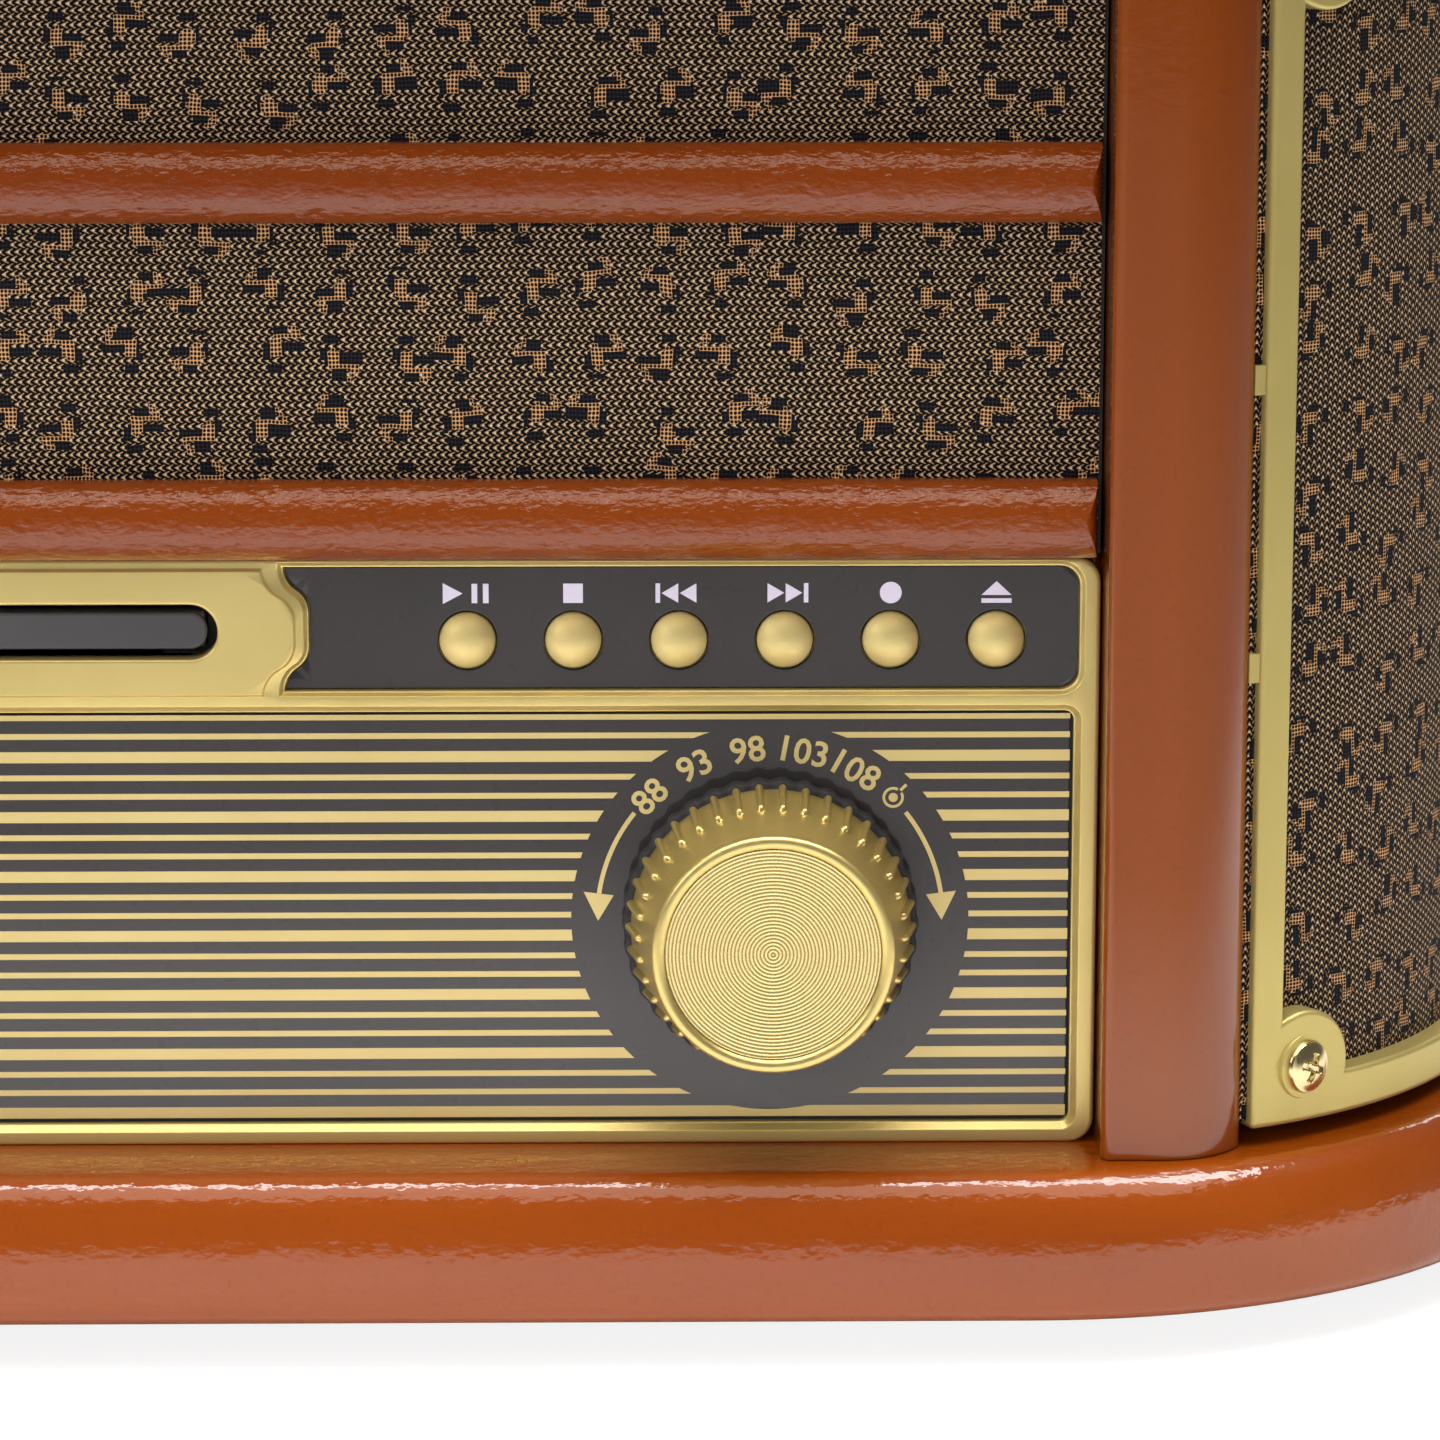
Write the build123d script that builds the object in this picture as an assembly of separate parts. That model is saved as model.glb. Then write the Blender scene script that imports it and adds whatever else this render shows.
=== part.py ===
from build123d import *
from math import acos, asin, atan2, cos, degrees, radians, sin
import os

# Stereo music centre: wooden cabinet, curved corner grilles, moulded control panel,
# drawer for compact discs and a belt-driven record deck under a hinged lid.
# Millimetres. X to the right, Y to the back, Z up, the origin on the ground under the centre.

# ---- running gaps ----
SLIDING_FIT = 0.05        # shaft in its bearing, per side
GUIDE_GAP = 0.2           # moulded part in its guide, per side
SEAM_GAP = 0.3            # cabinet pieces that meet edge to edge
SHADOW_GAP = 1.0          # open joint between the posts and what stands beside them

# ---- cabinet ----
PLINTH_DEPTH = 350.0
PLINTH_THICKNESS = 19.5
PLINTH_CORNER = 80.0      # plan radius of the two front corners
GRILLE_LEAD = 28.9        # corner grille starts this far outside the corner's centre
REAR_CORNER = 14.0        # plan radius of the two rear corners
PLINTH_EDGE = 8.0         # roll along its upper edge
PLINTH_FOOT_EDGE = 3.0    # ... and its lower edge
FOOT_HEIGHT = 5.5
FOOT_RADIUS = 13.0
FOOT_INSET = 55.0         # foot centre from the plinth's edges
BODY_SETBACK = 10.3       # walls and grilles inside the plinth's edge
PANEL_SETBACK = 19.8      # control panel behind the plinth's front edge
BODY_HEIGHT = 169.3       # plinth to top frame
WALL_THICKNESS = 16.0     # wooden side wall
REAR_PANEL_THICKNESS = 4.0
REAR_REBATE = 6.0         # side wall left outside the rear panel
FRAME_SETBACK = 5.0       # top frame and lid inside the plinth's edge
FRAME_REAR_SETBACK = 7.0  # ... and behind, where the hinges stand out
FRAME_THICKNESS = 14.0
FRAME_EDGE = 4.0
FRAME_RIM = 11.5          # width of the frame's upper rim, round the deck
DECK_LEDGE = 10.0         # width of the ledge that carries the deck
DECK_SINK = 5.0           # deck's top below the frame's top

# ---- front ----
POST_WIDTH = 19.0
POST_PROUD = 9.3          # post's face in front of the panel
POST_FLAT = 8.5           # flat of its face, before the outer roll
POST_ROLL_DEPTH = 6.3
POST_EDGE = 1.5
POST_DEPTH = 20.0         # behind the panel's face
POST_STEP = 7.9           # the rear of the post is narrower by this
BACKING_LIP = 3.2         # lip of the post behind panel and front board
CLOTH_THICKNESS = 1.0
CLOTH_SINK = 1.0          # cloth behind the panel's face
SLAT_HEIGHT = 9.7
SLAT_PITCH = 44.2
SLAT_COUNT = 2
SLAT_PROUD = 5.0
SLAT_CROWN = 3.5          # depth of the rounded nose
SLAT_LIFT = 0.8           # lowest slat above the control panel

# ---- control panel ----
PANEL_WIDTH = 367.2
PANEL_HEIGHT = 80.0
PANEL_DEPTH = 8.0
PANEL_CORNER = 3.3
PANEL_RIM = 3.0
PANEL_FLOOR = 2.0         # moulded floor behind the plates
PLATE_SINK = 1.5
PLATE_THICKNESS = 1.0
UPPER_WINDOW_RIM = 2.7    # panel's edge to the button windows
UPPER_WINDOW_HEIGHT = 16.6
LOWER_WINDOW_RIM = 3.3
MID_RAIL = 3.0
WINDOW_CORNER = 2.6
WINDOW_LEAD = 8.7         # inner end of a button window beyond the end of the slot
OGEE_STEP = 3.3           # how far the curved end swings out
OGEE_RISE = 6.1           # height of one S of the curved end
PAD_LEAD = 6.1            # raised pad beyond the end of the slot
PAD_OVERLAP = 0.6         # pad outside the height of the windows
PAD_STEP = 4.3
PAD_RISE = 7.2
PAD_PROUD = 0.6
SLOT_END = 1.8            # mouth beyond each end of the drawer's front
SLOT_MARGIN = 1.3         # ... and above and below it
SLOT_RISE = 70.3          # its middle above the panel's foot
BUTTON_LEAD = 24.2        # first button beyond the inner end of its window
BUTTON_END = 13.7         # last button inside the panel's edge
BUTTON_COUNT = 6
SOCKET_PLACE_COUNT = 3    # button places on the left that the sockets take
BUTTON_RISE = 68.8        # their middle above the panel's foot
BUTTON_RADIUS = 3.7
BUTTON_DOME = 1.9         # rise of the domed head
BUTTON_BODY = 3.2         # straight part in front of the collar
BUTTON_COLLAR = 4.7
COLLAR_THICKNESS = 1.0
BUTTON_STEM = 1.6
BUTTON_TRAVEL = 1.2
SWITCH_SIZE = 6.0
SWITCH_HEIGHT = 3.5
BOARD_THICKNESS = 1.6
BOARD_HEIGHT = 15.0
BOARD_STANDOFF = 8.5      # button board behind the panel's floor
STANDOFF_RADIUS = 2.2
STANDOFF_DROP = 5.3       # standoffs below the row of buttons
DISPLAY_WIDTH = 62.0
DISPLAY_HEIGHT = 28.0
DISPLAY_RISE = 31.0       # its middle above the panel's foot
DISPLAY_DEPTH = 6.0
DISPLAY_FLANGE = 3.0
KNOB_INSET = 43.6         # knob's axis inside the panel's edge
KNOB_RISE = 30.95
KNOB_RADIUS = 18.4
KNOB_FACE = 15.9          # radius at the front rim
KNOB_DISH = 14.1          # radius of the spun face
KNOB_PROUD = 19.6         # front rim ahead of the panel
KNOB_BACK = 5.6           # gold cap starts this far ahead of the panel
KNOB_SHOULDER = 10.8      # ... and starts to taper here
KNOB_RIB = 0.75
KNOB_RIBS = 36
KNOB_SKIRT = 19.2
PUSH_TRAVEL = 0.5
SHAFT_RADIUS = 3.0
BUSHING_RADIUS = 4.4
ENCODER_SIZE = 14.0
ENCODER_DEPTH = 8.0
ROTOR_RADIUS = 5.2
ROTOR_THICKNESS = 3.0

# ---- sockets ----
USB_WIDTH = 13.4
USB_HEIGHT = 6.0
USB_WALL = 0.5
USB_DEPTH = 18.0
USB_LEAD = 1.4            # its middle inside the first button place
JACK_BORE = 1.8
JACK_DEPTH = 15.0
JACK_RING = 4.0
JACK_BODY = 9.0

# ---- corner grilles ----
GRILLE_LENGTH = 65.0      # straight part along the side, behind the corner
GRILLE_THICKNESS = 3.5
GRILLE_LIFT = 2.3         # open joint above and below
GRILLE_BAR = 5.8
GRILLE_FOOT_BAR = 6.1
SCREW_ANGLE = 32.4        # front screws, turned from the front face
SCREW_RISE = 7.8          # screws above the grille's lower edge
SCREW_INSET = 8.0         # rear screws before the grille's rear edge
REAR_SCREW_INSET = 20.0   # rear panel's end screws from its edges
SCREW_HEAD = 3.65
SCREW_HEAD_HEIGHT = 1.6
SCREW_SHANK = 1.6
SCREW_LENGTH = 24.0
BOSS_PAD = 7.6
BOSS_TUBE = 4.0
BAFFLE_THICKNESS = 9.0
BAFFLE_BEND = 27.0        # bend of the baffle, ahead of the corner's centre
BAFFLE_END = 5.5          # its front end behind the panel's face
SPEAKER_HOLE = 36.0
SPEAKER_FLANGE = 43.5
SPEAKER_DEPTH = 38.0
SPEAKER_MAGNET = 24.0
SPEAKER_SHIFT = 18.0      # speaker's axis behind the corner's centre

# ---- rear sockets and inner parts ----
SOCKET_X = -60.0          # first line socket on the rear panel
SOCKET_PITCH = 20.0
SOCKET_COUNT = 2
SOCKET_RISE = 40.0        # rear sockets above the plinth
SOCKET_BARREL = 4.15
SOCKET_BORE = 1.6
SOCKET_PROUD = 8.0
INLET_X = 90.0
INLET_WIDTH = 22.0
INLET_HEIGHT = 13.0
INLET_DEPTH = 16.0
INLET_CORNER = 2.8
VENT_COUNT = 9
VENT_PITCH = 14.0
VENT_LENGTH = 40.0
VENT_WIDTH = 4.5
VENT_DROP = 45.0          # their middle below the panel's top
MAIN_BOARD_WIDTH = 190.0
MAIN_BOARD_DEPTH = 120.0
MAIN_BOARD_LIFT = 7.0
MAIN_BOARD_FOOT = 3.5
MAIN_BOARD_INSET = 8.0    # feet from its edges
CAN_WIDTH = 50.0          # screening can
CAN_DEPTH = 38.0
CAN_HEIGHT = 12.0
CAN_INSET = 20.0
FIN_COUNT = 6
FIN_PITCH = 8.0
FIN_THICKNESS = 3.0
FIN_DEPTH = 24.0
FIN_HEIGHT = 30.0
FIN_INSET = 6.0
TRANSFORMER_WIDTH = 58.0
TRANSFORMER_DEPTH = 46.0
TRANSFORMER_HEIGHT = 48.0
TRANSFORMER_X = 150.0

# ---- disc drawer ----
TRAY_WIDTH = 130.4
TRAY_HEIGHT = 4.7
TRAY_LENGTH = 150.0
TRAY_TRAVEL = 128.0
TRAY_SINK = 1.5
DISC_RECESS = 60.6
DISC_RECESS_DEPTH = 1.4
DISC_CENTRE = 66.0        # disc's middle behind the drawer's front
PICKUP_SLOT = 42.0
CHASSIS_WALL = 2.0
CHASSIS_LEDGE = 6.0

# ---- record deck ----
DECK_THICKNESS = 3.0
SPINDLE_X = -50.0
SPINDLE_Y = -2.0
SPINDLE_RADIUS = 3.55
SPINDLE_TOP = 26.0        # above the deck
SHOULDER_RADIUS = 8.0
PLATTER_RADIUS = 100.0
PLATTER_LIFT = 1.2        # its rim above the deck
PLATTER_HEIGHT = 9.0
PLATTER_WEB = 3.0
PLATTER_WALL = 3.0
DRIVE_RING = 55.0         # radius of the ring that the belt drives
MAT_THICKNESS = 1.5
MAT_RIM = 2.0             # platter left outside the mat
MAT_LABEL = 34.0          # radius of the recess under the record's label
MAT_RECESS = 0.5
PULLEY_DISTANCE = 80.0    # from the spindle
PULLEY_BEARING = 135.0    # degrees round from +X
PULLEY_RADIUS = 6.5
PULLEY_FLANGE = 1.5
BELT_THICKNESS = 0.8
BELT_WIDTH = 3.2
MOTOR_RADIUS = 17.0
MOTOR_HEIGHT = 22.0
MOTOR_SHAFT = 1.0
ARM_X = 140.0
ARM_Y = 95.0              # arm's pivot behind the middle
ARM_LENGTH = 225.0        # pivot to stylus
ARM_PIVOT_HEIGHT = 24.2   # above the deck
ARM_TUBE = 3.0
ARM_HUB = 13.0
ARM_TAIL = 34.0
ARM_TAIL_WEIGHT = 9.0
WEIGHT_LENGTH = 20.0
HEAD_LENGTH = 26.0
HEAD_WIDTH = 13.0
HEAD_THICKNESS = 4.0
HEAD_ANGLE = 20.0
LIFT_LENGTH = 9.0         # finger lift beside the head
LIFT_WIDTH = 3.0
LIFT_THICKNESS = 1.2
CARTRIDGE_HEIGHT = 6.2
BASE_THICKNESS = 3.0
BASE_MARGIN = 8.0         # base plate outside what stands on it
COLUMN_RADIUS = 12.0
COLUMN_HEIGHT = 9.0
YOKE_WALL = 2.5
YOKE_STEM = 4.0
PIVOT_PIN = 1.2
CUE_REACH = 40.0          # cue rod ahead of the arm's pivot
CUE_NEAR = 10.0           # its bearing block starts beside the arm
CUE_BLOCK = 14.0          # ... and is this long
CUE_BLOCK_HALF = 4.5
CUE_CAM = 3.0
CUE_THROW = 1.6
CUE_SHAFT = 2.0
CUE_FINGER = 22.0
CUE_REST = 40.0           # finger below level at rest, in degrees
REST_REACH = 165.0        # arm rest ahead of the arm's pivot
SWITCH_X = 190.0
SWITCH_Y = -95.0
SWITCH_TRAVEL = 8.0
SWITCH_KNOB = 7.0

# ---- lid ----
LID_HEIGHT = 43.2
LID_SEAM = 0.5
LID_WALL = 12.0
LID_TOP = 9.0
LID_EDGE = 10.0
HINGE_X = 150.0
HINGE_WIDTH = 50.0
HINGE_LEAF = 1.5
HINGE_LEAF_HEIGHT = 9.0
HINGE_BARREL = 2.5
HINGE_PIN = 1.2
HINGE_KNUCKLES = 5
HINGE_OFFSET = 3.5        # hinge axis behind the lid
STAY_LENGTH = 75.0
STAY_HALF_WIDTH = 3.4
STAY_THICKNESS = 2.0
STAY_PIN = 1.4
RAIL_THICKNESS = 2.0
RAIL_DROP = 3.3           # rail's lower edge below the hinge axis
RAIL_RISE = 6.5
RAIL_MARGIN = 6.0

# ---- places worked out from the sizes ----
plinth_top = FOOT_HEIGHT + PLINTH_THICKNESS
front_edge = -PLINTH_DEPTH / 2
panel_y = front_edge + PANEL_SETBACK
panel_half = PANEL_WIDTH / 2
post_inner = panel_half + SEAM_GAP
post_outer = post_inner + POST_WIDTH
grille_start = post_outer + SHADOW_GAP
corner_x = grille_start - GRILLE_LEAD
corner_y = front_edge + PLINTH_CORNER
plinth_half = corner_x + PLINTH_CORNER
band_radius = PLINTH_CORNER - BODY_SETBACK
side_x = corner_x + band_radius
wall_x = side_x - WALL_THICKNESS
body_rear = PLINTH_DEPTH / 2 - BODY_SETBACK
front_top = plinth_top + BODY_HEIGHT
frame_top = front_top + FRAME_THICKNESS
deck_top = frame_top - DECK_SINK
deck_under = deck_top - DECK_THICKNESS
frame_rear = PLINTH_DEPTH / 2 - FRAME_REAR_SETBACK
panel_top = plinth_top + PANEL_HEIGHT
plate_face = panel_y + PLATE_SINK
floor_face = plate_face + PLATE_THICKNESS
floor_back = floor_face + PANEL_FLOOR
panel_back = panel_y + PANEL_DEPTH
post_back = panel_y + POST_DEPTH
upper_high = panel_top - UPPER_WINDOW_RIM + 1.5
upper_low = upper_high - UPPER_WINDOW_HEIGHT
lower_high = upper_low - MID_RAIL
lower_low = plinth_top + LOWER_WINDOW_RIM
slot_width = TRAY_WIDTH + 2 * SLOT_END
slot_height = TRAY_HEIGHT + 2 * SLOT_MARGIN
window_start = slot_width / 2 + WINDOW_LEAD
pad_start = slot_width / 2 + PAD_LEAD
button_first = window_start + BUTTON_LEAD
button_last = panel_half - BUTTON_END
button_pitch = (button_last - button_first) / (BUTTON_COUNT - 1)
usb_x = button_first - USB_LEAD
jack_x = button_first + (SOCKET_PLACE_COUNT - 1) * button_pitch
knob_x = panel_half - KNOB_INSET
button_z = plinth_top + BUTTON_RISE
slot_z = plinth_top + SLOT_RISE
knob_z = plinth_top + KNOB_RISE
display_z = plinth_top + DISPLAY_RISE
board_face = floor_back + BOARD_STANDOFF
collar_y = floor_back + GUIDE_GAP
switch_face = board_face - SWITCH_HEIGHT
rotor_front = floor_back + (ENCODER_DEPTH - ROTOR_THICKNESS) / 2 - 0.5
cloth_face = panel_y + CLOTH_SINK
cloth_back = cloth_face + CLOTH_THICKNESS
slat_z = panel_top + SLAT_LIFT
grille_low = plinth_top + GRILLE_LIFT
grille_high = front_top - GRILLE_LIFT
grille_rear = corner_y + GRILLE_LENGTH
speaker_y = corner_y + SPEAKER_SHIFT
speaker_z = (grille_low + grille_high) / 2
tray_face = panel_y + TRAY_SINK
tray_low = slot_z - TRAY_HEIGHT / 2
lid_low = frame_top + LID_SEAM
lid_high = lid_low + LID_HEIGHT
hinge_y = frame_rear + HINGE_OFFSET
hinge_z = frame_top + LID_SEAM / 2
socket_z = plinth_top + SOCKET_RISE
platter_low = deck_top + PLATTER_LIFT
platter_top = platter_low + PLATTER_HEIGHT
web_under = platter_top - PLATTER_WEB
pulley_x = SPINDLE_X + PULLEY_DISTANCE * cos(radians(PULLEY_BEARING))
pulley_y = SPINDLE_Y + PULLEY_DISTANCE * sin(radians(PULLEY_BEARING))
belt_z = (platter_low + web_under) / 2
arm_z = deck_top + ARM_PIVOT_HEIGHT
cue_y = ARM_Y - CUE_REACH
cue_z = arm_z - ARM_TUBE - GUIDE_GAP - CUE_CAM + CUE_THROW
cue_bearing = (ARM_X + CUE_NEAR, ARM_X + CUE_NEAR + CUE_BLOCK)
column_top = deck_top + BASE_THICKNESS + COLUMN_HEIGHT
rail_x = side_x - (LID_WALL - (BODY_SETBACK - FRAME_SETBACK)) - RAIL_THICKNESS
stay_x = rail_x - 0.8 - STAY_THICKNESS
stay_pivot_y = hinge_y - STAY_LENGTH
baffle_face = Vector(wall_x, corner_y - BAFFLE_BEND)
baffle_end = Vector(post_outer - POST_STEP, panel_y + BAFFLE_END)
baffle_slope = atan2(baffle_face.Y - baffle_end.Y, baffle_face.X - baffle_end.X)
screw_facing = Vector(sin(baffle_slope), -cos(baffle_slope))    # square to the bent end of the baffle


# ---- drawing helpers ----
def block(x0, x1, y0, y1, z0, z1):
    """Rectangular block between two corners."""
    return Pos((x0 + x1) / 2, (y0 + y1) / 2, (z0 + z1) / 2) * Box(x1 - x0, y1 - y0, z1 - z0)


def rod_x(radius, x0, x1, y, z):
    """Round rod along X."""
    return Pos((x0 + x1) / 2, y, z) * Rot(0, 90, 0) * Cylinder(radius, x1 - x0)


def rod_y(radius, x, y0, y1, z):
    """Round rod along Y."""
    return Pos(x, (y0 + y1) / 2, z) * Rot(90, 0, 0) * Cylinder(radius, y1 - y0)


def rod_z(radius, x, y, z0, z1):
    """Upright round rod."""
    return Pos(x, y, (z0 + z1) / 2) * Cylinder(radius, z1 - z0)


def front_prism(outline, y0, y1):
    """Outline drawn as seen from the front, carried from y0 back to y1."""
    facing = Plane(origin=(0, y1, 0), x_dir=(1, 0, 0), z_dir=(0, -1, 0))
    return extrude(facing * outline, y1 - y0)


def plan_prism(outline, z0, z1):
    """Outline drawn as seen from above, carried up from z0 to z1."""
    return extrude(Pos(0, 0, z0) * outline, z1 - z0)


def turned(points, x=0, y=0, z=0):
    """Solid turned about an upright axis from (radius, height) points."""
    face = make_face(Plane.XZ * Polyline(*points, close=True))
    return Pos(x, y, z) * revolve(face, Axis.Z)


def turned_front(points, x, z):
    """Solid turned about a Y axis from (radius, depth) points, depths counted along Y."""
    return Pos(x, 0, z) * Rot(-90, 0, 0) * turned([(radius, depth) for radius, depth in points])


def mirrored(shape):
    """The same shape on the other side of the cabinet."""
    return mirror(shape, about=Plane.YZ)


def footprint(inset, rear_inset, rear_radius):
    """Plan of the cabinet, set in from the plinth, with the two large front corners."""
    half = plinth_half - inset
    front = front_edge + inset
    rear = PLINTH_DEPTH / 2 - rear_inset
    plan = Pos(0, (front + rear) / 2) * Rectangle(2 * half, rear - front)
    plan = fillet(plan.vertices().group_by(Axis.Y)[0], PLINTH_CORNER - inset)
    return fillet(plan.vertices().group_by(Axis.Y)[-1], rear_radius)


def corner_plan(radius, length):
    """Everything inside a front corner's outline and the straight side behind it."""
    return Circle(radius) + Pos(radius / 2, length / 2) * Rectangle(radius, length)


def corner_band(outer, inner, start, length, z0, z1):
    """Wall that wraps the right front corner, from start beside the post to length behind it."""
    ring = corner_plan(outer, length + 1) - corner_plan(inner, length + 1)
    keep_x = start - corner_x
    reach = outer + 1
    keep = Pos((keep_x + reach) / 2, (length - reach) / 2) * Rectangle(reach - keep_x, length + reach)
    return plan_prism(Pos(corner_x, corner_y) * (ring & keep), z0, z1)


# ---- cabinet ----
def plinth():
    """Base board with a deep roll above and a small one below."""
    board = plan_prism(footprint(0, 0, REAR_CORNER), FOOT_HEIGHT, plinth_top)
    board = fillet(board.edges().group_by(Axis.Z)[-1], PLINTH_EDGE)
    return fillet(board.edges().group_by(Axis.Z)[0], PLINTH_FOOT_EDGE)


def feet():
    """Four rubber feet under the plinth."""
    foot = turned([
        (0, 0), (FOOT_RADIUS - 2, 0), (FOOT_RADIUS, FOOT_HEIGHT), (0, FOOT_HEIGHT),
    ])
    x = plinth_half - FOOT_INSET
    y = PLINTH_DEPTH / 2 - FOOT_INSET
    return Compound([Pos(side * x, end * y) * foot for side in (-1, 1) for end in (-1, 1)])


def side_panel():
    """Right side wall, stepped in at the front to form the bent loudspeaker baffle."""
    inner = wall_x - BAFFLE_THICKNESS
    end_drop = BAFFLE_THICKNESS / cos(baffle_slope)
    bend_drop = end_drop * (1 - sin(baffle_slope))
    plan = make_face(Polyline(
        (side_x, grille_rear + SEAM_GAP),
        (side_x, body_rear),
        (side_x - REAR_REBATE, body_rear),
        (side_x - REAR_REBATE, body_rear - REAR_PANEL_THICKNESS),
        (wall_x, body_rear - REAR_PANEL_THICKNESS),
        (wall_x, grille_rear + WALL_THICKNESS),
        (inner, grille_rear + WALL_THICKNESS),
        (inner, baffle_face.Y + bend_drop),
        (baffle_end.X, baffle_end.Y + end_drop),
        (baffle_end.X, baffle_end.Y),
        (wall_x, baffle_face.Y),
        (wall_x, grille_rear + SEAM_GAP),
        close=True,
    ))
    wall = plan_prism(plan, plinth_top, front_top)
    wall -= rod_x(SPEAKER_HOLE, inner - 1, wall_x + 1, speaker_y, speaker_z)
    return wall - screw_holes(grille_screw_places() + rear_screw_places())


def rear_panel():
    """Thin back with vent slots and cut-outs for the sockets."""
    half = side_x - REAR_REBATE - GUIDE_GAP
    panel = block(-half, half, body_rear - REAR_PANEL_THICKNESS, body_rear, plinth_top, front_top)
    low, high = body_rear - REAR_PANEL_THICKNESS - 1, body_rear + 1
    slot = Rot(0, 0, 90) * SlotOverall(VENT_LENGTH, VENT_WIDTH)
    vents = Sketch() + [Pos(x, front_top - VENT_DROP) * slot for x in vent_places()]
    panel -= front_prism(vents, low, high)
    for x in socket_places():
        panel -= rod_y(SOCKET_BARREL + GUIDE_GAP, x, low, high, socket_z)
    inlet = RectangleRounded(INLET_WIDTH + 2 * GUIDE_GAP, INLET_HEIGHT + 2 * GUIDE_GAP, INLET_CORNER + GUIDE_GAP)
    panel -= front_prism(Pos(INLET_X, socket_z) * inlet, low, high)
    holes = screw_holes(rear_screw_places())
    return panel - holes - mirrored(holes)


def post():
    """Right front post: flat face, rolled outer edge, lip behind the panel's edge."""
    face = panel_y - POST_PROUD
    outline = Curve() + [
        Line((post_inner, panel_back), (post_inner, face + POST_EDGE)),
        TangentArc((post_inner, face + POST_EDGE), (post_inner + POST_EDGE, face), tangent=(0, -1)),
        Line((post_inner + POST_EDGE, face), (post_inner + POST_FLAT, face)),
        TangentArc((post_inner + POST_FLAT, face), (post_outer, face + POST_ROLL_DEPTH), tangent=(1, 0)),
        Polyline(
            (post_outer, face + POST_ROLL_DEPTH),
            (post_outer, panel_y + CLOTH_SINK),
            (post_outer - POST_STEP, panel_y + CLOTH_SINK),
            (post_outer - POST_STEP, post_back),
            (post_inner - BACKING_LIP, post_back),
            (post_inner - BACKING_LIP, panel_back),
            (post_inner, panel_back),
        ),
    ]
    return plan_prism(make_face(outline), plinth_top, front_top)


def front_board():
    """Board behind the front cloth, above the control panel."""
    half = panel_half
    return block(-half, half, cloth_back, panel_back, panel_top + GUIDE_GAP, front_top)


def front_cloth():
    """Woven cloth stretched over the front board."""
    half = panel_half - SHADOW_GAP / 2
    return block(-half, half, cloth_face, cloth_back, panel_top + GUIDE_GAP, front_top)


def slats():
    """Rounded wooden slats across the cloth, their profile returned round the ends."""
    half = panel_half - SHADOW_GAP + 0.2
    nose = panel_y - SLAT_PROUD
    rows = []
    for row in range(SLAT_COUNT):
        low = slat_z + row * SLAT_PITCH
        high = low + SLAT_HEIGHT
        section = make_face(Plane.YZ * (Curve() + [
            Polyline((cloth_face, high), (nose + SLAT_CROWN, high)),
            ThreePointArc((nose + SLAT_CROWN, high), (nose, (low + high) / 2), (nose + SLAT_CROWN, low)),
            Polyline((nose + SLAT_CROWN, low), (cloth_face, low), (cloth_face, high)),
        ]))
        bar = extrude(section, half, both=True)
        plan = make_face(Curve() + [
            Line((-half, nose + SLAT_CROWN), (-half, cloth_face)),
            Line((-half, cloth_face), (half, cloth_face)),
            Line((half, cloth_face), (half, nose + SLAT_CROWN)),
            TangentArc((half - SLAT_CROWN, nose), (half, nose + SLAT_CROWN), tangent=(1, 0)),
            Line((half - SLAT_CROWN, nose), (SLAT_CROWN - half, nose)),
            TangentArc((SLAT_CROWN - half, nose), (-half, nose + SLAT_CROWN), tangent=(-1, 0)),
        ])
        rows.append((bar & plan_prism(plan, low - 1, high + 1)).solid())
    return Compound(rows)


def top_frame():
    """Wooden frame on top of the cabinet, rebated for the deck."""
    frame = plan_prism(footprint(FRAME_SETBACK, FRAME_REAR_SETBACK, REAR_CORNER), front_top, frame_top)
    rolled = frame.edges().group_by(Axis.Z)[0] + frame.edges().group_by(Axis.Z)[-1]
    frame = fillet(rolled, FRAME_EDGE)
    seat = FRAME_SETBACK + FRAME_RIM
    rear_seat = FRAME_REAR_SETBACK + FRAME_RIM
    frame -= plan_prism(footprint(seat, rear_seat, 3.0), deck_under, frame_top + 1)
    well = footprint(seat + DECK_LEDGE, rear_seat + DECK_LEDGE, 3.0)
    return frame - plan_prism(well, front_top - 1, deck_under + 1)


# ---- screws ----
def grille_screw_places():
    """Planes of the right-hand grille screws: origin on the grille's face, Z along the screw."""
    rises = (grille_low + SCREW_RISE, grille_high - SCREW_RISE)
    turn = radians(SCREW_ANGLE)
    rise = band_radius * (1 - cos(turn - baffle_slope))
    foot = Vector(corner_x + band_radius * sin(turn), corner_y - band_radius * cos(turn)) + screw_facing * rise
    front = [Plane(origin=(foot.X, foot.Y, z), z_dir=(screw_facing.X, screw_facing.Y, 0)) for z in rises]
    rear = [Plane(origin=(side_x, grille_rear - SCREW_INSET, z), z_dir=(1, 0, 0)) for z in rises]
    return front + rear


def rear_screw_places():
    """Planes of the screws that hold the rear panel to the right side wall."""
    x = (wall_x + side_x - REAR_REBATE) / 2
    heights = (plinth_top + REAR_SCREW_INSET, (plinth_top + front_top) / 2, front_top - REAR_SCREW_INSET)
    return [Plane(origin=(x, body_rear, z), z_dir=(0, 1, 0)) for z in heights]


def screw_holes(places):
    """Round holes for the screws' shanks."""
    return Compound([
        place * Pos(0, 0, -SCREW_LENGTH / 2) * Cylinder(SCREW_SHANK, SCREW_LENGTH + 1) for place in places
    ])


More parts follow.
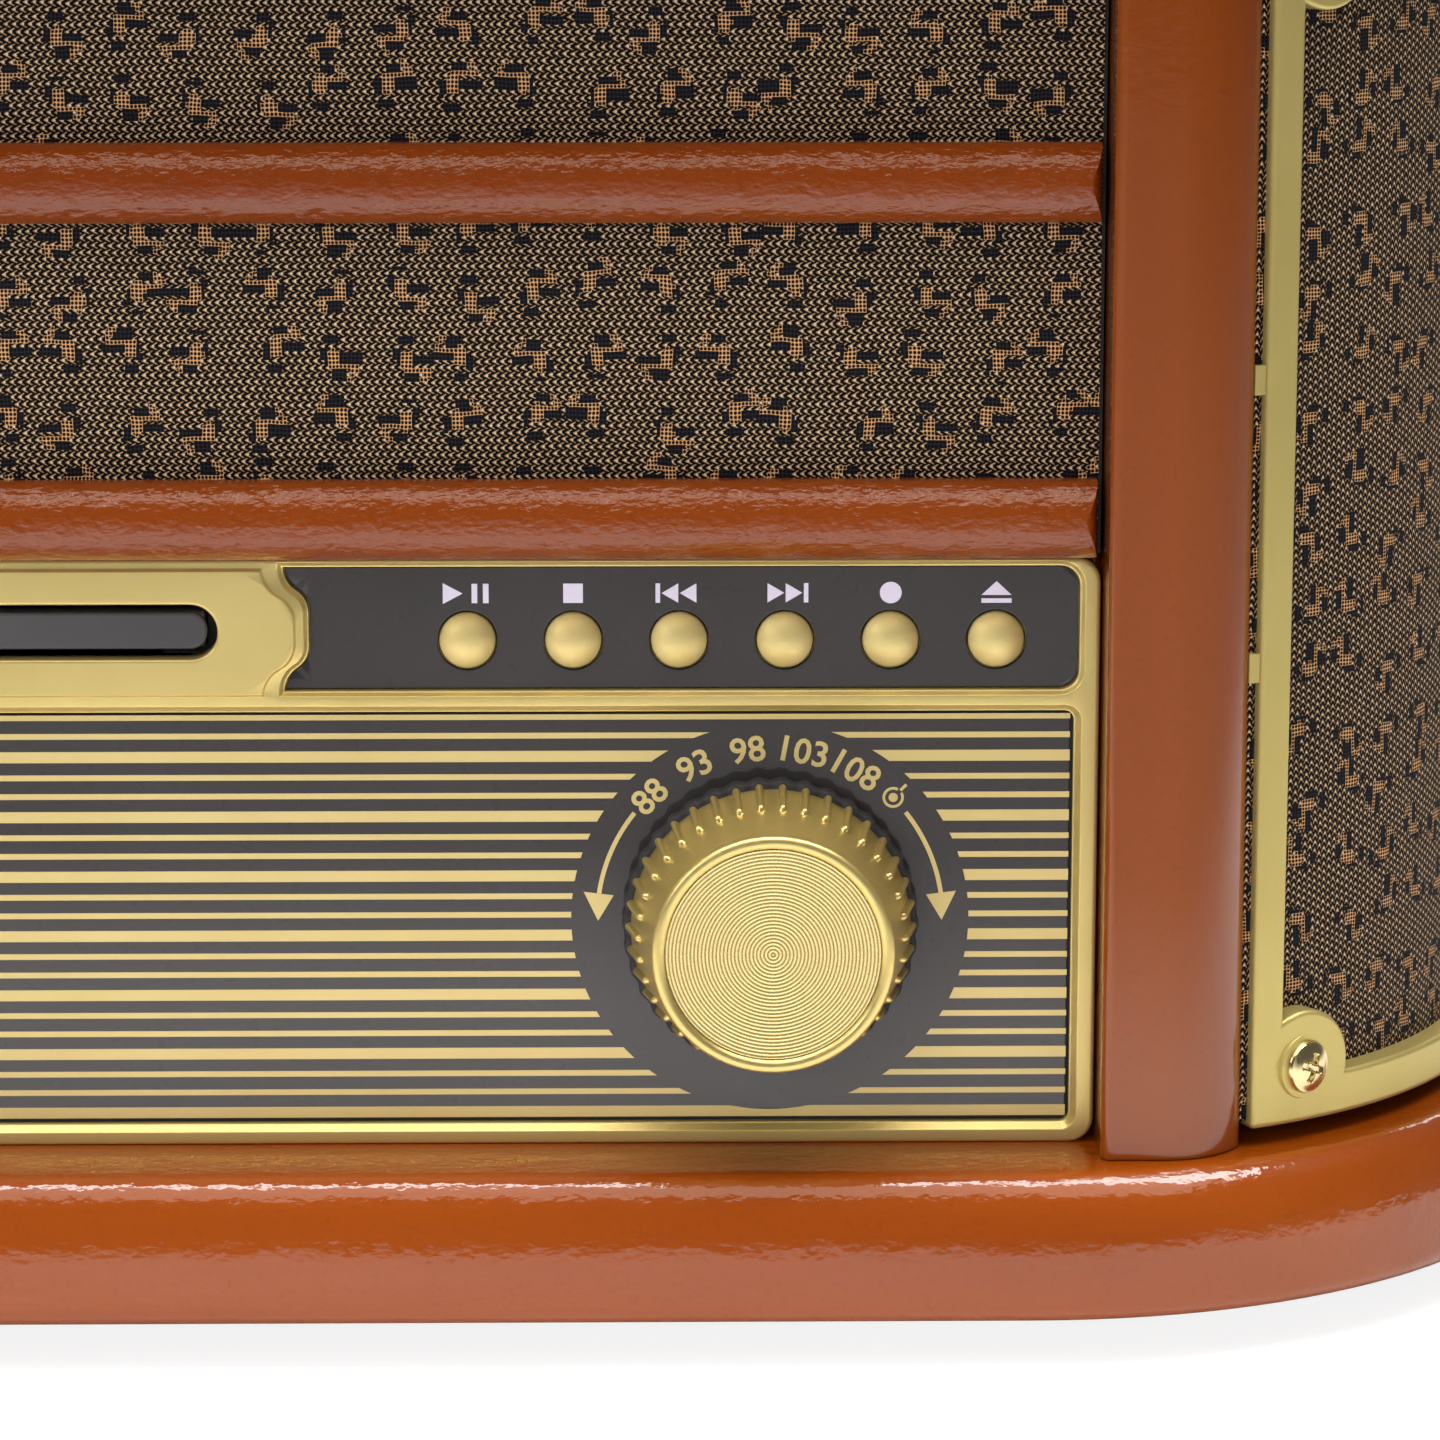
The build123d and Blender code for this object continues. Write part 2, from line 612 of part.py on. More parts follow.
def screw(place):
    """Pan-head screw."""
    head = turned([
        (0, 0), (SCREW_HEAD, 0), (SCREW_HEAD - 0.3, SCREW_HEAD_HEIGHT * 0.6),
        (SCREW_HEAD * 0.5, SCREW_HEAD_HEIGHT), (0, SCREW_HEAD_HEIGHT),
    ])
    length = SCREW_LENGTH - 2
    return place * (head + Pos(0, 0, -length / 2) * Cylinder(SCREW_SHANK - SLIDING_FIT, length))


def case_screws():
    """Screws of both grilles and of the rear panel."""
    right = [screw(place) for place in grille_screw_places() + rear_screw_places()]
    return Compound(right + [mirrored(item) for item in right])


# ---- corner grilles and loudspeakers ----
def grille_frame():
    """Moulded frame of the right corner grille, with screw pads and tubes to the baffle."""
    inner = band_radius - GRILLE_THICKNESS
    frame = corner_band(band_radius, inner, grille_start, GRILLE_LENGTH, grille_low, grille_high)
    reach = band_radius + 5
    window_x = grille_start + GRILLE_BAR - corner_x
    window = Pos((window_x + reach) / 2, (GRILLE_LENGTH - GRILLE_BAR - reach) / 2) * Rectangle(
        reach - window_x, GRILLE_LENGTH - GRILLE_BAR + reach)
    frame -= plan_prism(
        Pos(corner_x, corner_y) * window, grille_low + GRILLE_FOOT_BAR, grille_high - GRILLE_FOOT_BAR)
    for place in grille_screw_places():
        frame += place * Pos(0, 0, -GRILLE_THICKNESS / 2) * Cylinder(BOSS_PAD, GRILLE_THICKNESS)
        depth = baffle_depth(place)
        frame += place * Pos(0, 0, -depth / 2) * Cylinder(BOSS_TUBE, depth)
    return (frame - screw_holes(grille_screw_places())).solid()


def baffle_depth(place):
    """Distance from a grille screw's head down to the baffle."""
    if place.z_dir.X > 0.99:
        return side_x - wall_x
    return (place.origin - Vector(baffle_end.X, baffle_end.Y, place.origin.Z)).dot(place.z_dir)


def grille_cloth():
    """Cloth stretched behind the right grille frame."""
    outer = band_radius - GRILLE_THICKNESS - SLIDING_FIT
    cloth = corner_band(outer, outer - CLOTH_THICKNESS, grille_start + SHADOW_GAP, GRILLE_LENGTH - SHADOW_GAP,
                        grille_low + SHADOW_GAP, grille_high - SHADOW_GAP)
    for place in grille_screw_places():
        cloth -= place * Pos(0, 0, -5) * Cylinder(BOSS_PAD + GUIDE_GAP, 16)
    return cloth.solids().sort_by(SortBy.VOLUME)[-1]


def speaker():
    """Right loudspeaker: pressed basket, cone and magnet, turned about its own axis."""
    flange, hole, magnet = SPEAKER_FLANGE, SPEAKER_HOLE - GUIDE_GAP, SPEAKER_MAGNET
    cone = turned([
        (0, -9), (7, -10), (12, -13), (hole - 3, 0), (hole - 1, 1.6), (hole + 2, 1.6), (hole + 3, 3), (flange, 3),
        (flange, 0), (hole, 0), (hole - 2, -9), (magnet, -SPEAKER_DEPTH + 14), (magnet, -SPEAKER_DEPTH),
        (0, -SPEAKER_DEPTH),
    ])
    return Plane(origin=(wall_x, speaker_y, speaker_z), z_dir=(1, 0, 0)) * cone


# ---- control panel ----
def ogee_outline(start, step, rise, outer, low, high):
    """Window or pad outline whose inner end swings out in two S-curves round a straight nose."""
    mid_x = start + step / 2
    nose = start + step
    points = [
        ((start, high), (0, -1), (mid_x, high - rise / 2)),
        ((nose, high - rise), (0, 1), (mid_x, high - rise / 2)),
        ((nose, low + rise), (0, -1), (mid_x, low + rise / 2)),
        ((start, low), (0, 1), (mid_x, low + rise / 2)),
    ]
    curves = [TangentArc(end, middle, tangent=way) for end, way, middle in points]
    nose_line = Line((nose, high - rise), (nose, low + rise))
    rest = Polyline((start, low), (outer, low), (outer, high), (start, high))
    return make_face(Curve() + curves + [nose_line, rest])


def button_window():
    """Right button window of the panel."""
    outline = ogee_outline(
        window_start, OGEE_STEP, OGEE_RISE, panel_half - UPPER_WINDOW_RIM, upper_low, upper_high)
    return fillet(outline.vertices().group_by(Axis.X)[-1], WINDOW_CORNER)


def dial_window(shrink=0.0):
    """Wide lower window of the panel, or the plate that drops into it."""
    width = 2 * (panel_half - LOWER_WINDOW_RIM - shrink)
    height = lower_high - lower_low - 2 * shrink
    return Pos(0, (lower_high + lower_low) / 2) * RectangleRounded(width, height, 1.2)


def disc_pad():
    """Raised pad round the drawer's mouth, with the same curved ends."""
    half = ogee_outline(pad_start, PAD_STEP, PAD_RISE, 0, upper_low - PAD_OVERLAP, upper_high + PAD_OVERLAP)
    solid = front_prism(half, panel_y - PAD_PROUD, panel_y + 0.5)
    return solid + mirrored(solid)


def button_places():
    """Middles of the right-hand buttons, then of the left-hand ones."""
    right = [button_first + button_pitch * place for place in range(BUTTON_COUNT)]
    return right, [-x for x in right[SOCKET_PLACE_COUNT:]]


def standoff_places():
    """Standoffs of the two button boards, between the buttons."""
    first = button_first + button_pitch / 2
    last = button_first + button_pitch * (BUTTON_COUNT - 1.5)
    return [side * x for side in (-1, 1) for x in (first, last)]


def control_bezel():
    """Moulded panel: plate windows with curved ends, raised pad, drawer mouth, floor and standoffs."""
    front = Pos(0, (plinth_top + panel_top) / 2) * RectangleRounded(PANEL_WIDTH, PANEL_HEIGHT, PANEL_CORNER)
    panel = front_prism(front, panel_y, panel_back)
    inner = PANEL_WIDTH - 2 * PANEL_RIM
    recess = Pos(0, (plinth_top + panel_top) / 2) * Rectangle(inner, PANEL_HEIGHT - 2 * PANEL_RIM)
    panel -= front_prism(recess, floor_back, panel_back + 1)
    window = front_prism(button_window(), panel_y - 1, floor_face)
    panel -= window
    panel -= mirrored(window)
    panel -= front_prism(dial_window(), panel_y - 1, floor_face)
    panel += disc_pad()
    panel -= front_prism(Pos(0, slot_z) * SlotOverall(slot_width, slot_height), panel_y - 2, panel_back)
    for x in button_places()[0] + button_places()[1]:
        panel -= rod_y(BUTTON_RADIUS + GUIDE_GAP, x, panel_y, panel_back, button_z)
    for side in (-1, 1):
        panel -= rod_y(BUSHING_RADIUS + GUIDE_GAP, side * knob_x, panel_y, panel_back, knob_z)
    display_hole = Pos(0, display_z) * Rectangle(
        DISPLAY_WIDTH + 2 * GUIDE_GAP, DISPLAY_HEIGHT + 2 * GUIDE_GAP)
    panel -= front_prism(display_hole, panel_y, panel_back)
    panel -= usb_shape(USB_WIDTH / 2 + GUIDE_GAP, USB_HEIGHT / 2 + GUIDE_GAP, panel_y, panel_back)
    panel -= rod_y(JACK_RING + GUIDE_GAP, -jack_x, panel_y, panel_back, button_z)
    for x in standoff_places():
        panel += rod_y(STANDOFF_RADIUS, x, floor_back - 0.5, board_face, button_z - STANDOFF_DROP)
    return panel.solid()


def button_plates():
    """Two glossy plates behind the buttons."""
    plate = front_prism(offset(button_window(), -SLIDING_FIT), plate_face, floor_face)
    right, left = button_places()
    right_plate = plate
    left_plate = mirrored(plate)
    for x in right:
        right_plate -= rod_y(BUTTON_RADIUS + GUIDE_GAP, x, panel_y, floor_back, button_z)
    for x in left:
        left_plate -= rod_y(BUTTON_RADIUS + GUIDE_GAP, x, panel_y, floor_back, button_z)
    left_plate -= usb_shape(USB_WIDTH / 2 + GUIDE_GAP, USB_HEIGHT / 2 + GUIDE_GAP, panel_y, panel_back)
    left_plate -= rod_y(JACK_RING + GUIDE_GAP, -jack_x, panel_y, panel_back, button_z)
    return Compound([left_plate.solid(), right_plate.solid()])


def dial_plate():
    """Wide striped plate round the knobs and the display."""
    plate = front_prism(dial_window(SLIDING_FIT), plate_face, floor_face)
    for side in (-1, 1):
        plate -= rod_y(BUSHING_RADIUS + GUIDE_GAP, side * knob_x, panel_y, floor_back, knob_z)
    hole = Pos(0, display_z) * Rectangle(
        DISPLAY_WIDTH + 2 * GUIDE_GAP, DISPLAY_HEIGHT + 2 * GUIDE_GAP)
    return (plate - front_prism(hole, panel_y, floor_back)).solid()


def display():
    """Display behind its window, with a flange that rests against the panel's floor."""
    half = DISPLAY_WIDTH / 2
    low, high = display_z - DISPLAY_HEIGHT / 2, display_z + DISPLAY_HEIGHT / 2
    window = block(-half, half, plate_face, floor_back, low, high)
    wide = half + DISPLAY_FLANGE
    module = block(-wide, wide, floor_back, floor_back + DISPLAY_DEPTH, low - DISPLAY_FLANGE, high + DISPLAY_FLANGE)
    return window + module


# ---- buttons ----
def button(x):
    """Domed button with its retaining collar and the stem that reaches the switch."""
    radius, rise = BUTTON_RADIUS, BUTTON_DOME
    tip = collar_y - BUTTON_BODY - rise
    stem_end = switch_face + 1.0
    curve = (radius ** 2 + rise ** 2) / (2 * rise)
    lean = asin(radius / curve) / 2
    shoulder = (radius, tip + rise)
    outline = Curve() + [
        Polyline(
            (0, tip), (0, stem_end), (BUTTON_STEM, stem_end), (BUTTON_STEM, collar_y + COLLAR_THICKNESS),
            (BUTTON_COLLAR, collar_y + COLLAR_THICKNESS), (BUTTON_COLLAR, collar_y), (radius, collar_y), shoulder,
        ),
        ThreePointArc(shoulder, (curve * sin(lean), tip + curve * (1 - cos(lean))), (0, tip)),
    ]
    profile = make_face(Plane.XZ * outline)
    return Pos(x, 0, button_z) * Rot(-90, 0, 0) * revolve(profile, Axis.Z)


def button_boards():
    """Two circuit boards with a switch block behind each button."""
    first = button_first - SWITCH_SIZE
    last = button_first + button_pitch * (BUTTON_COUNT - 1) + SWITCH_SIZE
    board = block(first, last, board_face, board_face + BOARD_THICKNESS,
                  button_z - BOARD_HEIGHT / 2, button_z + BOARD_HEIGHT / 2)
    half = SWITCH_SIZE / 2
    right, left = button_places()
    boards = [board, mirrored(board)]
    for index, places in enumerate((right, left)):
        for x in places:
            switch = block(x - half, x + half, switch_face, board_face, button_z - half, button_z + half)
            boards[index] += switch
            boards[index] -= rod_y(BUTTON_STEM + GUIDE_GAP, x, switch_face - 1, board_face - 0.5, button_z)
    boards[1] -= usb_shape(USB_WIDTH / 2 + GUIDE_GAP, USB_HEIGHT / 2 + GUIDE_GAP, board_face - 1, board_face + 3)
    reach = JACK_BODY / 2 + GUIDE_GAP
    boards[1] -= block(-jack_x - reach, -jack_x + reach, board_face - 1, board_face + 3,
                       button_z - reach, button_z + reach)
    return Compound([item.solid() for item in boards])


# ---- knobs ----
def knob_cap(x):
    """Gold cap: ribbed grip, taper and a dished, spun face."""
    back, shoulder, rim = panel_y - KNOB_BACK, panel_y - KNOB_SHOULDER, panel_y - KNOB_PROUD
    cap = turned_front([
        (0, back), (KNOB_RADIUS, back), (KNOB_RADIUS, shoulder), (KNOB_RADIUS - 0.9, shoulder - 3),
        (KNOB_FACE + 0.1, rim + 1.2), (KNOB_FACE - 0.3, rim + 0.3), (KNOB_FACE - 0.9, rim),
        (KNOB_DISH + 0.3, rim + 0.2), (KNOB_DISH, rim + 0.7), (0, rim + 0.7),
    ], x, knob_z)
    ribs = Sketch() + [loc * Circle(KNOB_RIB) for loc in PolarLocations(KNOB_RADIUS - 0.2, KNOB_RIBS)]
    ring = (ribs + Circle(KNOB_RADIUS - 0.3)) - Circle(KNOB_RADIUS - 3)
    grip = front_prism(Pos(x, knob_z) * ring, shoulder + 0.6, back - 0.6)
    return (cap + grip).solid()


def knob_core(x):
    """Black core behind the cap, with its skirt, hub and shaft."""
    back = panel_y - KNOB_BACK
    skirt_end = panel_y + 0.7
    hub_end = panel_y + 0.2
    return turned_front([
        (0, back), (KNOB_SKIRT, back), (KNOB_SKIRT, skirt_end), (KNOB_SKIRT - 1.6, skirt_end),
        (KNOB_SKIRT - 1.6, back + 2), (7.0, back + 2), (7.0, hub_end), (SHAFT_RADIUS, hub_end),
        (SHAFT_RADIUS, floor_back + ENCODER_DEPTH - 2), (0, floor_back + ENCODER_DEPTH - 2),
    ], x, knob_z)


def encoder(x):
    """Rotary control: housing against the panel's floor and bushing through it."""
    half = ENCODER_SIZE / 2
    housing = block(x - half, x + half, floor_back, floor_back + ENCODER_DEPTH, knob_z - half, knob_z + half)
    bushing = rod_y(BUSHING_RADIUS, x, panel_y + 1.2, floor_back + 0.5, knob_z)
    bore = rod_y(SHAFT_RADIUS + SLIDING_FIT, x, panel_y, floor_back + ENCODER_DEPTH - 1, knob_z)
    chamber = rod_y(ROTOR_RADIUS + GUIDE_GAP, x, rotor_front - GUIDE_GAP,
                    rotor_front + ROTOR_THICKNESS + GUIDE_GAP, knob_z)
    return (housing + bushing - bore - chamber).solid()


def encoder_rotor():
    """Code wheel of the tuning control, turned by the shaft that slides through it."""
    x = knob_x
    wheel = rod_y(ROTOR_RADIUS, x, rotor_front, rotor_front + ROTOR_THICKNESS, knob_z)
    return wheel - rod_y(SHAFT_RADIUS + SLIDING_FIT, x, rotor_front - 1, rotor_front + ROTOR_THICKNESS + 1, knob_z)


# ---- sockets ----
def usb_shape(half_width, half_height, y0, y1):
    """Rectangular prism on the serial socket's axis."""
    return block(-usb_x - half_width, -usb_x + half_width, y0, y1,
                 button_z - half_height, button_z + half_height)


def front_sockets():
    """Memory-stick socket and headphone socket of the left plate."""
    half_width, half_height = USB_WIDTH / 2, USB_HEIGHT / 2
    back = plate_face + USB_DEPTH
    shell = usb_shape(half_width, half_height, plate_face, back)
    shell -= usb_shape(half_width - USB_WALL, half_height - USB_WALL, plate_face - 1, back - 1)
    tongue = block(-usb_x - half_width + 1.5, -usb_x + half_width - 1.5, plate_face + 1.5, back,
                   button_z + half_height - USB_WALL - 2.4, button_z + half_height - USB_WALL - 0.5)
    reach = JACK_BODY / 2
    jack = rod_y(JACK_RING, -jack_x, plate_face - 0.6, floor_back + 0.5, button_z)
    jack += block(-jack_x - reach, -jack_x + reach, floor_back, plate_face + JACK_DEPTH,
                  button_z - reach, button_z + reach)
    jack -= rod_y(JACK_BORE, -jack_x, plate_face - 1, plate_face + JACK_DEPTH - 1.5, button_z)
    return Compound([(shell + tongue).solid(), jack.solid()])


def vent_places():
    """Middles of the rear panel's vent slots."""
    return [(place - (VENT_COUNT - 1) / 2) * VENT_PITCH for place in range(VENT_COUNT)]


def socket_places():
    """Middles of the line sockets on the rear panel."""
    return [SOCKET_X - SOCKET_PITCH * place for place in range(SOCKET_COUNT)]


def rear_sockets():
    """Two line sockets and the mains inlet in the rear panel."""
    inner = body_rear - REAR_PANEL_THICKNESS
    solids = []
    for x in socket_places():
        barrel = rod_y(SOCKET_BARREL, x, inner - 6, body_rear + SOCKET_PROUD, socket_z)
        barrel += rod_y(SOCKET_BARREL + 3, x, inner - 2, inner, socket_z)
        solids.append(barrel - rod_y(SOCKET_BORE, x, inner, body_rear + SOCKET_PROUD + 1, socket_z))
    outline = Pos(INLET_X, socket_z) * RectangleRounded(INLET_WIDTH, INLET_HEIGHT, INLET_CORNER)
    inlet = front_prism(outline, inner - INLET_DEPTH, body_rear)
    lobes = Pos(INLET_X - 3.6, socket_z) * Circle(4.0) + Pos(INLET_X + 3.6, socket_z) * Circle(4.0)
    inlet -= front_prism(lobes, inner - INLET_DEPTH + 3, body_rear + 1)
    for side in (-1, 1):
        inlet += rod_y(1.2, INLET_X + side * 4.2, inner - INLET_DEPTH + 2, body_rear - 3, socket_z)
    solids.append(inlet.solid())
    return Compound(solids)


# ---- inside ----
def main_board():
    """Amplifier and radio board on four standoffs, with its screening can and heat sink."""
    half = MAIN_BOARD_WIDTH / 2
    front = -MAIN_BOARD_DEPTH / 2
    rear = MAIN_BOARD_DEPTH / 2
    low = plinth_top + MAIN_BOARD_LIFT
    board = block(-half, half, front, rear, low, low + BOARD_THICKNESS)
    for x in (MAIN_BOARD_INSET - half, half - MAIN_BOARD_INSET):
        for y in (front + MAIN_BOARD_INSET, rear - MAIN_BOARD_INSET):
            board += rod_z(MAIN_BOARD_FOOT, x, y, plinth_top, low)
    can_x, can_y = CAN_INSET - half, rear - MAIN_BOARD_INSET - CAN_DEPTH
    board += block(can_x, can_x + CAN_WIDTH, can_y, can_y + CAN_DEPTH, low, low + CAN_HEIGHT)
    for fin in range(FIN_COUNT):
        x = half - CAN_INSET - FIN_PITCH * (fin + 1)
        board += block(x, x + FIN_THICKNESS, rear - FIN_INSET - FIN_DEPTH, rear - FIN_INSET, low, low + FIN_HEIGHT)
    return board.solid()


def transformer():
    """Mains transformer with its laminated core and winding."""
    x, y = TRANSFORMER_X, MAIN_BOARD_DEPTH / 4
    half_w, half_d = TRANSFORMER_WIDTH / 2, TRANSFORMER_DEPTH / 2
    high = plinth_top + TRANSFORMER_HEIGHT
    core = block(x - half_w, x + half_w, y - half_d + 8, y + half_d - 8, plinth_top, high)
    winding = block(x - half_w + 10, x + half_w - 10, y - half_d, y + half_d, plinth_top + 9, high - 9)
    return core + winding


# ---- disc drawer ----
def cd_chassis():
    """Channel that carries the drawer: floor, side rails with ledges, and cover."""
    half = TRAY_WIDTH / 2 + GUIDE_GAP
    wall = half + CHASSIS_WALL
    back = tray_face + TRAY_LENGTH + 4
    ledge = tray_low - GUIDE_GAP
    cover = panel_top - PANEL_RIM - GUIDE_GAP - CHASSIS_WALL
    body = block(-wall, wall, floor_back, back, ledge - 7, cover + CHASSIS_WALL)
    body -= block(-half, half, floor_back - 1, back - CHASSIS_WALL, ledge, cover)
    body -= block(CHASSIS_LEDGE - half, half - CHASSIS_LEDGE, floor_back - 1, back - CHASSIS_WALL,
                  ledge - 7 + CHASSIS_WALL, ledge + 1)
    return body


def cd_tray():
    """Disc drawer: rounded front, disc recess and the slot for the pickup."""
    half = TRAY_WIDTH / 2
    high = tray_low + TRAY_HEIGHT
    back = tray_face + TRAY_LENGTH
    tray = block(-half, half, tray_face, back, tray_low, high)
    tray = fillet(tray.edges().filter_by(Axis.X).group_by(Axis.Y)[0], 1.0)
    centre = tray_face + DISC_CENTRE
    tray -= rod_z(DISC_RECESS, 0, centre, high - DISC_RECESS_DEPTH, high + 1)
    slot = PICKUP_SLOT / 2
    tray -= rod_z(slot, 0, centre, tray_low - 1, high + 1)
    return tray - block(-slot, slot, centre, back - 8, tray_low - 1, high + 1)


# ---- record deck ----
def deck():
    """Deck plate with a sunk ring for the platter, the arm's rest and the openings for what passes through."""
    seat = FRAME_RIM + GUIDE_GAP
    plate = plan_prism(
        footprint(FRAME_SETBACK + seat, FRAME_REAR_SETBACK + seat, 3.0), deck_under, deck_top)
    plate -= rod_z(SPINDLE_RADIUS + SLIDING_FIT, SPINDLE_X, SPINDLE_Y, deck_under - 1, deck_top + 1)
    plate -= rod_z(PULLEY_RADIUS + PULLEY_FLANGE + 1, pulley_x, pulley_y, deck_under - 1, deck_top + 1)
    plate -= rod_z(YOKE_STEM + 1, ARM_X, ARM_Y, deck_under - 1, deck_top + 1)
    half = SWITCH_TRAVEL + 2.5
    plate -= block(SWITCH_X - 1.5, SWITCH_X + 1.5, SWITCH_Y - 2.5, SWITCH_Y + half, deck_under - 1, deck_top + 1)
    rest_y = ARM_Y - REST_REACH
    saddle = arm_z - ARM_TUBE - GUIDE_GAP
    plate += block(ARM_X - 4, ARM_X + 7, rest_y - 4, rest_y + 4, deck_top, saddle - 3)
    plate += block(ARM_X - 5, ARM_X + 7, rest_y - 5, rest_y + 5, saddle - 3, saddle)
    plate += block(ARM_X + ARM_TUBE + 0.8, ARM_X + 7, rest_y - 5, rest_y + 5, saddle - 1, arm_z + 2)
    return plate.solid()


def spindle():
    """Steel spindle with the shoulder that the platter turns on."""
    tip = deck_top + SPINDLE_TOP
    radius = SPINDLE_RADIUS
    return turned([
        (0, deck_under), (radius, deck_under), (radius, deck_top), (SHOULDER_RADIUS, deck_top),
        (SHOULDER_RADIUS, platter_low - GUIDE_GAP), (radius, platter_low - GUIDE_GAP), (radius, tip - 4),
        (radius - 0.9, tip - 1.2), (radius - 2.2, tip), (0, tip),
    ], SPINDLE_X, SPINDLE_Y)


def platter():
    """Platter: rim, web, driven ring underneath and hub with the bearing bore."""
    bore = SPINDLE_RADIUS + SLIDING_FIT
    ring = DRIVE_RING - SLIDING_FIT
    return turned([
        (bore, platter_low), (SHOULDER_RADIUS + 2, platter_low), (SHOULDER_RADIUS + 2, web_under),
        (ring - 3, web_under), (ring - 3, platter_low + 1), (ring, platter_low + 1), (ring, web_under),
        (PLATTER_RADIUS - PLATTER_WALL, web_under), (PLATTER_RADIUS - PLATTER_WALL, platter_low),
        (PLATTER_RADIUS - 1, platter_low), (PLATTER_RADIUS, platter_low + 1), (PLATTER_RADIUS, platter_top - 1),
        (PLATTER_RADIUS - 1, platter_top), (bore, platter_top),
    ], SPINDLE_X, SPINDLE_Y)


def slip_mat():
    """Soft mat on the platter, sunk where the label lies."""
    bore, rim = SPINDLE_RADIUS + 0.4, PLATTER_RADIUS - MAT_RIM
    top = platter_top + MAT_THICKNESS
    return turned([
        (bore, platter_top), (rim, platter_top), (rim, top - MAT_RECESS), (rim - MAT_RECESS, top),
        (MAT_LABEL + MAT_RECESS, top), (MAT_LABEL, top - MAT_RECESS), (bore, top - MAT_RECESS),
    ], SPINDLE_X, SPINDLE_Y)


def belt_outline(ring, pulley):
    """Plan of a taut loop round the driven ring and the pulley."""
    side = degrees(acos((ring - pulley) / PULLEY_DISTANCE))
    angles = (PULLEY_BEARING + side, PULLEY_BEARING - side)
    corners = [(ring * cos(radians(a)), ring * sin(radians(a))) for a in angles]
    centre = (pulley_x - SPINDLE_X, pulley_y - SPINDLE_Y)
    corners += [
        (centre[0] + pulley * cos(radians(a)), centre[1] + pulley * sin(radians(a))) for a in reversed(angles)
    ]
    loop = Circle(ring) + Pos(*centre) * Circle(pulley) + make_face(Polyline(*corners, close=True))
    return Pos(SPINDLE_X, SPINDLE_Y) * loop


def drive_belt():
    """Flat rubber belt from the pulley to the driven ring."""
    inner = (DRIVE_RING + SLIDING_FIT, PULLEY_RADIUS + 2 * SLIDING_FIT)
    loop = belt_outline(inner[0] + BELT_THICKNESS, inner[1] + BELT_THICKNESS) - belt_outline(*inner)
    return plan_prism(loop, belt_z - BELT_WIDTH / 2, belt_z + BELT_WIDTH / 2)


def motor():
    """Deck motor under the plate, with its shaft."""
    can = rod_z(MOTOR_RADIUS, pulley_x, pulley_y, deck_under - MOTOR_HEIGHT, deck_under)
    return can + rod_z(MOTOR_SHAFT, pulley_x, pulley_y, deck_under - 0.5, web_under - 1)


def motor_pulley():
    """Pulley with two low flanges that keep the belt on."""
    low, high = belt_z - BELT_WIDTH / 2 - 0.3, belt_z + BELT_WIDTH / 2 + 0.3
    flange = PULLEY_RADIUS + PULLEY_FLANGE
    bore = MOTOR_SHAFT + SLIDING_FIT
    return turned([
        (bore, low - 0.6), (flange, low - 0.6), (flange - 0.4, low), (PULLEY_RADIUS, low), (PULLEY_RADIUS, high),
        (flange - 0.4, high), (flange, high + 0.5), (bore, high + 0.5),
    ], pulley_x, pulley_y)


# ---- tonearm ----
def tonearm_base():
    """Arm base: plate, turned column and the bearing block of the cue lever."""
    low, top = deck_top, deck_top + BASE_THICKNESS
    x0, x1 = ARM_X - COLUMN_RADIUS - BASE_MARGIN, cue_bearing[1] + BASE_MARGIN - 2
    y0, y1 = cue_y - BASE_MARGIN, ARM_Y + COLUMN_RADIUS + BASE_MARGIN
    plan = Pos((x0 + x1) / 2, (y0 + y1) / 2) * RectangleRounded(x1 - x0, y1 - y0, BASE_MARGIN)
    base = plan_prism(plan, low, top)
    base += turned([
        (0, top - 0.5), (COLUMN_RADIUS + 2, top - 0.5), (COLUMN_RADIUS + 2, top + 1), (COLUMN_RADIUS, top + 3),
        (COLUMN_RADIUS, column_top), (0, column_top),
    ], ARM_X, ARM_Y)
    base -= rod_z(YOKE_STEM + SLIDING_FIT, ARM_X, ARM_Y, low - 1, column_top + 1)
    base += block(*cue_bearing, cue_y - CUE_BLOCK_HALF, cue_y + CUE_BLOCK_HALF, top - 0.5, cue_z + 4.0)
    return (base - rod_x(CUE_SHAFT + SLIDING_FIT, cue_bearing[0] - 1, cue_bearing[1] + 1, cue_y, cue_z)).solid()


def tonearm_yoke():
    """Fork on an upright stem that lets the arm swing; its pins let the arm rise."""
    low = column_top + GUIDE_GAP
    half = ARM_HUB / 2 + GUIDE_GAP
    wall = half + YOKE_WALL
    fork = rod_z(COLUMN_RADIUS - 0.5, ARM_X, ARM_Y, low, low + 2.5)
    fork += rod_z(YOKE_STEM, ARM_X, ARM_Y, deck_under, low + 1)
    for side in (-1, 1):
        inner, outer = sorted((ARM_X + side * half, ARM_X + side * wall))
        fork += block(inner, outer, ARM_Y - 4, ARM_Y + 4, low + 1, arm_z + 3)
        pin_inner, pin_outer = sorted((ARM_X + side * (half - 3), ARM_X + side * (half + 0.5)))
        fork += rod_x(PIVOT_PIN, pin_inner, pin_outer, ARM_Y, arm_z)
    return fork.solid()


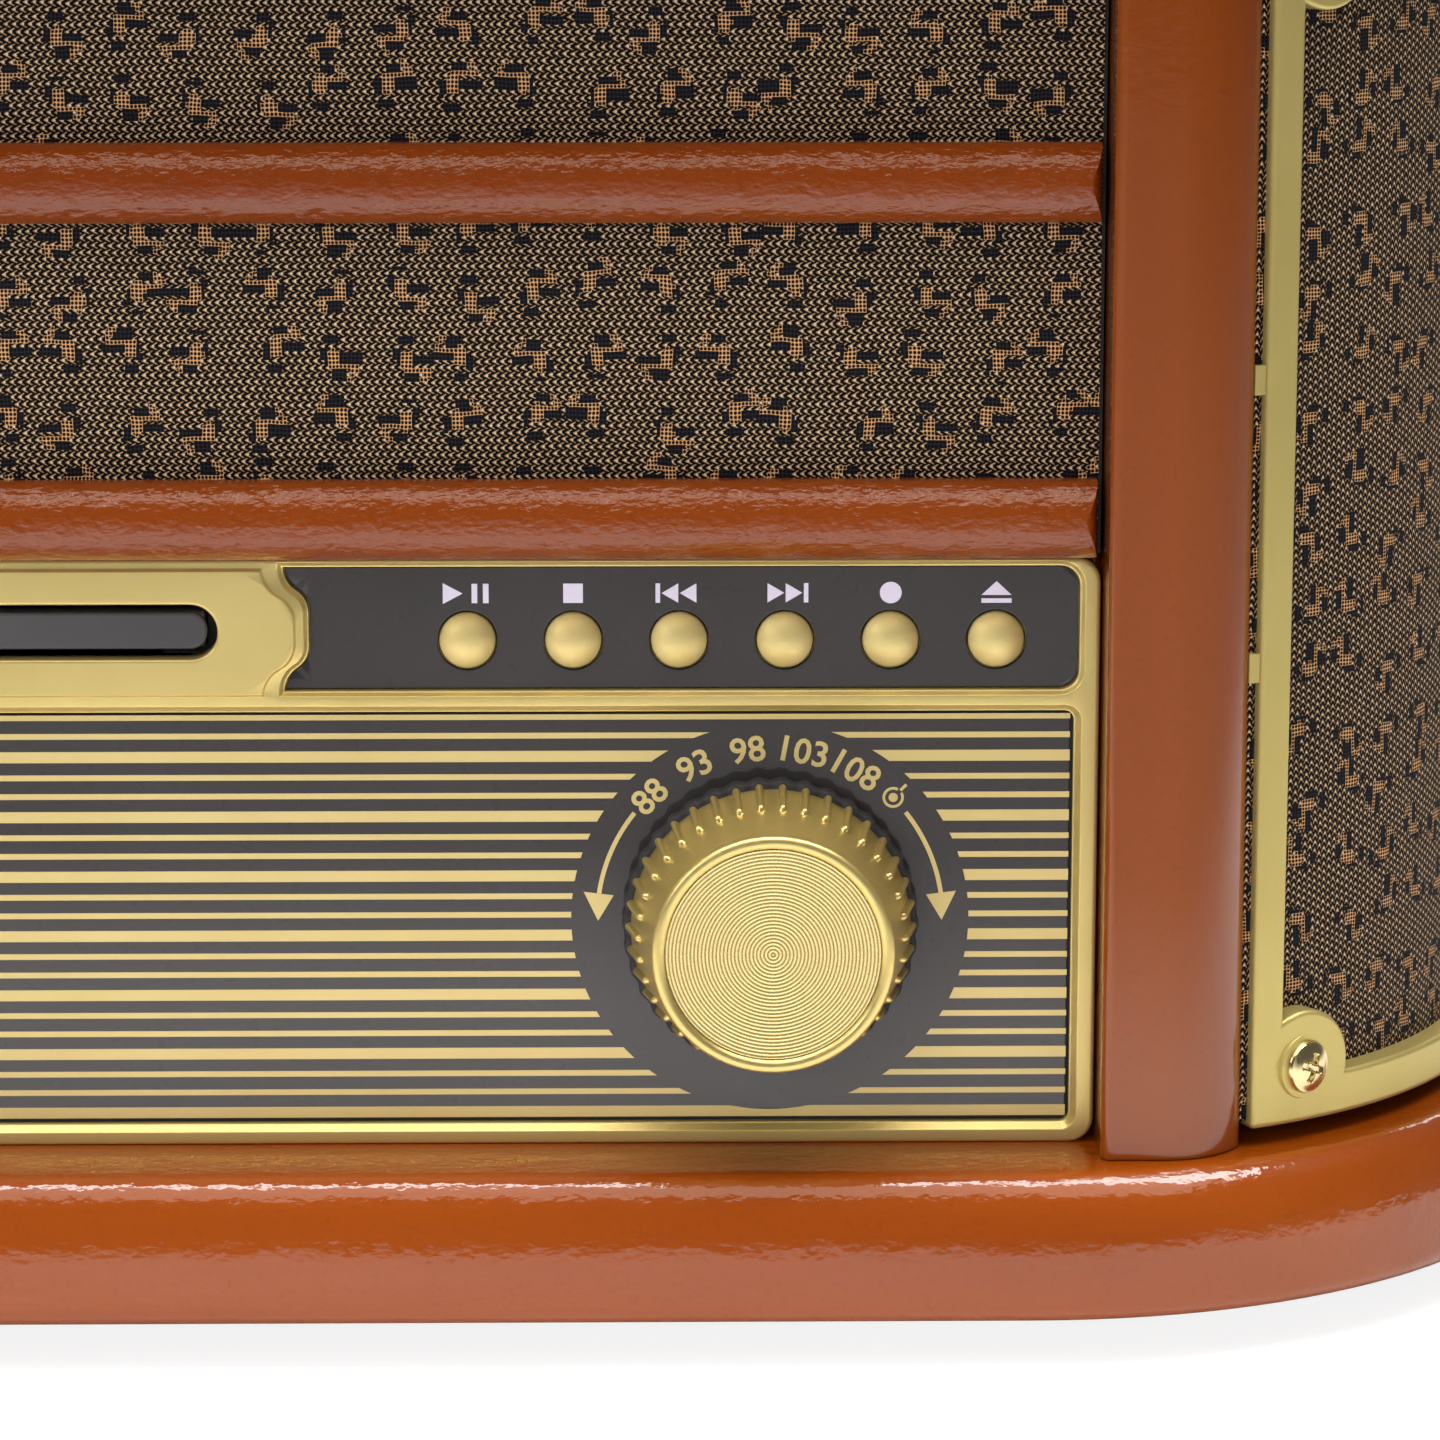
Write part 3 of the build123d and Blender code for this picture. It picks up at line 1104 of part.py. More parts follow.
def tonearm():
    """Arm: pivot hub, tube, tail weight and angled head."""
    half = ARM_HUB / 2
    arm = block(ARM_X - half, ARM_X + half, ARM_Y - 6, ARM_Y + 6, arm_z - 5, arm_z + 5)
    head_y = ARM_Y - ARM_LENGTH + HEAD_LENGTH * 0.5
    tail = ARM_Y + ARM_TAIL
    arm += rod_y(ARM_TUBE, ARM_X, head_y, tail - 0.8 * WEIGHT_LENGTH, arm_z)
    arm += rod_y(ARM_TAIL_WEIGHT, ARM_X, tail - WEIGHT_LENGTH, tail, arm_z)
    head = Pos(0, 0, 1 - HEAD_THICKNESS / 2) * Box(HEAD_WIDTH, HEAD_LENGTH, HEAD_THICKNESS)
    lift_x = (HEAD_WIDTH + LIFT_LENGTH) / 2 - 0.5
    lift = Pos(lift_x, LIFT_WIDTH - HEAD_LENGTH / 2, 1 - LIFT_THICKNESS / 2)
    head += lift * Box(LIFT_LENGTH + 1, LIFT_WIDTH, LIFT_THICKNESS)
    arm += Pos(ARM_X, head_y, arm_z) * Rot(0, 0, HEAD_ANGLE) * head
    for side in (-1, 1):
        inner, outer = sorted((ARM_X + side * (half - 3.4), ARM_X + side * (half + 1)))
        arm -= rod_x(PIVOT_PIN + SLIDING_FIT, inner, outer, ARM_Y, arm_z)
    return arm.solid()


def cartridge():
    """Pickup cartridge under the head, with its stylus."""
    high = arm_z + 1 - HEAD_THICKNESS
    low = high - CARTRIDGE_HEIGHT
    body = block(-5.5, 5.5, -10, 9, low - arm_z, high - arm_z)
    stylus = Cone(2.0, 0.4, 1.4, align=(Align.CENTER, Align.CENTER, Align.MIN))
    body += Pos(0, -6, low - arm_z) * Rot(180, 0, 0) * stylus
    head_y = ARM_Y - ARM_LENGTH + HEAD_LENGTH * 0.5
    return Pos(ARM_X, head_y, arm_z) * Rot(0, 0, HEAD_ANGLE) * body


def cue_lever():
    """Lever whose eccentric rod lies under the arm and lifts it as the finger is raised."""
    x0, x1 = cue_bearing
    reach = ARM_X - CUE_REACH - 3
    end = x1 + 3.0
    lever = rod_x(CUE_SHAFT, x0 - 2, end, cue_y, cue_z)
    lever += rod_x(CUE_CAM, reach, x0 - 0.5, cue_y, cue_z - CUE_THROW)
    finger = Pos(0, -CUE_FINGER / 2, 0) * Box(end - x1 - 0.5, CUE_FINGER, 2.4)
    lever += Pos((x1 + 0.5 + end) / 2, cue_y, cue_z) * Rot(CUE_REST, 0, 0) * finger
    return lever.solid()


def speed_switch():
    """Slide switch for the three record speeds."""
    knob = SWITCH_KNOB / 2
    low = deck_top + GUIDE_GAP
    switch = block(SWITCH_X - knob, SWITCH_X + knob, SWITCH_Y - 2.2, SWITCH_Y + 2.2, low, low + 5)
    switch += block(SWITCH_X - 1.3, SWITCH_X + 1.3, SWITCH_Y - 2.2, SWITCH_Y + 2.2, deck_under - 1, low + 1)
    return switch + block(SWITCH_X - 4, SWITCH_X + 4, SWITCH_Y - 4, SWITCH_Y + 4,
                          deck_under - GUIDE_GAP - 1.5, deck_under - GUIDE_GAP)


# ---- lid ----
def lid():
    """Hollow wooden lid with a rolled upper edge."""
    shell = plan_prism(footprint(FRAME_SETBACK, FRAME_REAR_SETBACK, REAR_CORNER), lid_low, lid_high)
    shell = fillet(shell.edges().group_by(Axis.Z)[-1], LID_EDGE)
    hollow = footprint(FRAME_SETBACK + LID_WALL, FRAME_REAR_SETBACK + LID_WALL, 3.0)
    return shell - plan_prism(hollow, lid_low - 1, lid_high - LID_TOP)


def hinge(side, knuckles, z0, z1):
    """One leaf of a butt hinge with its share of the knuckles."""
    middle = side * HINGE_X
    width = HINGE_WIDTH / HINGE_KNUCKLES
    half = HINGE_WIDTH / 2
    leaf = block(middle - half, middle + half, frame_rear, frame_rear + HINGE_LEAF, z0, z1)
    near = z1 if z1 < hinge_z else z0
    for knuckle in knuckles:
        x0 = middle - half + width * knuckle + GUIDE_GAP / 2
        x1 = x0 + width - GUIDE_GAP
        leaf += rod_x(HINGE_BARREL, x0, x1, hinge_y, hinge_z)
        low, high = sorted((near, hinge_z))
        leaf += block(x0, x1, frame_rear, frame_rear + HINGE_LEAF, low, high)
    return leaf


def cabinet_hinges():
    """Hinge leaves on the top frame, with the pins."""
    leaves = []
    for side in (-1, 1):
        high = hinge_z - HINGE_BARREL - GUIDE_GAP
        leaf = hinge(side, range(0, HINGE_KNUCKLES, 2), high - HINGE_LEAF_HEIGHT, high)
        half = HINGE_WIDTH / 2
        leaves.append((leaf + rod_x(HINGE_PIN, side * HINGE_X - half + 1, side * HINGE_X + half - 1,
                                    hinge_y, hinge_z)).solid())
    return Compound(leaves)


def lid_hinges():
    """Hinge leaves on the lid."""
    leaves = []
    for side in (-1, 1):
        low = hinge_z + HINGE_BARREL + GUIDE_GAP
        leaf = hinge(side, range(1, HINGE_KNUCKLES, 2), low, low + HINGE_LEAF_HEIGHT)
        half = HINGE_WIDTH / 2
        leaf -= rod_x(HINGE_PIN + SLIDING_FIT, side * HINGE_X - half, side * HINGE_X + half, hinge_y, hinge_z)
        leaves.append(leaf.solid())
    return Compound(leaves)


def lid_rail():
    """Slotted rail inside the lid, in line with the hinge axis, that the stay's pin runs in."""
    near, far = hinge_y - STAY_LENGTH, hinge_y - 2 * STAY_LENGTH
    plate = block(rail_x, rail_x + RAIL_THICKNESS, far - RAIL_MARGIN, near + RAIL_MARGIN,
                  hinge_z - RAIL_DROP, hinge_z + RAIL_RISE)
    radius = STAY_PIN + 0.1
    plate -= block(rail_x - 1, rail_x + RAIL_THICKNESS + 1, far, near, hinge_z - radius, hinge_z + radius)
    for y in (near, far):
        plate -= rod_x(radius, rail_x - 1, rail_x + RAIL_THICKNESS + 1, y, hinge_z)
    return plate


def lid_stay():
    """Lid stay: a flat arm as long as its pivot stands ahead of the hinge, with a pin for the rail."""
    eye = STAY_HALF_WIDTH
    tip = stay_pivot_y - STAY_LENGTH
    arm = block(stay_x, stay_x + STAY_THICKNESS, tip, stay_pivot_y, hinge_z - eye, hinge_z + eye)
    for y in (tip, stay_pivot_y):
        arm += rod_x(eye, stay_x, stay_x + STAY_THICKNESS, y, hinge_z)
    arm += rod_x(STAY_PIN, stay_x + 1, rail_x + RAIL_THICKNESS - 0.2, tip, hinge_z)
    return arm - rod_x(STAY_PIN + SLIDING_FIT, stay_x - 1, stay_x + STAY_THICKNESS + 1, stay_pivot_y, hinge_z)


def stay_bracket():
    """Stud on the deck that the lid stay turns on."""
    post_x = stay_x - 3.5
    stud = block(post_x, stay_x - 0.3, stay_pivot_y - 4, stay_pivot_y + 4, deck_top - 0.5, hinge_z + 3)
    return stud + rod_x(STAY_PIN, post_x + 1, stay_x + STAY_THICKNESS - 0.1, stay_pivot_y, hinge_z)


RIGHT_BUTTONS = ("play", "stop", "previous", "next", "record", "tray")
LEFT_BUTTONS = ("tone", "source", "power")


def nodes():
    """Every sub-part by its node name."""
    right, left = button_places()
    parts = {
        "plinth": plinth(),
        "feet": feet(),
        "side_panel_right": side_panel(),
        "side_panel_left": mirrored(side_panel()),
        "rear_panel": rear_panel(),
        "case_screws": case_screws(),
        "post_right": post(),
        "post_left": mirrored(post()),
        "front_board": front_board(),
        "front_cloth": front_cloth(),
        "slats": slats(),
        "grille_frame_right": grille_frame(),
        "grille_frame_left": mirrored(grille_frame()),
        "grille_cloths": Compound([mirrored(grille_cloth()), grille_cloth()]),
        "speakers": Compound([mirrored(speaker()), speaker()]),
        "control_bezel": control_bezel(),
        "button_plates": button_plates(),
        "dial_plate": dial_plate(),
        "display": display(),
        "button_boards": button_boards(),
        "tuning_knob": knob_cap(knob_x),
        "tuning_core": knob_core(knob_x),
        "encoder_rotor": encoder_rotor(),
        "volume_knob": knob_cap(-knob_x),
        "volume_core": knob_core(-knob_x),
        "control_encoders": Compound([encoder(-knob_x), encoder(knob_x)]),
        "cd_chassis": cd_chassis(),
        "cd_tray": cd_tray(),
        "front_sockets": front_sockets(),
        "rear_sockets": rear_sockets(),
        "main_board": main_board(),
        "transformer": transformer(),
        "top_frame": top_frame(),
        "deck": (deck() + stay_bracket()).solid(),
        "platter": platter(),
        "slip_mat": slip_mat(),
        "spindle": spindle(),
        "drive_belt": drive_belt(),
        "motor": motor(),
        "motor_pulley": motor_pulley(),
        "tonearm_base": tonearm_base(),
        "tonearm_yoke": tonearm_yoke(),
        "tonearm": tonearm(),
        "cartridge": cartridge(),
        "cue_lever": cue_lever(),
        "speed_switch": speed_switch(),
        "lid": lid(),
        "cabinet_hinges": cabinet_hinges(),
        "lid_hinges": lid_hinges(),
        "lid_rail": lid_rail(),
        "lid_stay": lid_stay(),
    }
    for name, x in zip(RIGHT_BUTTONS, right):
        parts[f"button_{name}"] = button(x)
    for name, x in zip(LEFT_BUTTONS, left):
        parts[f"button_{name}"] = button(x)
    return parts


os.makedirs("parts", exist_ok=True)
for name, shape in nodes().items():
    export_step(shape, f"parts/{name}.step")
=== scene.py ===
import logging
import math
from dataclasses import dataclass
from enum import Enum
from typing import Callable, Optional, Sequence, Union

import bmesh
import bpy
import numpy as np
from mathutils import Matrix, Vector
from mathutils.geometry import delaunay_2d_cdt


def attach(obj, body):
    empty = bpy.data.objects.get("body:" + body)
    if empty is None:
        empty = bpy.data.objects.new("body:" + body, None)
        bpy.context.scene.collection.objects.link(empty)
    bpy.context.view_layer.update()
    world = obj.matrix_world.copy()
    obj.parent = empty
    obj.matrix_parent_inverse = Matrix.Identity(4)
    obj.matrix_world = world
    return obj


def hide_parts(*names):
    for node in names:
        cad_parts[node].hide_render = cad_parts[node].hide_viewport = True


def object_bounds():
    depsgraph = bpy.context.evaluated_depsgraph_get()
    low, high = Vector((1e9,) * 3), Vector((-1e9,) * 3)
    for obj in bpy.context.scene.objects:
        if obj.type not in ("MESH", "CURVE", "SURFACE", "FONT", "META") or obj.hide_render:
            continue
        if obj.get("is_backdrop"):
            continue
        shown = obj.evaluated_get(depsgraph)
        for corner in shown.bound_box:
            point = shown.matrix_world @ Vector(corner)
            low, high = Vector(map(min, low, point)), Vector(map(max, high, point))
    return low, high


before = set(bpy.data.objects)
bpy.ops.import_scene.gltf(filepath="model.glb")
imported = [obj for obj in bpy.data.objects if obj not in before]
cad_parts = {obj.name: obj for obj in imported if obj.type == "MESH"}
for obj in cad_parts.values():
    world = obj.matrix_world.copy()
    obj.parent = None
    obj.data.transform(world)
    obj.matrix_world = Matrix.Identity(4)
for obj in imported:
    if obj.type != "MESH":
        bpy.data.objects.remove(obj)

# Stereo music centre: lacquered cabinet, gold control panel, striped dial plate, ribbed knobs,
# woven note cloth, curved corner grilles and the record deck under the lid.
# Sizes are millimetres: X to the right, Y to the back, Z up from the ground.

MM = 0.001
SIZE_FOR_HEIGHT = 1.38  # the font's own size for capitals one high
BOLDNESS = 0.022        # how far figures are thickened, as a share of their height
PANEL_FACE = -155.2     # y of the control panel's face
CLOTH_FACE = -154.2     # y of the front cloth, which the slats sit on
KNOB_X = 140.0          # the right-hand knob's axis
KNOB_Z = 55.95
UP, RIGHT = Vector((0, 0, 1)), Vector((1, 0, 0))
FORWARD, BACKWARD = Vector((0, -1, 0)), Vector((0, 1, 0))
CAD_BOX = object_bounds()
log = logging.getLogger("music_centre")

Socket = bpy.types.NodeSocket
Value = Union[float, Sequence[float], Socket]
Bend = Callable[[np.ndarray], np.ndarray]
Edge = Union[float, Sequence[Sequence[float]]]


def rgb(red: int, green: int, blue: int) -> tuple[float, float, float, float]:
    """Screen colour, 0 to 255, as a linear one: each channel over 255 to the power 2.2, alpha one."""
    return tuple((channel / 255) ** 2.2 for channel in (red, green, blue)) + (1.0,)


# ---- finishes ----
class Recipe:
    """Adds shader nodes to one material by short calls."""

    def __init__(self, name: str) -> None:
        """Start a material with a plain shader.

        Args:
            name: the material's name.
        """
        self.material = bpy.data.materials.new(name)
        self.material.use_nodes = True
        self.tree = self.material.node_tree
        self.shader = self.tree.nodes["Principled BSDF"]
        self.place = self.node("ShaderNodeTexCoord", {}).outputs["Object"]

    def node(self, kind: str, inputs: dict, **settings: object) -> bpy.types.Node:
        """Add one node.

        Args:
            kind: Blender's name of the node.
            inputs: values or sockets by input name or number.
            settings: the node's own properties.
        Returns:
            The new node.
        """
        made = self.tree.nodes.new(kind)
        for name, setting in settings.items():
            setattr(made, name, setting)
        for key, value in inputs.items():
            self.feed(made.inputs[key], value)
        return made

    def feed(self, socket: Socket, value: Value) -> None:
        """Link a socket to an input, or write a constant into it.

        Args:
            socket: the input.
            value: the socket that feeds it, or the constant.
        """
        if isinstance(value, Socket):
            self.tree.links.new(value, socket)
        else:
            socket.default_value = value

    def paint(self, name: str, value: Value) -> None:
        """Feed one input of the shader, by its name."""
        self.feed(self.shader.inputs[name], value)

    def maths(self, operation: str, *values: Value) -> Socket:
        """Result of one scalar operation on the values."""
        return self.node("ShaderNodeMath", dict(enumerate(values)), operation=operation).outputs[0]

    def vector(self, operation: str, *values: Value) -> Socket:
        """One vector operation.

        Args:
            operation: Blender's name of it.
            values: vectors or sockets, in order.
        Returns:
            Its result.
        """
        made = self.node("ShaderNodeVectorMath", {}, operation=operation)
        for socket, value in zip(made.inputs, values):
            self.feed(socket, value)
        return made.outputs["Value" if operation in ("LENGTH", "DOT_PRODUCT") else "Vector"]

    def stretch(self, scale: Sequence[float], place: Optional[Socket] = None) -> Socket:
        """Pattern place multiplied by one factor for each axis."""
        return self.vector("MULTIPLY", place or self.place, tuple(scale))

    def noise(self, size: float, detail: float = 2.0, place: Optional[Socket] = None) -> Socket:
        """Soft noise whose patches are size millimetres across."""
        return self.node("ShaderNodeTexNoise", {
            "Vector": place or self.place, "Scale": 1000.0 / size, "Detail": detail}).outputs[0]

    def spread(self, value: Value, low: float, high: float, to_low: float, to_high: float) -> Socket:
        """Value carried from the range low-high to the range to_low-to_high, held at the ends."""
        return self.node("ShaderNodeMapRange", {0: value, 1: low, 2: high, 3: to_low, 4: to_high}).outputs[0]

    def blend(self, share: Value, first: Value, second: Value) -> Socket:
        """Colour between first and second."""
        return self.node("ShaderNodeMix", {0: share, 6: first, 7: second}, data_type="RGBA").outputs[2]

    def bump(self, height: Value, depth: float) -> Socket:
        """Normal of a relief depth millimetres high."""
        relief = {"Height": height, "Strength": 1.0, "Distance": depth * MM}
        return self.node("ShaderNodeBump", relief).outputs[0]


@dataclass(frozen=True)
class Finish:
    """Painted, moulded or turned surface with mottling, a fine grain and an optional clear coat."""

    name: str
    colour: tuple
    shade: tuple
    roughness: float = 0.5
    rough_spread: float = 0.05
    metallic: float = 0.0
    patch: float = 30.0
    grain: float = 0.5
    relief: float = 0.01
    coat: float = 0.0
    coat_roughness: float = 0.05
    stretch: tuple = (1.0, 1.0, 1.0)
    specular: float = 0.5

    def material(self) -> bpy.types.Material:
        """The finish as a material, made once."""
        found = bpy.data.materials.get(self.name)
        return found if found is not None else self.mix()

    def mix(self) -> bpy.types.Material:
        """Mottled colour, uneven roughness and a fine relief."""
        recipe = Recipe(self.name)
        place = recipe.stretch(self.stretch)
        patches = recipe.noise(self.patch, 4.0, place)
        fine = recipe.noise(self.grain, 2.0, place)
        tone = recipe.spread(patches, 0.3, 0.7, 0.0, 1.0)
        recipe.paint("Base Color", recipe.blend(tone, self.colour, self.shade))
        recipe.paint("Roughness", self.rough(recipe, fine))
        recipe.paint("Normal", recipe.bump(fine, self.relief))
        self.constants(recipe)
        return recipe.material

    def rough(self, recipe: Recipe, value: Value) -> Socket:
        """Roughness that rises with the value."""
        low, high = self.roughness - self.rough_spread, self.roughness + self.rough_spread
        return recipe.spread(value, 0.3, 0.7, low, high)

    def constants(self, recipe: Recipe) -> None:
        """Write the values that are the same all over onto the shader.

        Args:
            recipe: the material.
        """
        recipe.paint("Metallic", self.metallic)
        recipe.paint("Coat Weight", self.coat)
        recipe.paint("Coat Roughness", self.coat_roughness)
        recipe.paint("Specular IOR Level", self.specular)


@dataclass(frozen=True)
class Lacquer(Finish):
    """Sprayed wood lacquer: faint streaks under a thick coat with orange peel."""

    peel: float = 2.2
    peel_depth: float = 0.02
    long_peel: float = 6
    long_depth: float = 1.6
    speck: tuple = rgb(84, 30, 10)

    def mix(self) -> bpy.types.Material:
        """Streaked colour along the wood, specks, and a coat with the short and long waves of orange peel."""
        recipe = Recipe(self.name)
        place = recipe.stretch(self.stretch)
        streaks = recipe.noise(self.patch, 5.0, place)
        specks = recipe.noise(0.9, 2.0)
        tone = recipe.spread(streaks, 0.3, 0.72, 0.0, 1.0)
        body = recipe.blend(tone, self.colour, self.shade)
        dark = recipe.spread(specks, 0.30, 0.42, 0.1, 0.0)
        recipe.paint("Base Color", recipe.blend(dark, body, self.speck))
        wave = recipe.noise(self.peel, 2.5, recipe.stretch((0.6, 1.0, 1.0)))
        long_wave = recipe.noise(self.peel * self.long_peel, 1.0)
        peel = recipe.maths("ADD", wave, recipe.maths("MULTIPLY", long_wave, self.long_depth))
        relief = recipe.bump(peel, self.peel_depth)
        recipe.paint("Roughness", self.rough(recipe, specks))
        recipe.paint("Coat Normal", relief)
        recipe.paint("Normal", relief)
        self.constants(recipe)
        return recipe.material


@dataclass(frozen=True)
class NoteCloth(Finish):
    """Loudspeaker cloth: columns of small chevron stitches, with woven notes and dark floats beside them."""

    cell: float = 8.6
    stitch: tuple = (0.95, 1.06)
    mesh: tuple = (0.56, 0.5)
    turn: float = 0.0
    note: tuple = ((0.13, 0.09, 0.28, 1.75, 0.0), (1.15, 1.2, 0.84, 0.38, -0.72))
    head: tuple = (-0.87, -1.3, 0.0)
    head_size: tuple = (0.71, 1.2, 0.0)
    floats: tuple = ((-1.0, 0.75, 0.6, 1.55, 0.0), (1.15, -0.4, 0.65, 1.05, 0.0),
                     (-3.7, -1.5, 0.55, 0.95, 0.0), (-1.5, -2.5, 1.1, 0.4, 0.16))
    gap: tuple = rgb(17, 11, 8)
    # painted highlight: colour of the bright speck on each stitch
    bright: tuple = rgb(240, 224, 198)
    note_thread: tuple = rgb(204, 156, 110)
    note_hole: tuple = rgb(32, 21, 15)
    float_thread: tuple = rgb(38, 37, 42)
    float_hole: tuple = rgb(14, 14, 18)

    def notes(self, recipe: Recipe, place: Socket) -> tuple[Socket, Socket]:
        """Light thread of the woven notes, and the dark floats that surround them.

        The cloth is cut into cells with one middle each. Inside a cell the place is measured from the middle
        and mirrored at random. A note is a stem and a slanting flag, each a bar, and an oval head; the floats
        are bars that fill the corners between them.

        Args:
            recipe: the material.
            place: the place on the cloth, in millimetres, in steps of one mesh.
        Returns:
            Two masks: one inside, nought outside.
        """
        cells = recipe.node("ShaderNodeTexVoronoi", {
            "Vector": place, "Scale": 1.0 / self.cell, "Randomness": 0.6},
            voronoi_dimensions="2D", feature="F1")
        chance = recipe.node("ShaderNodeSeparateColor", {0: cells.outputs["Color"]})
        tossed = [recipe.maths("GREATER_THAN", chance.outputs[axis], 0.5) for axis in (0, 1)]
        signs = [recipe.maths("MULTIPLY_ADD", side, 2.0, -1.0) for side in tossed]
        mirror = recipe.node("ShaderNodeCombineXYZ", {0: signs[0], 1: signs[1], 2: 1.0}).outputs[0]
        local = recipe.vector("MULTIPLY", recipe.vector("SUBTRACT", place, cells.outputs["Position"]), mirror)
        axes = recipe.node("ShaderNodeSeparateXYZ", {0: local})
        masks = []
        for bars in (self.note, self.floats):
            mask = self.bar(recipe, axes, *bars[0])
            for bar in bars[1:]:
                mask = recipe.maths("MAXIMUM", mask, self.bar(recipe, axes, *bar))
            masks.append(mask)
        from_head = recipe.vector("MULTIPLY", recipe.vector("SUBTRACT", local, self.head), self.head_size)
        head = recipe.maths("LESS_THAN", recipe.vector("LENGTH", from_head), 1.0)
        masks[0] = recipe.maths("MAXIMUM", masks[0], head)
        return masks[0], recipe.maths("MULTIPLY", masks[1], recipe.maths("SUBTRACT", 1.0, masks[0]))

    def bar(self, recipe: Recipe, axes: bpy.types.Node, x: float, y: float, half_width: float,
            half_height: float, lean: float) -> Socket:
        """Mask of one bar.

        Args:
            recipe: the material.
            axes: the place, split into its axes.
            x, y: the bar's middle.
            half_width, half_height: half its sizes.
            lean: how far its middle line rises for each millimetre across.
        Returns:
            One inside the bar, nought outside.
        """
        across, along = axes.outputs[0], axes.outputs[1]
        line = recipe.maths("MULTIPLY_ADD", recipe.maths("SUBTRACT", across, x), lean, y)
        return recipe.maths("MULTIPLY", recipe.maths("COMPARE", across, x, half_width),
                            recipe.maths("COMPARE", along, line, half_height))

    def chevrons(self, recipe: Recipe, place: Socket) -> tuple[Socket, Socket]:
        """Stitches shaped like a roof, and a bright speck of painted highlight under each ridge.

        With t the share of the way up a stitch and m the distance from its column's middle, the thread runs
        where m is near 0.6 (0.92 - t). Every second column is moved by half a stitch.

        Args:
            recipe: the material.
            place: the place on the cloth, in millimetres.
        Returns:
            Two masks, one inside and nought outside: the thread, and the painted highlight.
        """
        axes = recipe.node("ShaderNodeSeparateXYZ", {0: place})
        across = recipe.maths("DIVIDE", axes.outputs[0], self.stitch[0])
        rows = recipe.maths("DIVIDE", axes.outputs[1], self.stitch[1])
        moved = recipe.maths("MULTIPLY_ADD", recipe.maths("FLOOR", across), 0.5, rows)
        middle = recipe.maths("ABSOLUTE", recipe.maths("SUBTRACT", recipe.maths("FRACT", across), 0.5))
        up = recipe.maths("FRACT", moved)
        roof = recipe.maths("MULTIPLY", recipe.maths("SUBTRACT", 0.92, up), 0.6)
        gap = recipe.maths("ABSOLUTE", recipe.maths("SUBTRACT", middle, roof))
        lit = recipe.spread(gap, 0.05, 0.14, 1.0, 0.0)
        thread = recipe.maths("MULTIPLY", lit, recipe.spread(up, 0.08, 0.22, 0.0, 1.0))
        over = recipe.maths("SUBTRACT", up, 0.62)
        from_glint = recipe.node("ShaderNodeCombineXYZ", {0: middle, 1: over, 2: 0.0}).outputs[0]
        return thread, recipe.spread(recipe.vector("LENGTH", from_glint), 0.1, 0.19, 1.0, 0.0)

    def holes(self, recipe: Recipe, place: Socket) -> Socket:
        """Round holes of the open mesh that the notes are woven in.

        Args:
            recipe: the material.
            place: the place on the cloth, in millimetres.
        Returns:
            One in a hole, nought on the thread.
        """
        scaled = recipe.stretch((1.0 / self.mesh[0], 1.0 / self.mesh[1], 0.0), place)
        from_middle = recipe.vector("SUBTRACT", recipe.vector("FRACTION", scaled), (0.5, 0.5, 0.0))
        return recipe.spread(recipe.vector("LENGTH", from_middle), 0.33, 0.47, 1.0, 0.0)

    def mix(self) -> bpy.types.Material:
        """Chevron stitches with a painted highlight on each, notes in light open mesh, dark floats, and the
        weave's relief.
        """
        recipe = Recipe(self.name)
        cloth = recipe.node("ShaderNodeUVMap", {}, uv_map="cloth").outputs[0]
        wobble = recipe.node("ShaderNodeTexNoise", {"Vector": cloth, "Scale": 160.0, "Detail": 2.0})
        wave = recipe.vector("MULTIPLY", wobble.outputs["Color"], (0.9, 0.9, 0.0))
        place = recipe.vector("ADD", recipe.vector("MULTIPLY", cloth, (1000.0, 1000.0, 0.0)), wave)
        place = recipe.node("ShaderNodeVectorRotate", {"Vector": place, "Angle": self.turn},
                            rotation_type="Z_AXIS").outputs[0]
        light, dark = self.notes(recipe, recipe.vector("SNAP", place, (*self.mesh, 1.0)))
        thread, speck = self.chevrons(recipe, place)
        hole = self.holes(recipe, place)
        age = recipe.node("ShaderNodeTexNoise", {"Vector": cloth, "Scale": 700.0, "Detail": 2.0}).outputs[0]
        beige = recipe.blend(recipe.spread(age, 0.35, 0.65, 0.0, 1.0), self.colour, self.shade)
        ground = recipe.blend(thread, self.gap, beige)
        # painted highlight: a bright speck on each stitch stands in for its glint
        ground = recipe.blend(recipe.maths("MULTIPLY", speck, 0.8), ground, self.bright)
        noted = recipe.blend(light, ground, recipe.blend(hole, self.note_thread, self.note_hole))
        floats = recipe.blend(hole, self.float_thread, self.float_hole)
        recipe.paint("Base Color", recipe.blend(dark, noted, floats))
        height = recipe.blend(light, thread, recipe.maths("SUBTRACT", 1.0, hole))
        recipe.paint("Normal", recipe.bump(height, 0.12))
        recipe.paint("Roughness", self.roughness)
        self.constants(recipe)
        return recipe.material


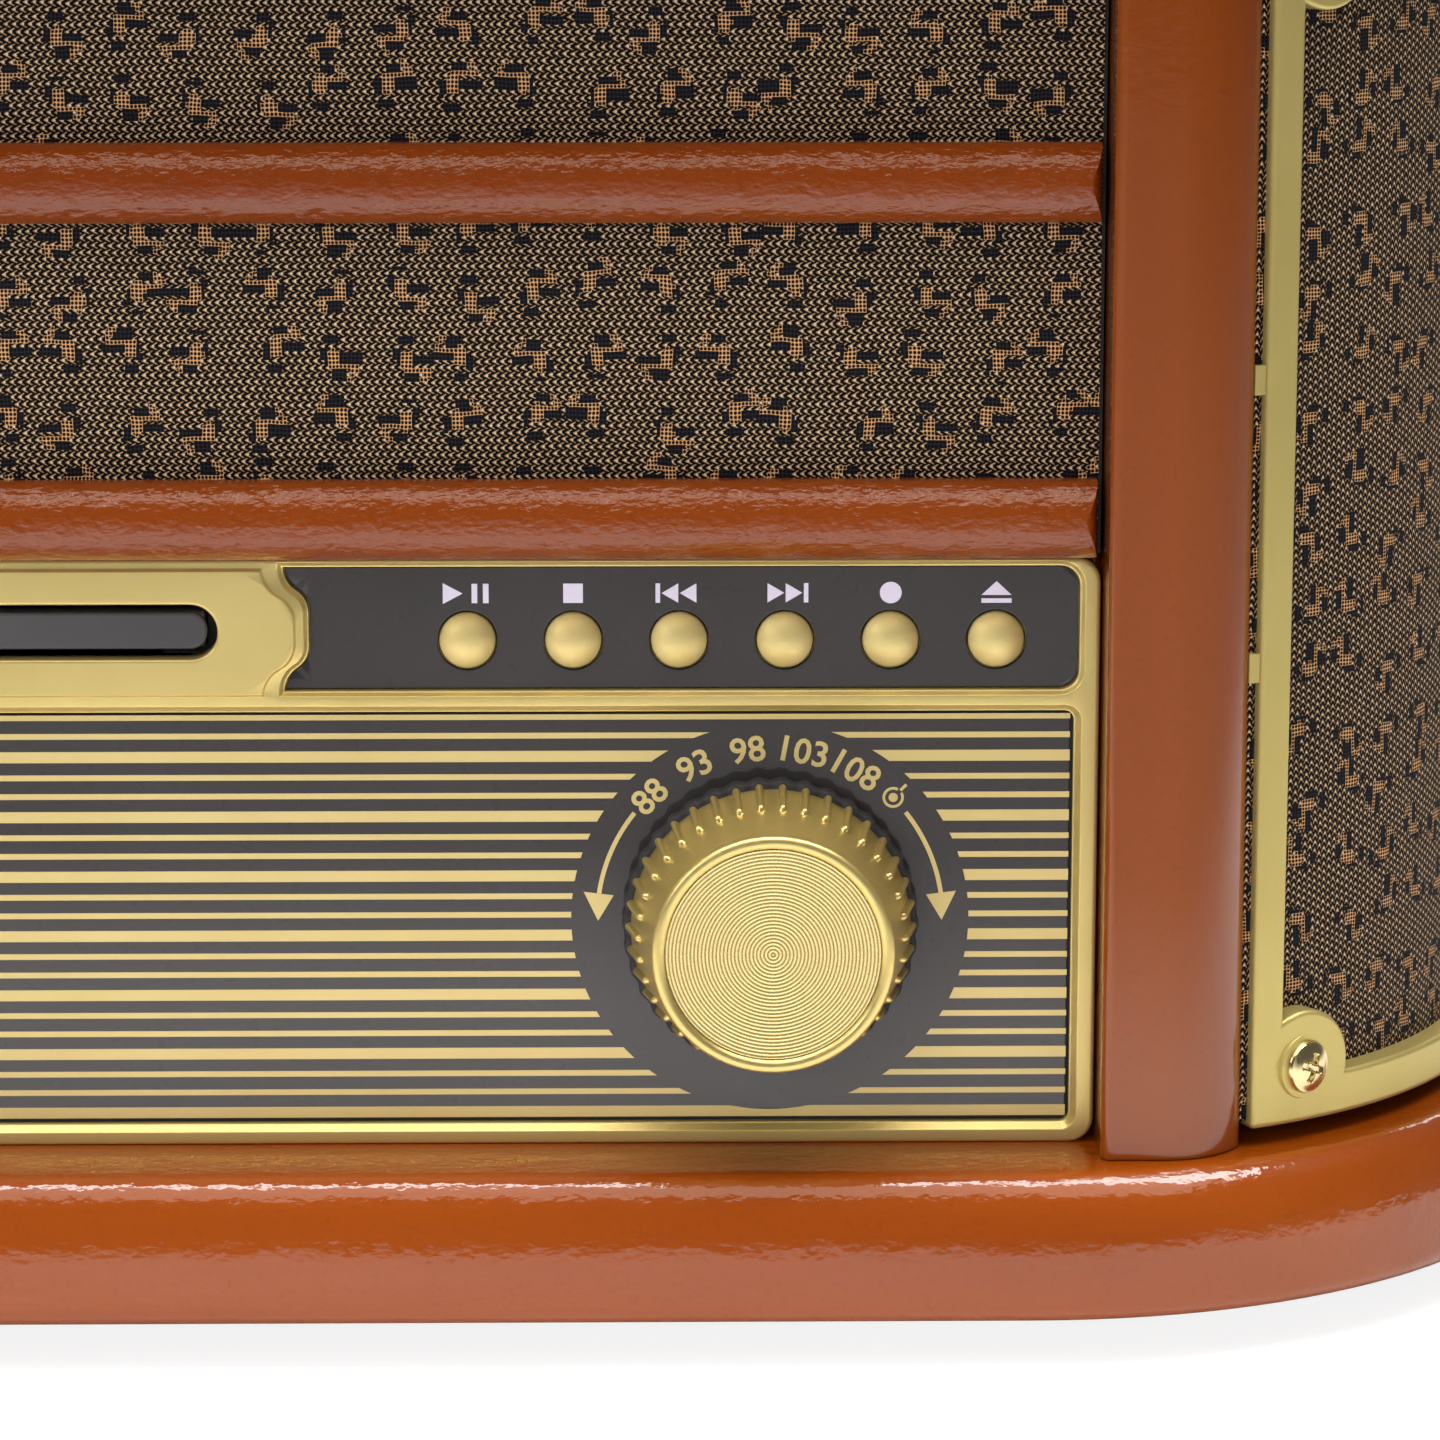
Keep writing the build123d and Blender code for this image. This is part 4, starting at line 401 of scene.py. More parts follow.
@dataclass(frozen=True)
class SpunFace(Finish):
    """Turned metal disc: light ridges round its own axis, with the cuts between them darkened as painted
    shade, and an anisotropic sheen across the cuts.
    """

    axis: tuple = (0.0, 0.0)
    pitch: float = 0.48
    # painted shade: the darker colour of the cuts between the ridges
    cut: tuple = rgb(170, 144, 84)
    anisotropic: float = 0.75

    def mix(self) -> bpy.types.Material:
        """Cosine of the radius darkens the cuts as painted shade; the tangent runs round the axis."""
        recipe = Recipe(self.name)
        middle = (self.axis[0] * MM, 0.0, self.axis[1] * MM)
        spoke = recipe.vector("MULTIPLY", recipe.vector("SUBTRACT", recipe.place, middle), (1.0, 0.0, 1.0))
        radius = recipe.vector("LENGTH", spoke)
        turns = recipe.maths("MULTIPLY", radius, 2000.0 * math.pi / self.pitch)
        ridge = recipe.spread(recipe.maths("COSINE", turns), -0.75, 0.35, 0.0, 1.0)
        # painted shade: the cuts take the darker colour, the ridges the plain one
        recipe.paint("Base Color", recipe.blend(ridge, self.cut, self.colour))
        recipe.paint("Roughness", self.rough(recipe, recipe.noise(self.grain)))
        round_axis = recipe.vector("CROSS_PRODUCT", spoke, (0.0, 1.0, 0.0))
        world = recipe.node("ShaderNodeVectorTransform", {0: round_axis},
                            vector_type="VECTOR", convert_from="OBJECT", convert_to="WORLD")
        recipe.paint("Tangent", recipe.vector("NORMALIZE", world.outputs[0]))
        recipe.paint("Anisotropic", self.anisotropic)
        self.constants(recipe)
        return recipe.material


def metal(name: str, colour: tuple, shade: tuple, roughness: float, relief: float = 0.004,
          grain: float = 0.35, metallic: float = 0.9, **more: object) -> Finish:
    """Metallic finish with a fine satin grain."""
    return Finish(name, colour, shade, roughness, 0.06, metallic, 25.0, grain, relief, **more)


LACQUER = Lacquer("lacquer", rgb(147, 70, 13), rgb(128, 58, 9), 0.36, 0.06, patch=26.0, peel=1.3,
                  peel_depth=0.12, coat=1.0, coat_roughness=0.05, stretch=(0.12, 1.0, 1.0), specular=0.1)
# posts: the lacquer made darker as painted shade, for the less light they get; its streaks run up the post
SHADED_UPRIGHT_LACQUER = Lacquer("lacquer_upright_shaded", rgb(127, 62, 14), rgb(115, 53, 10), 0.38, 0.06, patch=26.0,
                          peel=1.3, coat=1.0, coat_roughness=0.1, stretch=(1.0, 1.0, 0.12), specular=0.1)
# slats: the lacquer made darker as painted shade, for the less light up there; finer, deeper orange peel
SHADED_SLAT_LACQUER = Lacquer("lacquer_slats_shaded", rgb(131, 61, 9), rgb(113, 49, 7), 0.36, 0.06, patch=26.0, peel=0.9,
                       peel_depth=0.3, coat=1.0, coat_roughness=0.05, stretch=(0.12, 1.0, 1.0), specular=0.1)
SATIN_GOLD = metal("satin_gold", rgb(221, 200, 132), rgb(213, 192, 123), 0.38, metallic=0.7)
MATT_GOLD = metal("matt_gold", rgb(198, 180, 112), rgb(190, 172, 104), 0.44, metallic=0.6)
KNOB_GOLD = metal("knob_gold", rgb(220, 198, 128), rgb(216, 194, 124), 0.34, 0.0, 0.5, 0.85)
BUTTON_GOLD = metal("button_gold", rgb(230, 210, 146), rgb(226, 205, 140), 0.56, 0.0, 0.5, 0.7)
PRINT_GOLD = metal("print_gold", rgb(214, 194, 134), rgb(206, 184, 122), 0.4, metallic=0.35)
PRINT_PALE = Finish("print_pale", rgb(214, 206, 226), rgb(206, 198, 220), 0.5)
PLATE_GLOSS = Finish("plate_gloss", rgb(56, 53, 54), rgb(51, 48, 49), 0.3, 0.04, coat=1.0,
                     coat_roughness=0.03, grain=3.0, relief=0.002, specular=0.1)
BLACK_PLASTIC = Finish("black_plastic", rgb(24, 23, 24), rgb(19, 18, 19), 0.38, 0.08, grain=0.6, relief=0.012)
GREY_PLASTIC = Finish("grey_plastic", rgb(72, 70, 74), rgb(64, 62, 66), 0.42, 0.06, grain=0.5, relief=0.008)
DARK_WOOD = Finish("black_board", rgb(34, 28, 25), rgb(24, 20, 18), 0.7, 0.1, patch=8.0, grain=0.8,
                   relief=0.03, stretch=(0.2, 1.0, 1.0))
WALL_WOOD = Lacquer("side_lacquer", rgb(150, 70, 15), rgb(120, 50, 10), 0.38, 0.06, patch=22.0, specular=0.1,
                    coat=0.8, coat_roughness=0.1, stretch=(1.0, 0.1, 1.0))
RUBBER = Finish("rubber", rgb(26, 26, 26), rgb(20, 20, 20), 0.75, 0.1, grain=0.4, relief=0.02)
BELT_RUBBER = Finish("belt_rubber", rgb(22, 22, 22), rgb(16, 16, 16), 0.6, 0.1, grain=0.3, relief=0.01)
FELT = Finish("felt", rgb(38, 36, 36), rgb(28, 27, 27), 0.95, 0.03, patch=6.0, grain=0.25, relief=0.06)
STEEL = metal("steel", rgb(196, 196, 198), rgb(176, 176, 180), 0.28, 0.003)
ZINC = metal("screw_zinc", rgb(226, 208, 158), rgb(208, 188, 136), 0.2, 0.002, 0.5, 1.0)
ALUMINIUM = metal("aluminium", rgb(206, 207, 209), rgb(192, 193, 196), 0.3, 0.003)
PAPER = Finish("paper_cone", rgb(44, 42, 40), rgb(34, 32, 30), 0.85, 0.06, patch=4.0, grain=0.7, relief=0.05)
CIRCUIT = Finish("circuit", rgb(38, 92, 50), rgb(28, 74, 40), 0.45, 0.08, patch=5.0, grain=0.6, relief=0.02)
GLASS = Finish("display_glass", rgb(20, 22, 26), rgb(16, 17, 20), 0.08, 0.03, coat=1.0, coat_roughness=0.02,
               grain=6.0, relief=0.001)
LCD = Finish("display_digits", rgb(120, 150, 158), rgb(112, 140, 150), 0.5)
FRONT_CLOTH = NoteCloth("front_cloth_weave", rgb(188, 156, 121), rgb(136, 110, 84), 0.8, specular=0.15,
                        turn=-math.pi / 2)
SIDE_CLOTH = NoteCloth("side_cloth_weave", rgb(178, 145, 111), rgb(126, 99, 74), 0.8, specular=0.15)


# ---- surfaces ----
class Skin:
    """Collects grids and outlines, in millimetres, into one closed mesh."""

    def __init__(self) -> None:
        """Start with nothing."""
        self.points: list[np.ndarray] = []
        self.marks: list[np.ndarray] = []
        self.faces: list[list[int]] = []
        self.count = 0

    def add(self, points: np.ndarray, faces: Sequence[Sequence[int]],
            marks: Optional[np.ndarray] = None) -> None:
        """Add points with faces that count from the first of them.

        Args:
            points: rows of x, y, z.
            faces: corner numbers of each face.
            marks: place on the cloth of each point, if it has a pattern that follows it.
        """
        flat = np.asarray(points, float).reshape(-1, 3)
        offset = self.count
        self.faces.extend([[corner + offset for corner in face] for face in faces])
        self.points.append(flat)
        marks = np.zeros((len(flat), 2)) if marks is None else marks
        self.marks.append(np.asarray(marks, float).reshape(-1, 2))
        self.count += len(flat)

    def grid(self, points: np.ndarray, wrap_rows: bool = False, wrap_columns: bool = False,
             marks: Optional[np.ndarray] = None) -> None:
        """Add a sheet of four-sided faces between neighbouring points of a grid.

        Args:
            points: rows by columns by three.
            wrap_rows: the last row joins the first.
            wrap_columns: the last column joins the first.
            marks: rows by columns by two.
        """
        rows, columns = points.shape[:2]
        number = np.arange(rows * columns).reshape(rows, columns)
        if wrap_rows:
            number = np.vstack([number, number[:1]])
        if wrap_columns:
            number = np.hstack([number, number[:, :1]])
        quads = np.stack([number[:-1, :-1], number[:-1, 1:], number[1:, 1:], number[1:, :-1]], -1)
        self.add(points, quads.reshape(-1, 4).tolist(), marks)

    def cap(self, loop: np.ndarray) -> None:
        """Close a loop of points with one face."""
        self.add(loop, [list(range(len(loop)))])

    def slab(self, front: np.ndarray, back: np.ndarray, marks: Optional[np.ndarray] = None) -> None:
        """Closed slab: both sheets and the rim that joins them.

        Args:
            front, back: two grids of the same shape.
            marks: place on the cloth of each point of the front.
        """
        self.grid(front, marks=marks)
        self.grid(back)
        self.grid(np.stack([border(front), border(back)]), wrap_columns=True)

    def prism(self, outline: np.ndarray, y0: float, y1: float) -> None:
        """Outline carried along Y, with both ends closed.

        Args:
            outline: (x, z) points.
            y0, y1: where it starts and ends.
        """
        front, back = at_depth(outline, y0), at_depth(outline, y1)
        self.grid(np.stack([front, back]), wrap_columns=True)
        self.cap(front)
        self.cap(back)

    def turned(self, profile: np.ndarray, origin: Vector, axis: Vector, columns: int = 64,
               ripple: Optional[Callable[[np.ndarray, np.ndarray], np.ndarray]] = None) -> None:
        """Profile of (radius, height) points turned about an axis: each row of the grid is a circle.

        Args:
            profile: the points, from one end on the axis to the other.
            origin: a point on the axis, height nought.
            axis: the way heights grow.
            columns: points round the circle.
            ripple: what to add to the radius at (angle, height), both as grids.
        """
        tilted = abs(axis.x) + abs(axis.y) > 1.01
        side = axis.orthogonal().normalized() if tilted else UP.cross(axis)
        side = (RIGHT if side.length < 0.1 else side).normalized()
        other = axis.cross(side)
        angle = np.linspace(0, 2 * np.pi, columns, endpoint=False)[None, :]
        radius, height = (np.asarray(profile, float)[:, k][:, None] + 0 * angle for k in (0, 1))
        if ripple is not None:
            radius = radius + ripple(angle + 0 * radius, height)
        points = (np.array(origin)[None, None] + height[..., None] * np.array(axis)
                  + (radius * np.cos(angle))[..., None] * np.array(side)
                  + (radius * np.sin(angle))[..., None] * np.array(other))
        self.grid(points, wrap_columns=True)

    def mesh(self, name: str, sharp: float) -> bpy.types.Mesh:
        """The collected points as a welded mesh with its faces outward.

        Args:
            name: the mesh's name.
            sharp: edges steeper than this many degrees stay crisp.
        Returns:
            The mesh, in metres.
        """
        made = bpy.data.meshes.new(name)
        made.from_pydata((np.concatenate(self.points) * MM).tolist(), [], self.faces)
        marks = np.concatenate(self.marks)
        if marks.any():
            corner = np.zeros(len(made.loops), np.int32)
            made.loops.foreach_get("vertex_index", corner)
            made.uv_layers.new(name="cloth").data.foreach_set("uv", (marks[corner] * MM).ravel())
        tidy = bmesh.new()
        tidy.from_mesh(made)
        bmesh.ops.remove_doubles(tidy, verts=tidy.verts, dist=2e-6)
        bmesh.ops.dissolve_degenerate(tidy, edges=tidy.edges, dist=1e-7)
        bmesh.ops.recalc_face_normals(tidy, faces=tidy.faces)
        tidy.to_mesh(made)
        tidy.free()
        made.shade_smooth()
        made.set_sharp_from_angle(angle=math.radians(sharp))
        return made


def border(points: np.ndarray) -> np.ndarray:
    """Points round the rim of a grid, in order."""
    return np.concatenate([points[0, :-1], points[:-1, -1], points[-1, :0:-1], points[:0:-1, 0]])


def at_depth(outline: np.ndarray, y: Union[float, np.ndarray]) -> np.ndarray:
    """(x, z) points stood up at depth y."""
    outline = np.asarray(outline, float)
    return np.stack([outline[..., 0], np.broadcast_to(y, outline.shape[:-1]), outline[..., 1]], -1)


def mirrored(skin: Skin) -> Skin:
    """The same skin on the other side of the cabinet.

    Args:
        skin: the right-hand one.
    Returns:
        Its mirror image, with each face turned round so that it still points outward.
    """
    other = Skin()
    other.points = [points * (-1, 1, 1) for points in skin.points]
    other.marks = [marks + 0.0 for marks in skin.marks]
    other.faces = [face[::-1] for face in skin.faces]
    other.count = skin.count
    return other


def arc(centre: Sequence[float], radius: float, start: float, end: float, steps: int) -> np.ndarray:
    """Points on a circle from start to end degrees, counted from +X towards +Y of the drawing."""
    angle = np.radians(np.linspace(start, end, steps + 1))
    return np.stack([centre[0] + radius * np.cos(angle), centre[1] + radius * np.sin(angle)], -1)


def circle(x: float, z: float, radius: float, steps: int = 40) -> np.ndarray:
    """Closed circle of points."""
    return arc((x, z), radius, 0, 360, steps)[:-1]


def rounded_box(x0: float, x1: float, z0: float, z1: float, radius: float, steps: int = 6) -> np.ndarray:
    """Rectangle with rounded corners.

    Args:
        x0, x1, z0, z1: its sides.
        radius: radius of the corners.
        steps: sides of each corner.
    Returns:
        A loop that turns left.
    """
    corners = [(x1 - radius, z0 + radius, -90), (x1 - radius, z1 - radius, 0),
               (x0 + radius, z1 - radius, 90), (x0 + radius, z0 + radius, 180)]
    return np.concatenate([arc((x, z), radius, turn, turn + 90, steps) for x, z, turn in corners])


def resampled(loop: np.ndarray, step: float) -> np.ndarray:
    """Closed loop with extra points between its corners.

    Args:
        loop: the corners.
        step: the longest side allowed.
    Returns:
        The corners and the points between them.
    """
    ahead = np.roll(loop, -1, 0)
    counts = np.maximum(1, np.ceil(np.linalg.norm(ahead - loop, axis=1) / step)).astype(int)
    return np.concatenate([a + (b - a) * np.linspace(0, 1, count, endpoint=False)[:, None]
                           for a, b, count in zip(loop, ahead, counts)])


def widened(loop: np.ndarray, distance: float) -> np.ndarray:
    """Loop moved outward along the mitre of the two sides at each point.

    Args:
        loop: a loop that turns left.
        distance: how far its sides move; inward where it is less than nought.
    Returns:
        The moved loop.
    """
    side = np.roll(loop, -1, 0) - loop
    side /= np.linalg.norm(side, axis=1)[:, None] + 1e-12
    out = np.stack([side[:, 1], -side[:, 0]], -1)
    before = np.roll(out, 1, 0)
    mitre = out + before
    mitre /= np.linalg.norm(mitre, axis=1)[:, None] + 1e-12
    reach = distance / np.clip((mitre * out).sum(1), 0.5, 1)
    return loop + mitre * reach[:, None]


def smooth(t: np.ndarray) -> np.ndarray:
    """S-curve from nought to one: 3t squared less 2t cubed, held at the ends."""
    t = np.clip(t, 0, 1)
    return t * t * (3 - 2 * t)


class PieceKit:
    """Turns skins and CAD nodes into finished pieces on their bodies."""

    def __init__(self) -> None:
        """Start with no pieces."""
        self.done: list[str] = []

    def piece(self, name: str, skin: Union[Skin, bpy.types.Mesh], finish: Finish, body: str, slot: str,
              replaces: Sequence[str] = (), bevel: float = 0.0, sharp: float = 35.0,
              even: bool = False) -> bpy.types.Object:
        """Make one visible piece.

        Args:
            name: the piece's name.
            skin: its surface, or a finished mesh.
            finish: what it is coated with.
            body: the CAD body that it moves with.
            slot: the record's material slot; not used.
            replaces: CAD nodes that it stands for.
            bevel: width in millimetres of a rounded edge, or nought.
            sharp: crisp edges from this many degrees.
            even: let large faces decide the shading, for broad flats between small rolls.
        Returns:
            The object.
        """
        mesh = skin.mesh(name, sharp) if isinstance(skin, Skin) else skin
        thing = bpy.data.objects.new(name, mesh)
        bpy.context.scene.collection.objects.link(thing)
        mesh.materials.clear()
        mesh.materials.append(finish.material())
        if bevel:
            roll = thing.modifiers.new("rolled_edges", "BEVEL")
            roll.width, roll.segments, roll.limit_method = bevel * MM, 3, "ANGLE"
            roll.angle_limit = math.radians(40)
            roll.use_clamp_overlap = True
        if even or bevel:
            level = thing.modifiers.new("level_faces", "WEIGHTED_NORMAL")
            level.keep_sharp = True
        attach(thing, body)
        if replaces:
            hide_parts(*replaces)
        self.done.append(name)
        log.info("%s: %d faces", name, len(mesh.polygons))
        return thing

    def softened(self, node: str, finish: Finish, body: str, slot: str, bevel: float) -> bpy.types.Object:
        """Copy of a CAD node, merged, with flat faces joined and its edges rolled.

        Args:
            node: the CAD node.
            finish: what it is coated with.
            body: the CAD body that it moves with.
            slot: the record's material slot.
            bevel: width in millimetres of the rolled edge, or nought for smooth shading alone.
        Returns:
            The object that stands for the node.
        """
        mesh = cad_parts[node].data.copy()
        mesh.name = node + "_skin"
        tidy = bmesh.new()
        tidy.from_mesh(mesh)
        bmesh.ops.remove_doubles(tidy, verts=tidy.verts, dist=2e-6)
        bmesh.ops.dissolve_limit(tidy, angle_limit=math.radians(0.4), verts=tidy.verts, edges=tidy.edges)
        tidy.to_mesh(mesh)
        tidy.free()
        mesh.shade_smooth()
        mesh.set_sharp_from_angle(angle=math.radians(32))
        return self.piece(node + "_skin", mesh, finish, body, slot, [node], bevel)

    def dressed(self, nodes: Sequence[str], finish: Finish) -> None:
        """Dress CAD nodes that stay visible.

        Args:
            nodes: the nodes.
            finish: what they are coated with.
        """
        for node in nodes:
            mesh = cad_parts[node].data
            mesh.materials.clear()
            mesh.materials.append(finish.material())
            log.info("%s: CAD node in %s", node, finish.name)


kit = PieceKit()


# ---- cabinet ----
@dataclass
class Cabinet:
    """Plinth, posts, slats, top frame and walls."""

    half: float = 255.0
    front: float = -175.0
    rear: float = 175.0
    corner: float = 80.0
    rear_corner: float = 14.0
    foot: float = 5.5
    foot_roll: float = 3.0
    plinth_top: float = 25.0
    roll_depth: float = 6.5
    roll_height: float = 11.5
    front_top: float = 194.3
    frame_top: float = 208.3
    frame_roll: float = 4.0
    frame_inset: float = 5.0
    frame_step: float = 16.5
    frame_inner: float = 26.5
    post_inner: float = 183.9
    post_outer: float = 202.9
    post_face: float = -164.5
    slat_lows: tuple = (105.2, 149.4)
    slat_height: float = 10.3
    slat_half: float = 182.8
    slat_crown: float = 3.5
    slat_nose: float = 5.0
    slat_cheek: float = 1.7
    post_back: float = -135.2
    deck_seat: float = 200.3

    def plan(self, inset: float, rear_inset: float, rear_radius: float) -> np.ndarray:
        """Outline of the cabinet from above: straight sides joined by two large front arcs and two rear ones.

        Args:
            inset: distance inside the plinth's edge.
            rear_inset: the same behind.
            rear_radius: radius of the rear corners.
        Returns:
            (x, y) points.
        """
        half, front, rear = self.half - inset, self.front + inset, self.rear - rear_inset
        radius = self.corner - inset
        right = np.concatenate([
            arc((half - radius, front + radius), radius, -90, 0, 32),
            arc((half - rear_radius, rear - rear_radius), rear_radius, 0, 90, 6)])
        return np.concatenate([right, right[::-1] * (-1, 1)])

    def stack(self, levels: Sequence[Sequence[float]], rear_more: float, wrap: bool = False) -> Skin:
        """Rings of the cabinet's plan, one above the other, joined into a wall.

        Args:
            levels: (inset, height) of each ring.
            rear_more: extra inset behind.
            wrap: join the last ring to the first; otherwise both ends are closed.
        Returns:
            The skin.
        """
        skin = Skin()
        rings = []
        for inset, z in levels:
            ring = self.plan(inset, inset + rear_more, max(self.rear_corner - inset * 0.7, 3.0))
            rings.append(np.column_stack([ring, np.full(len(ring), z)]))
        skin.grid(np.stack(rings), wrap_rows=wrap, wrap_columns=True)
        if not wrap:
            skin.cap(rings[0])
            skin.cap(rings[-1])
        return skin

    def plinth(self) -> None:
        """Base board: a small quarter roll below, a deep one above, inset w(1 - cos a), drop h(1 - sin a)."""
        lower = [(self.foot_roll * (1 - math.sin(a)), self.foot + self.foot_roll * (1 - math.cos(a)))
                 for a in np.linspace(0, np.pi / 2, 7)]
        upper = [(self.roll_depth * (1 - math.cos(a)), self.plinth_top - self.roll_height * (1 - math.sin(a)))
                 for a in np.linspace(0, np.pi / 2, 25)]
        levels = [(4.5, self.foot)] + lower + upper + [(self.roll_depth + 1.5, self.plinth_top)]
        kit.piece("base_board", self.stack(levels, 0), LACQUER, "cabinet", "wood_lacquer", ["plinth"],
                  even=True)

    def top_frame(self) -> None:
        """Frame under the lid: rolled outer edges, each a quarter circle, and a stepped seat for the deck."""
        quarter = np.linspace(0, np.pi / 2, 8)
        low, high, roll, seat = self.front_top, self.frame_top, self.frame_roll, self.deck_seat
        middle, step, inner = self.frame_inset + roll, self.frame_step, self.frame_inner
        levels = [(inner, low), (middle + 1, low)]
        levels += [(middle - roll * math.sin(a), low + roll - roll * math.cos(a)) for a in quarter]
        levels += [(middle - roll * math.cos(a), high - roll + roll * math.sin(a)) for a in quarter]
        levels += [(middle + 1, high), (step - 0.3, high), (step, high - 0.3), (step, seat), (inner, seat)]
        kit.piece("deck_surround", self.stack(levels, 2.0, wrap=True), LACQUER, "cabinet", "wood_lacquer",
                  ["top_frame"], even=True)

    def post_plan(self) -> np.ndarray:
        """Right post from above: inner roll, flat, arc tangent to the flat out to the edge, stepped back."""
        face, inner, outer = self.post_face, self.post_inner, self.post_outer
        flat, run, drop, edge = 8.5, 10.5, 6.3, 1.5
        radius = (run * run + drop * drop) / (2 * drop)
        turn = math.degrees(math.asin(run / radius))
        return np.concatenate([
            [(inner, PANEL_FACE + 8)],
            arc((inner + edge, face + edge), edge, 180, 270, 6),
            arc((inner + flat, face + radius), radius, -90, -90 + turn, 16),
            [(outer, face + drop + 0.3), (outer, CLOTH_FACE), (outer - 7.9, CLOTH_FACE),
             (outer - 7.9, self.post_back), (inner - 3.2, self.post_back), (inner - 3.2, PANEL_FACE + 8)]])

    def posts(self) -> None:
        """Front posts: the plan carried from the plinth to the top frame."""
        plan = self.post_plan()
        skin = Skin()
        rings = [np.column_stack([plan, np.full(len(plan), z)]) for z in (self.plinth_top, self.front_top)]
        skin.grid(np.stack(rings), wrap_columns=True)
        skin.cap(rings[0])
        skin.cap(rings[1])
        for side, shape in (("right", skin), ("left", mirrored(skin))):
            # the posts take the darker lacquer: painted shade
            kit.piece("front_post_" + side, shape, SHADED_UPRIGHT_LACQUER, "cabinet", "wood_lacquer",
                      ["post_" + side], bevel=0.45, sharp=40)

    def slats(self) -> None:
        """Slats between the posts.

        The depth of the face is the larger of two: an arc across the height, and a quarter oval of the cheek
        at the ends, so that they mitre. The arc's radius is (half the height squared plus the crown squared)
        over twice the crown. Each four-sided face is cut along the diagonal that follows the mitre.
        """
        nose, crown, half_height = PANEL_FACE - self.slat_nose, self.slat_crown, self.slat_height / 2
        bow, cheek = (half_height ** 2 + crown ** 2) / (2 * crown), self.slat_cheek
        depth = crown * np.linspace(0, 1, 13) ** 1.5
        rise = np.sqrt(bow ** 2 - (bow - depth) ** 2)
        end = self.slat_half - cheek + cheek / crown * np.sqrt(crown ** 2 - (crown - depth) ** 2)
        z = np.concatenate([-rise[:0:-1], rise])
        x = np.concatenate([-end[::-1], np.linspace(-end[0], end[0], 9)[1:-1], end])
        end_depth = np.concatenate([depth[::-1], np.zeros(7), depth])
        z_depth = np.concatenate([depth[:0:-1], depth])
        surface = nose + np.maximum(z_depth[:, None], end_depth[None, :])
        skin = Skin()
        for low in self.slat_lows:
            points = np.stack(np.broadcast_arrays(x[None, :], surface, low + half_height + z[:, None]), -1)
            number = np.arange(points.shape[0] * points.shape[1]).reshape(points.shape[:2])
            a, b, c, d = number[:-1, :-1], number[:-1, 1:], number[1:, 1:], number[1:, :-1]
            same = ((x[:-1] + x[1:])[None, :] * (z[:-1] + z[1:])[:, None]) > 0
            rising, falling = np.stack([a, b, c, a, c, d], -1), np.stack([a, b, d, b, c, d], -1)
            split = np.where(same[..., None], rising, falling)
            skin.add(points, split.reshape(-1, 3).tolist())
            rim = border(points)
            back = rim.copy()
            back[:, 1] = CLOTH_FACE
            skin.grid(np.stack([rim, back]), wrap_columns=True)
            skin.cap(back)
        # the slats take the darker lacquer: painted shade
        kit.piece("cloth_slats", skin, SHADED_SLAT_LACQUER, "cabinet", "wood_lacquer", ["slats"], sharp=30)

    def walls(self) -> None:
        """Side walls, rear panel, feet and the boards behind."""
        for side in ("left", "right"):
            kit.softened("side_panel_" + side, WALL_WOOD, "cabinet", "side_wood", 0.8)
        kit.softened("rear_panel", DARK_WOOD, "cabinet", "black_board", 0.3)
        kit.softened("feet", RUBBER, "cabinet", "rubber", 0.6)
        kit.dressed(["front_board"], DARK_WOOD)

    def build(self) -> None:
        """Make every piece of the cabinet."""
        self.plinth()
        self.top_frame()
        self.posts()
        self.slats()
        self.walls()


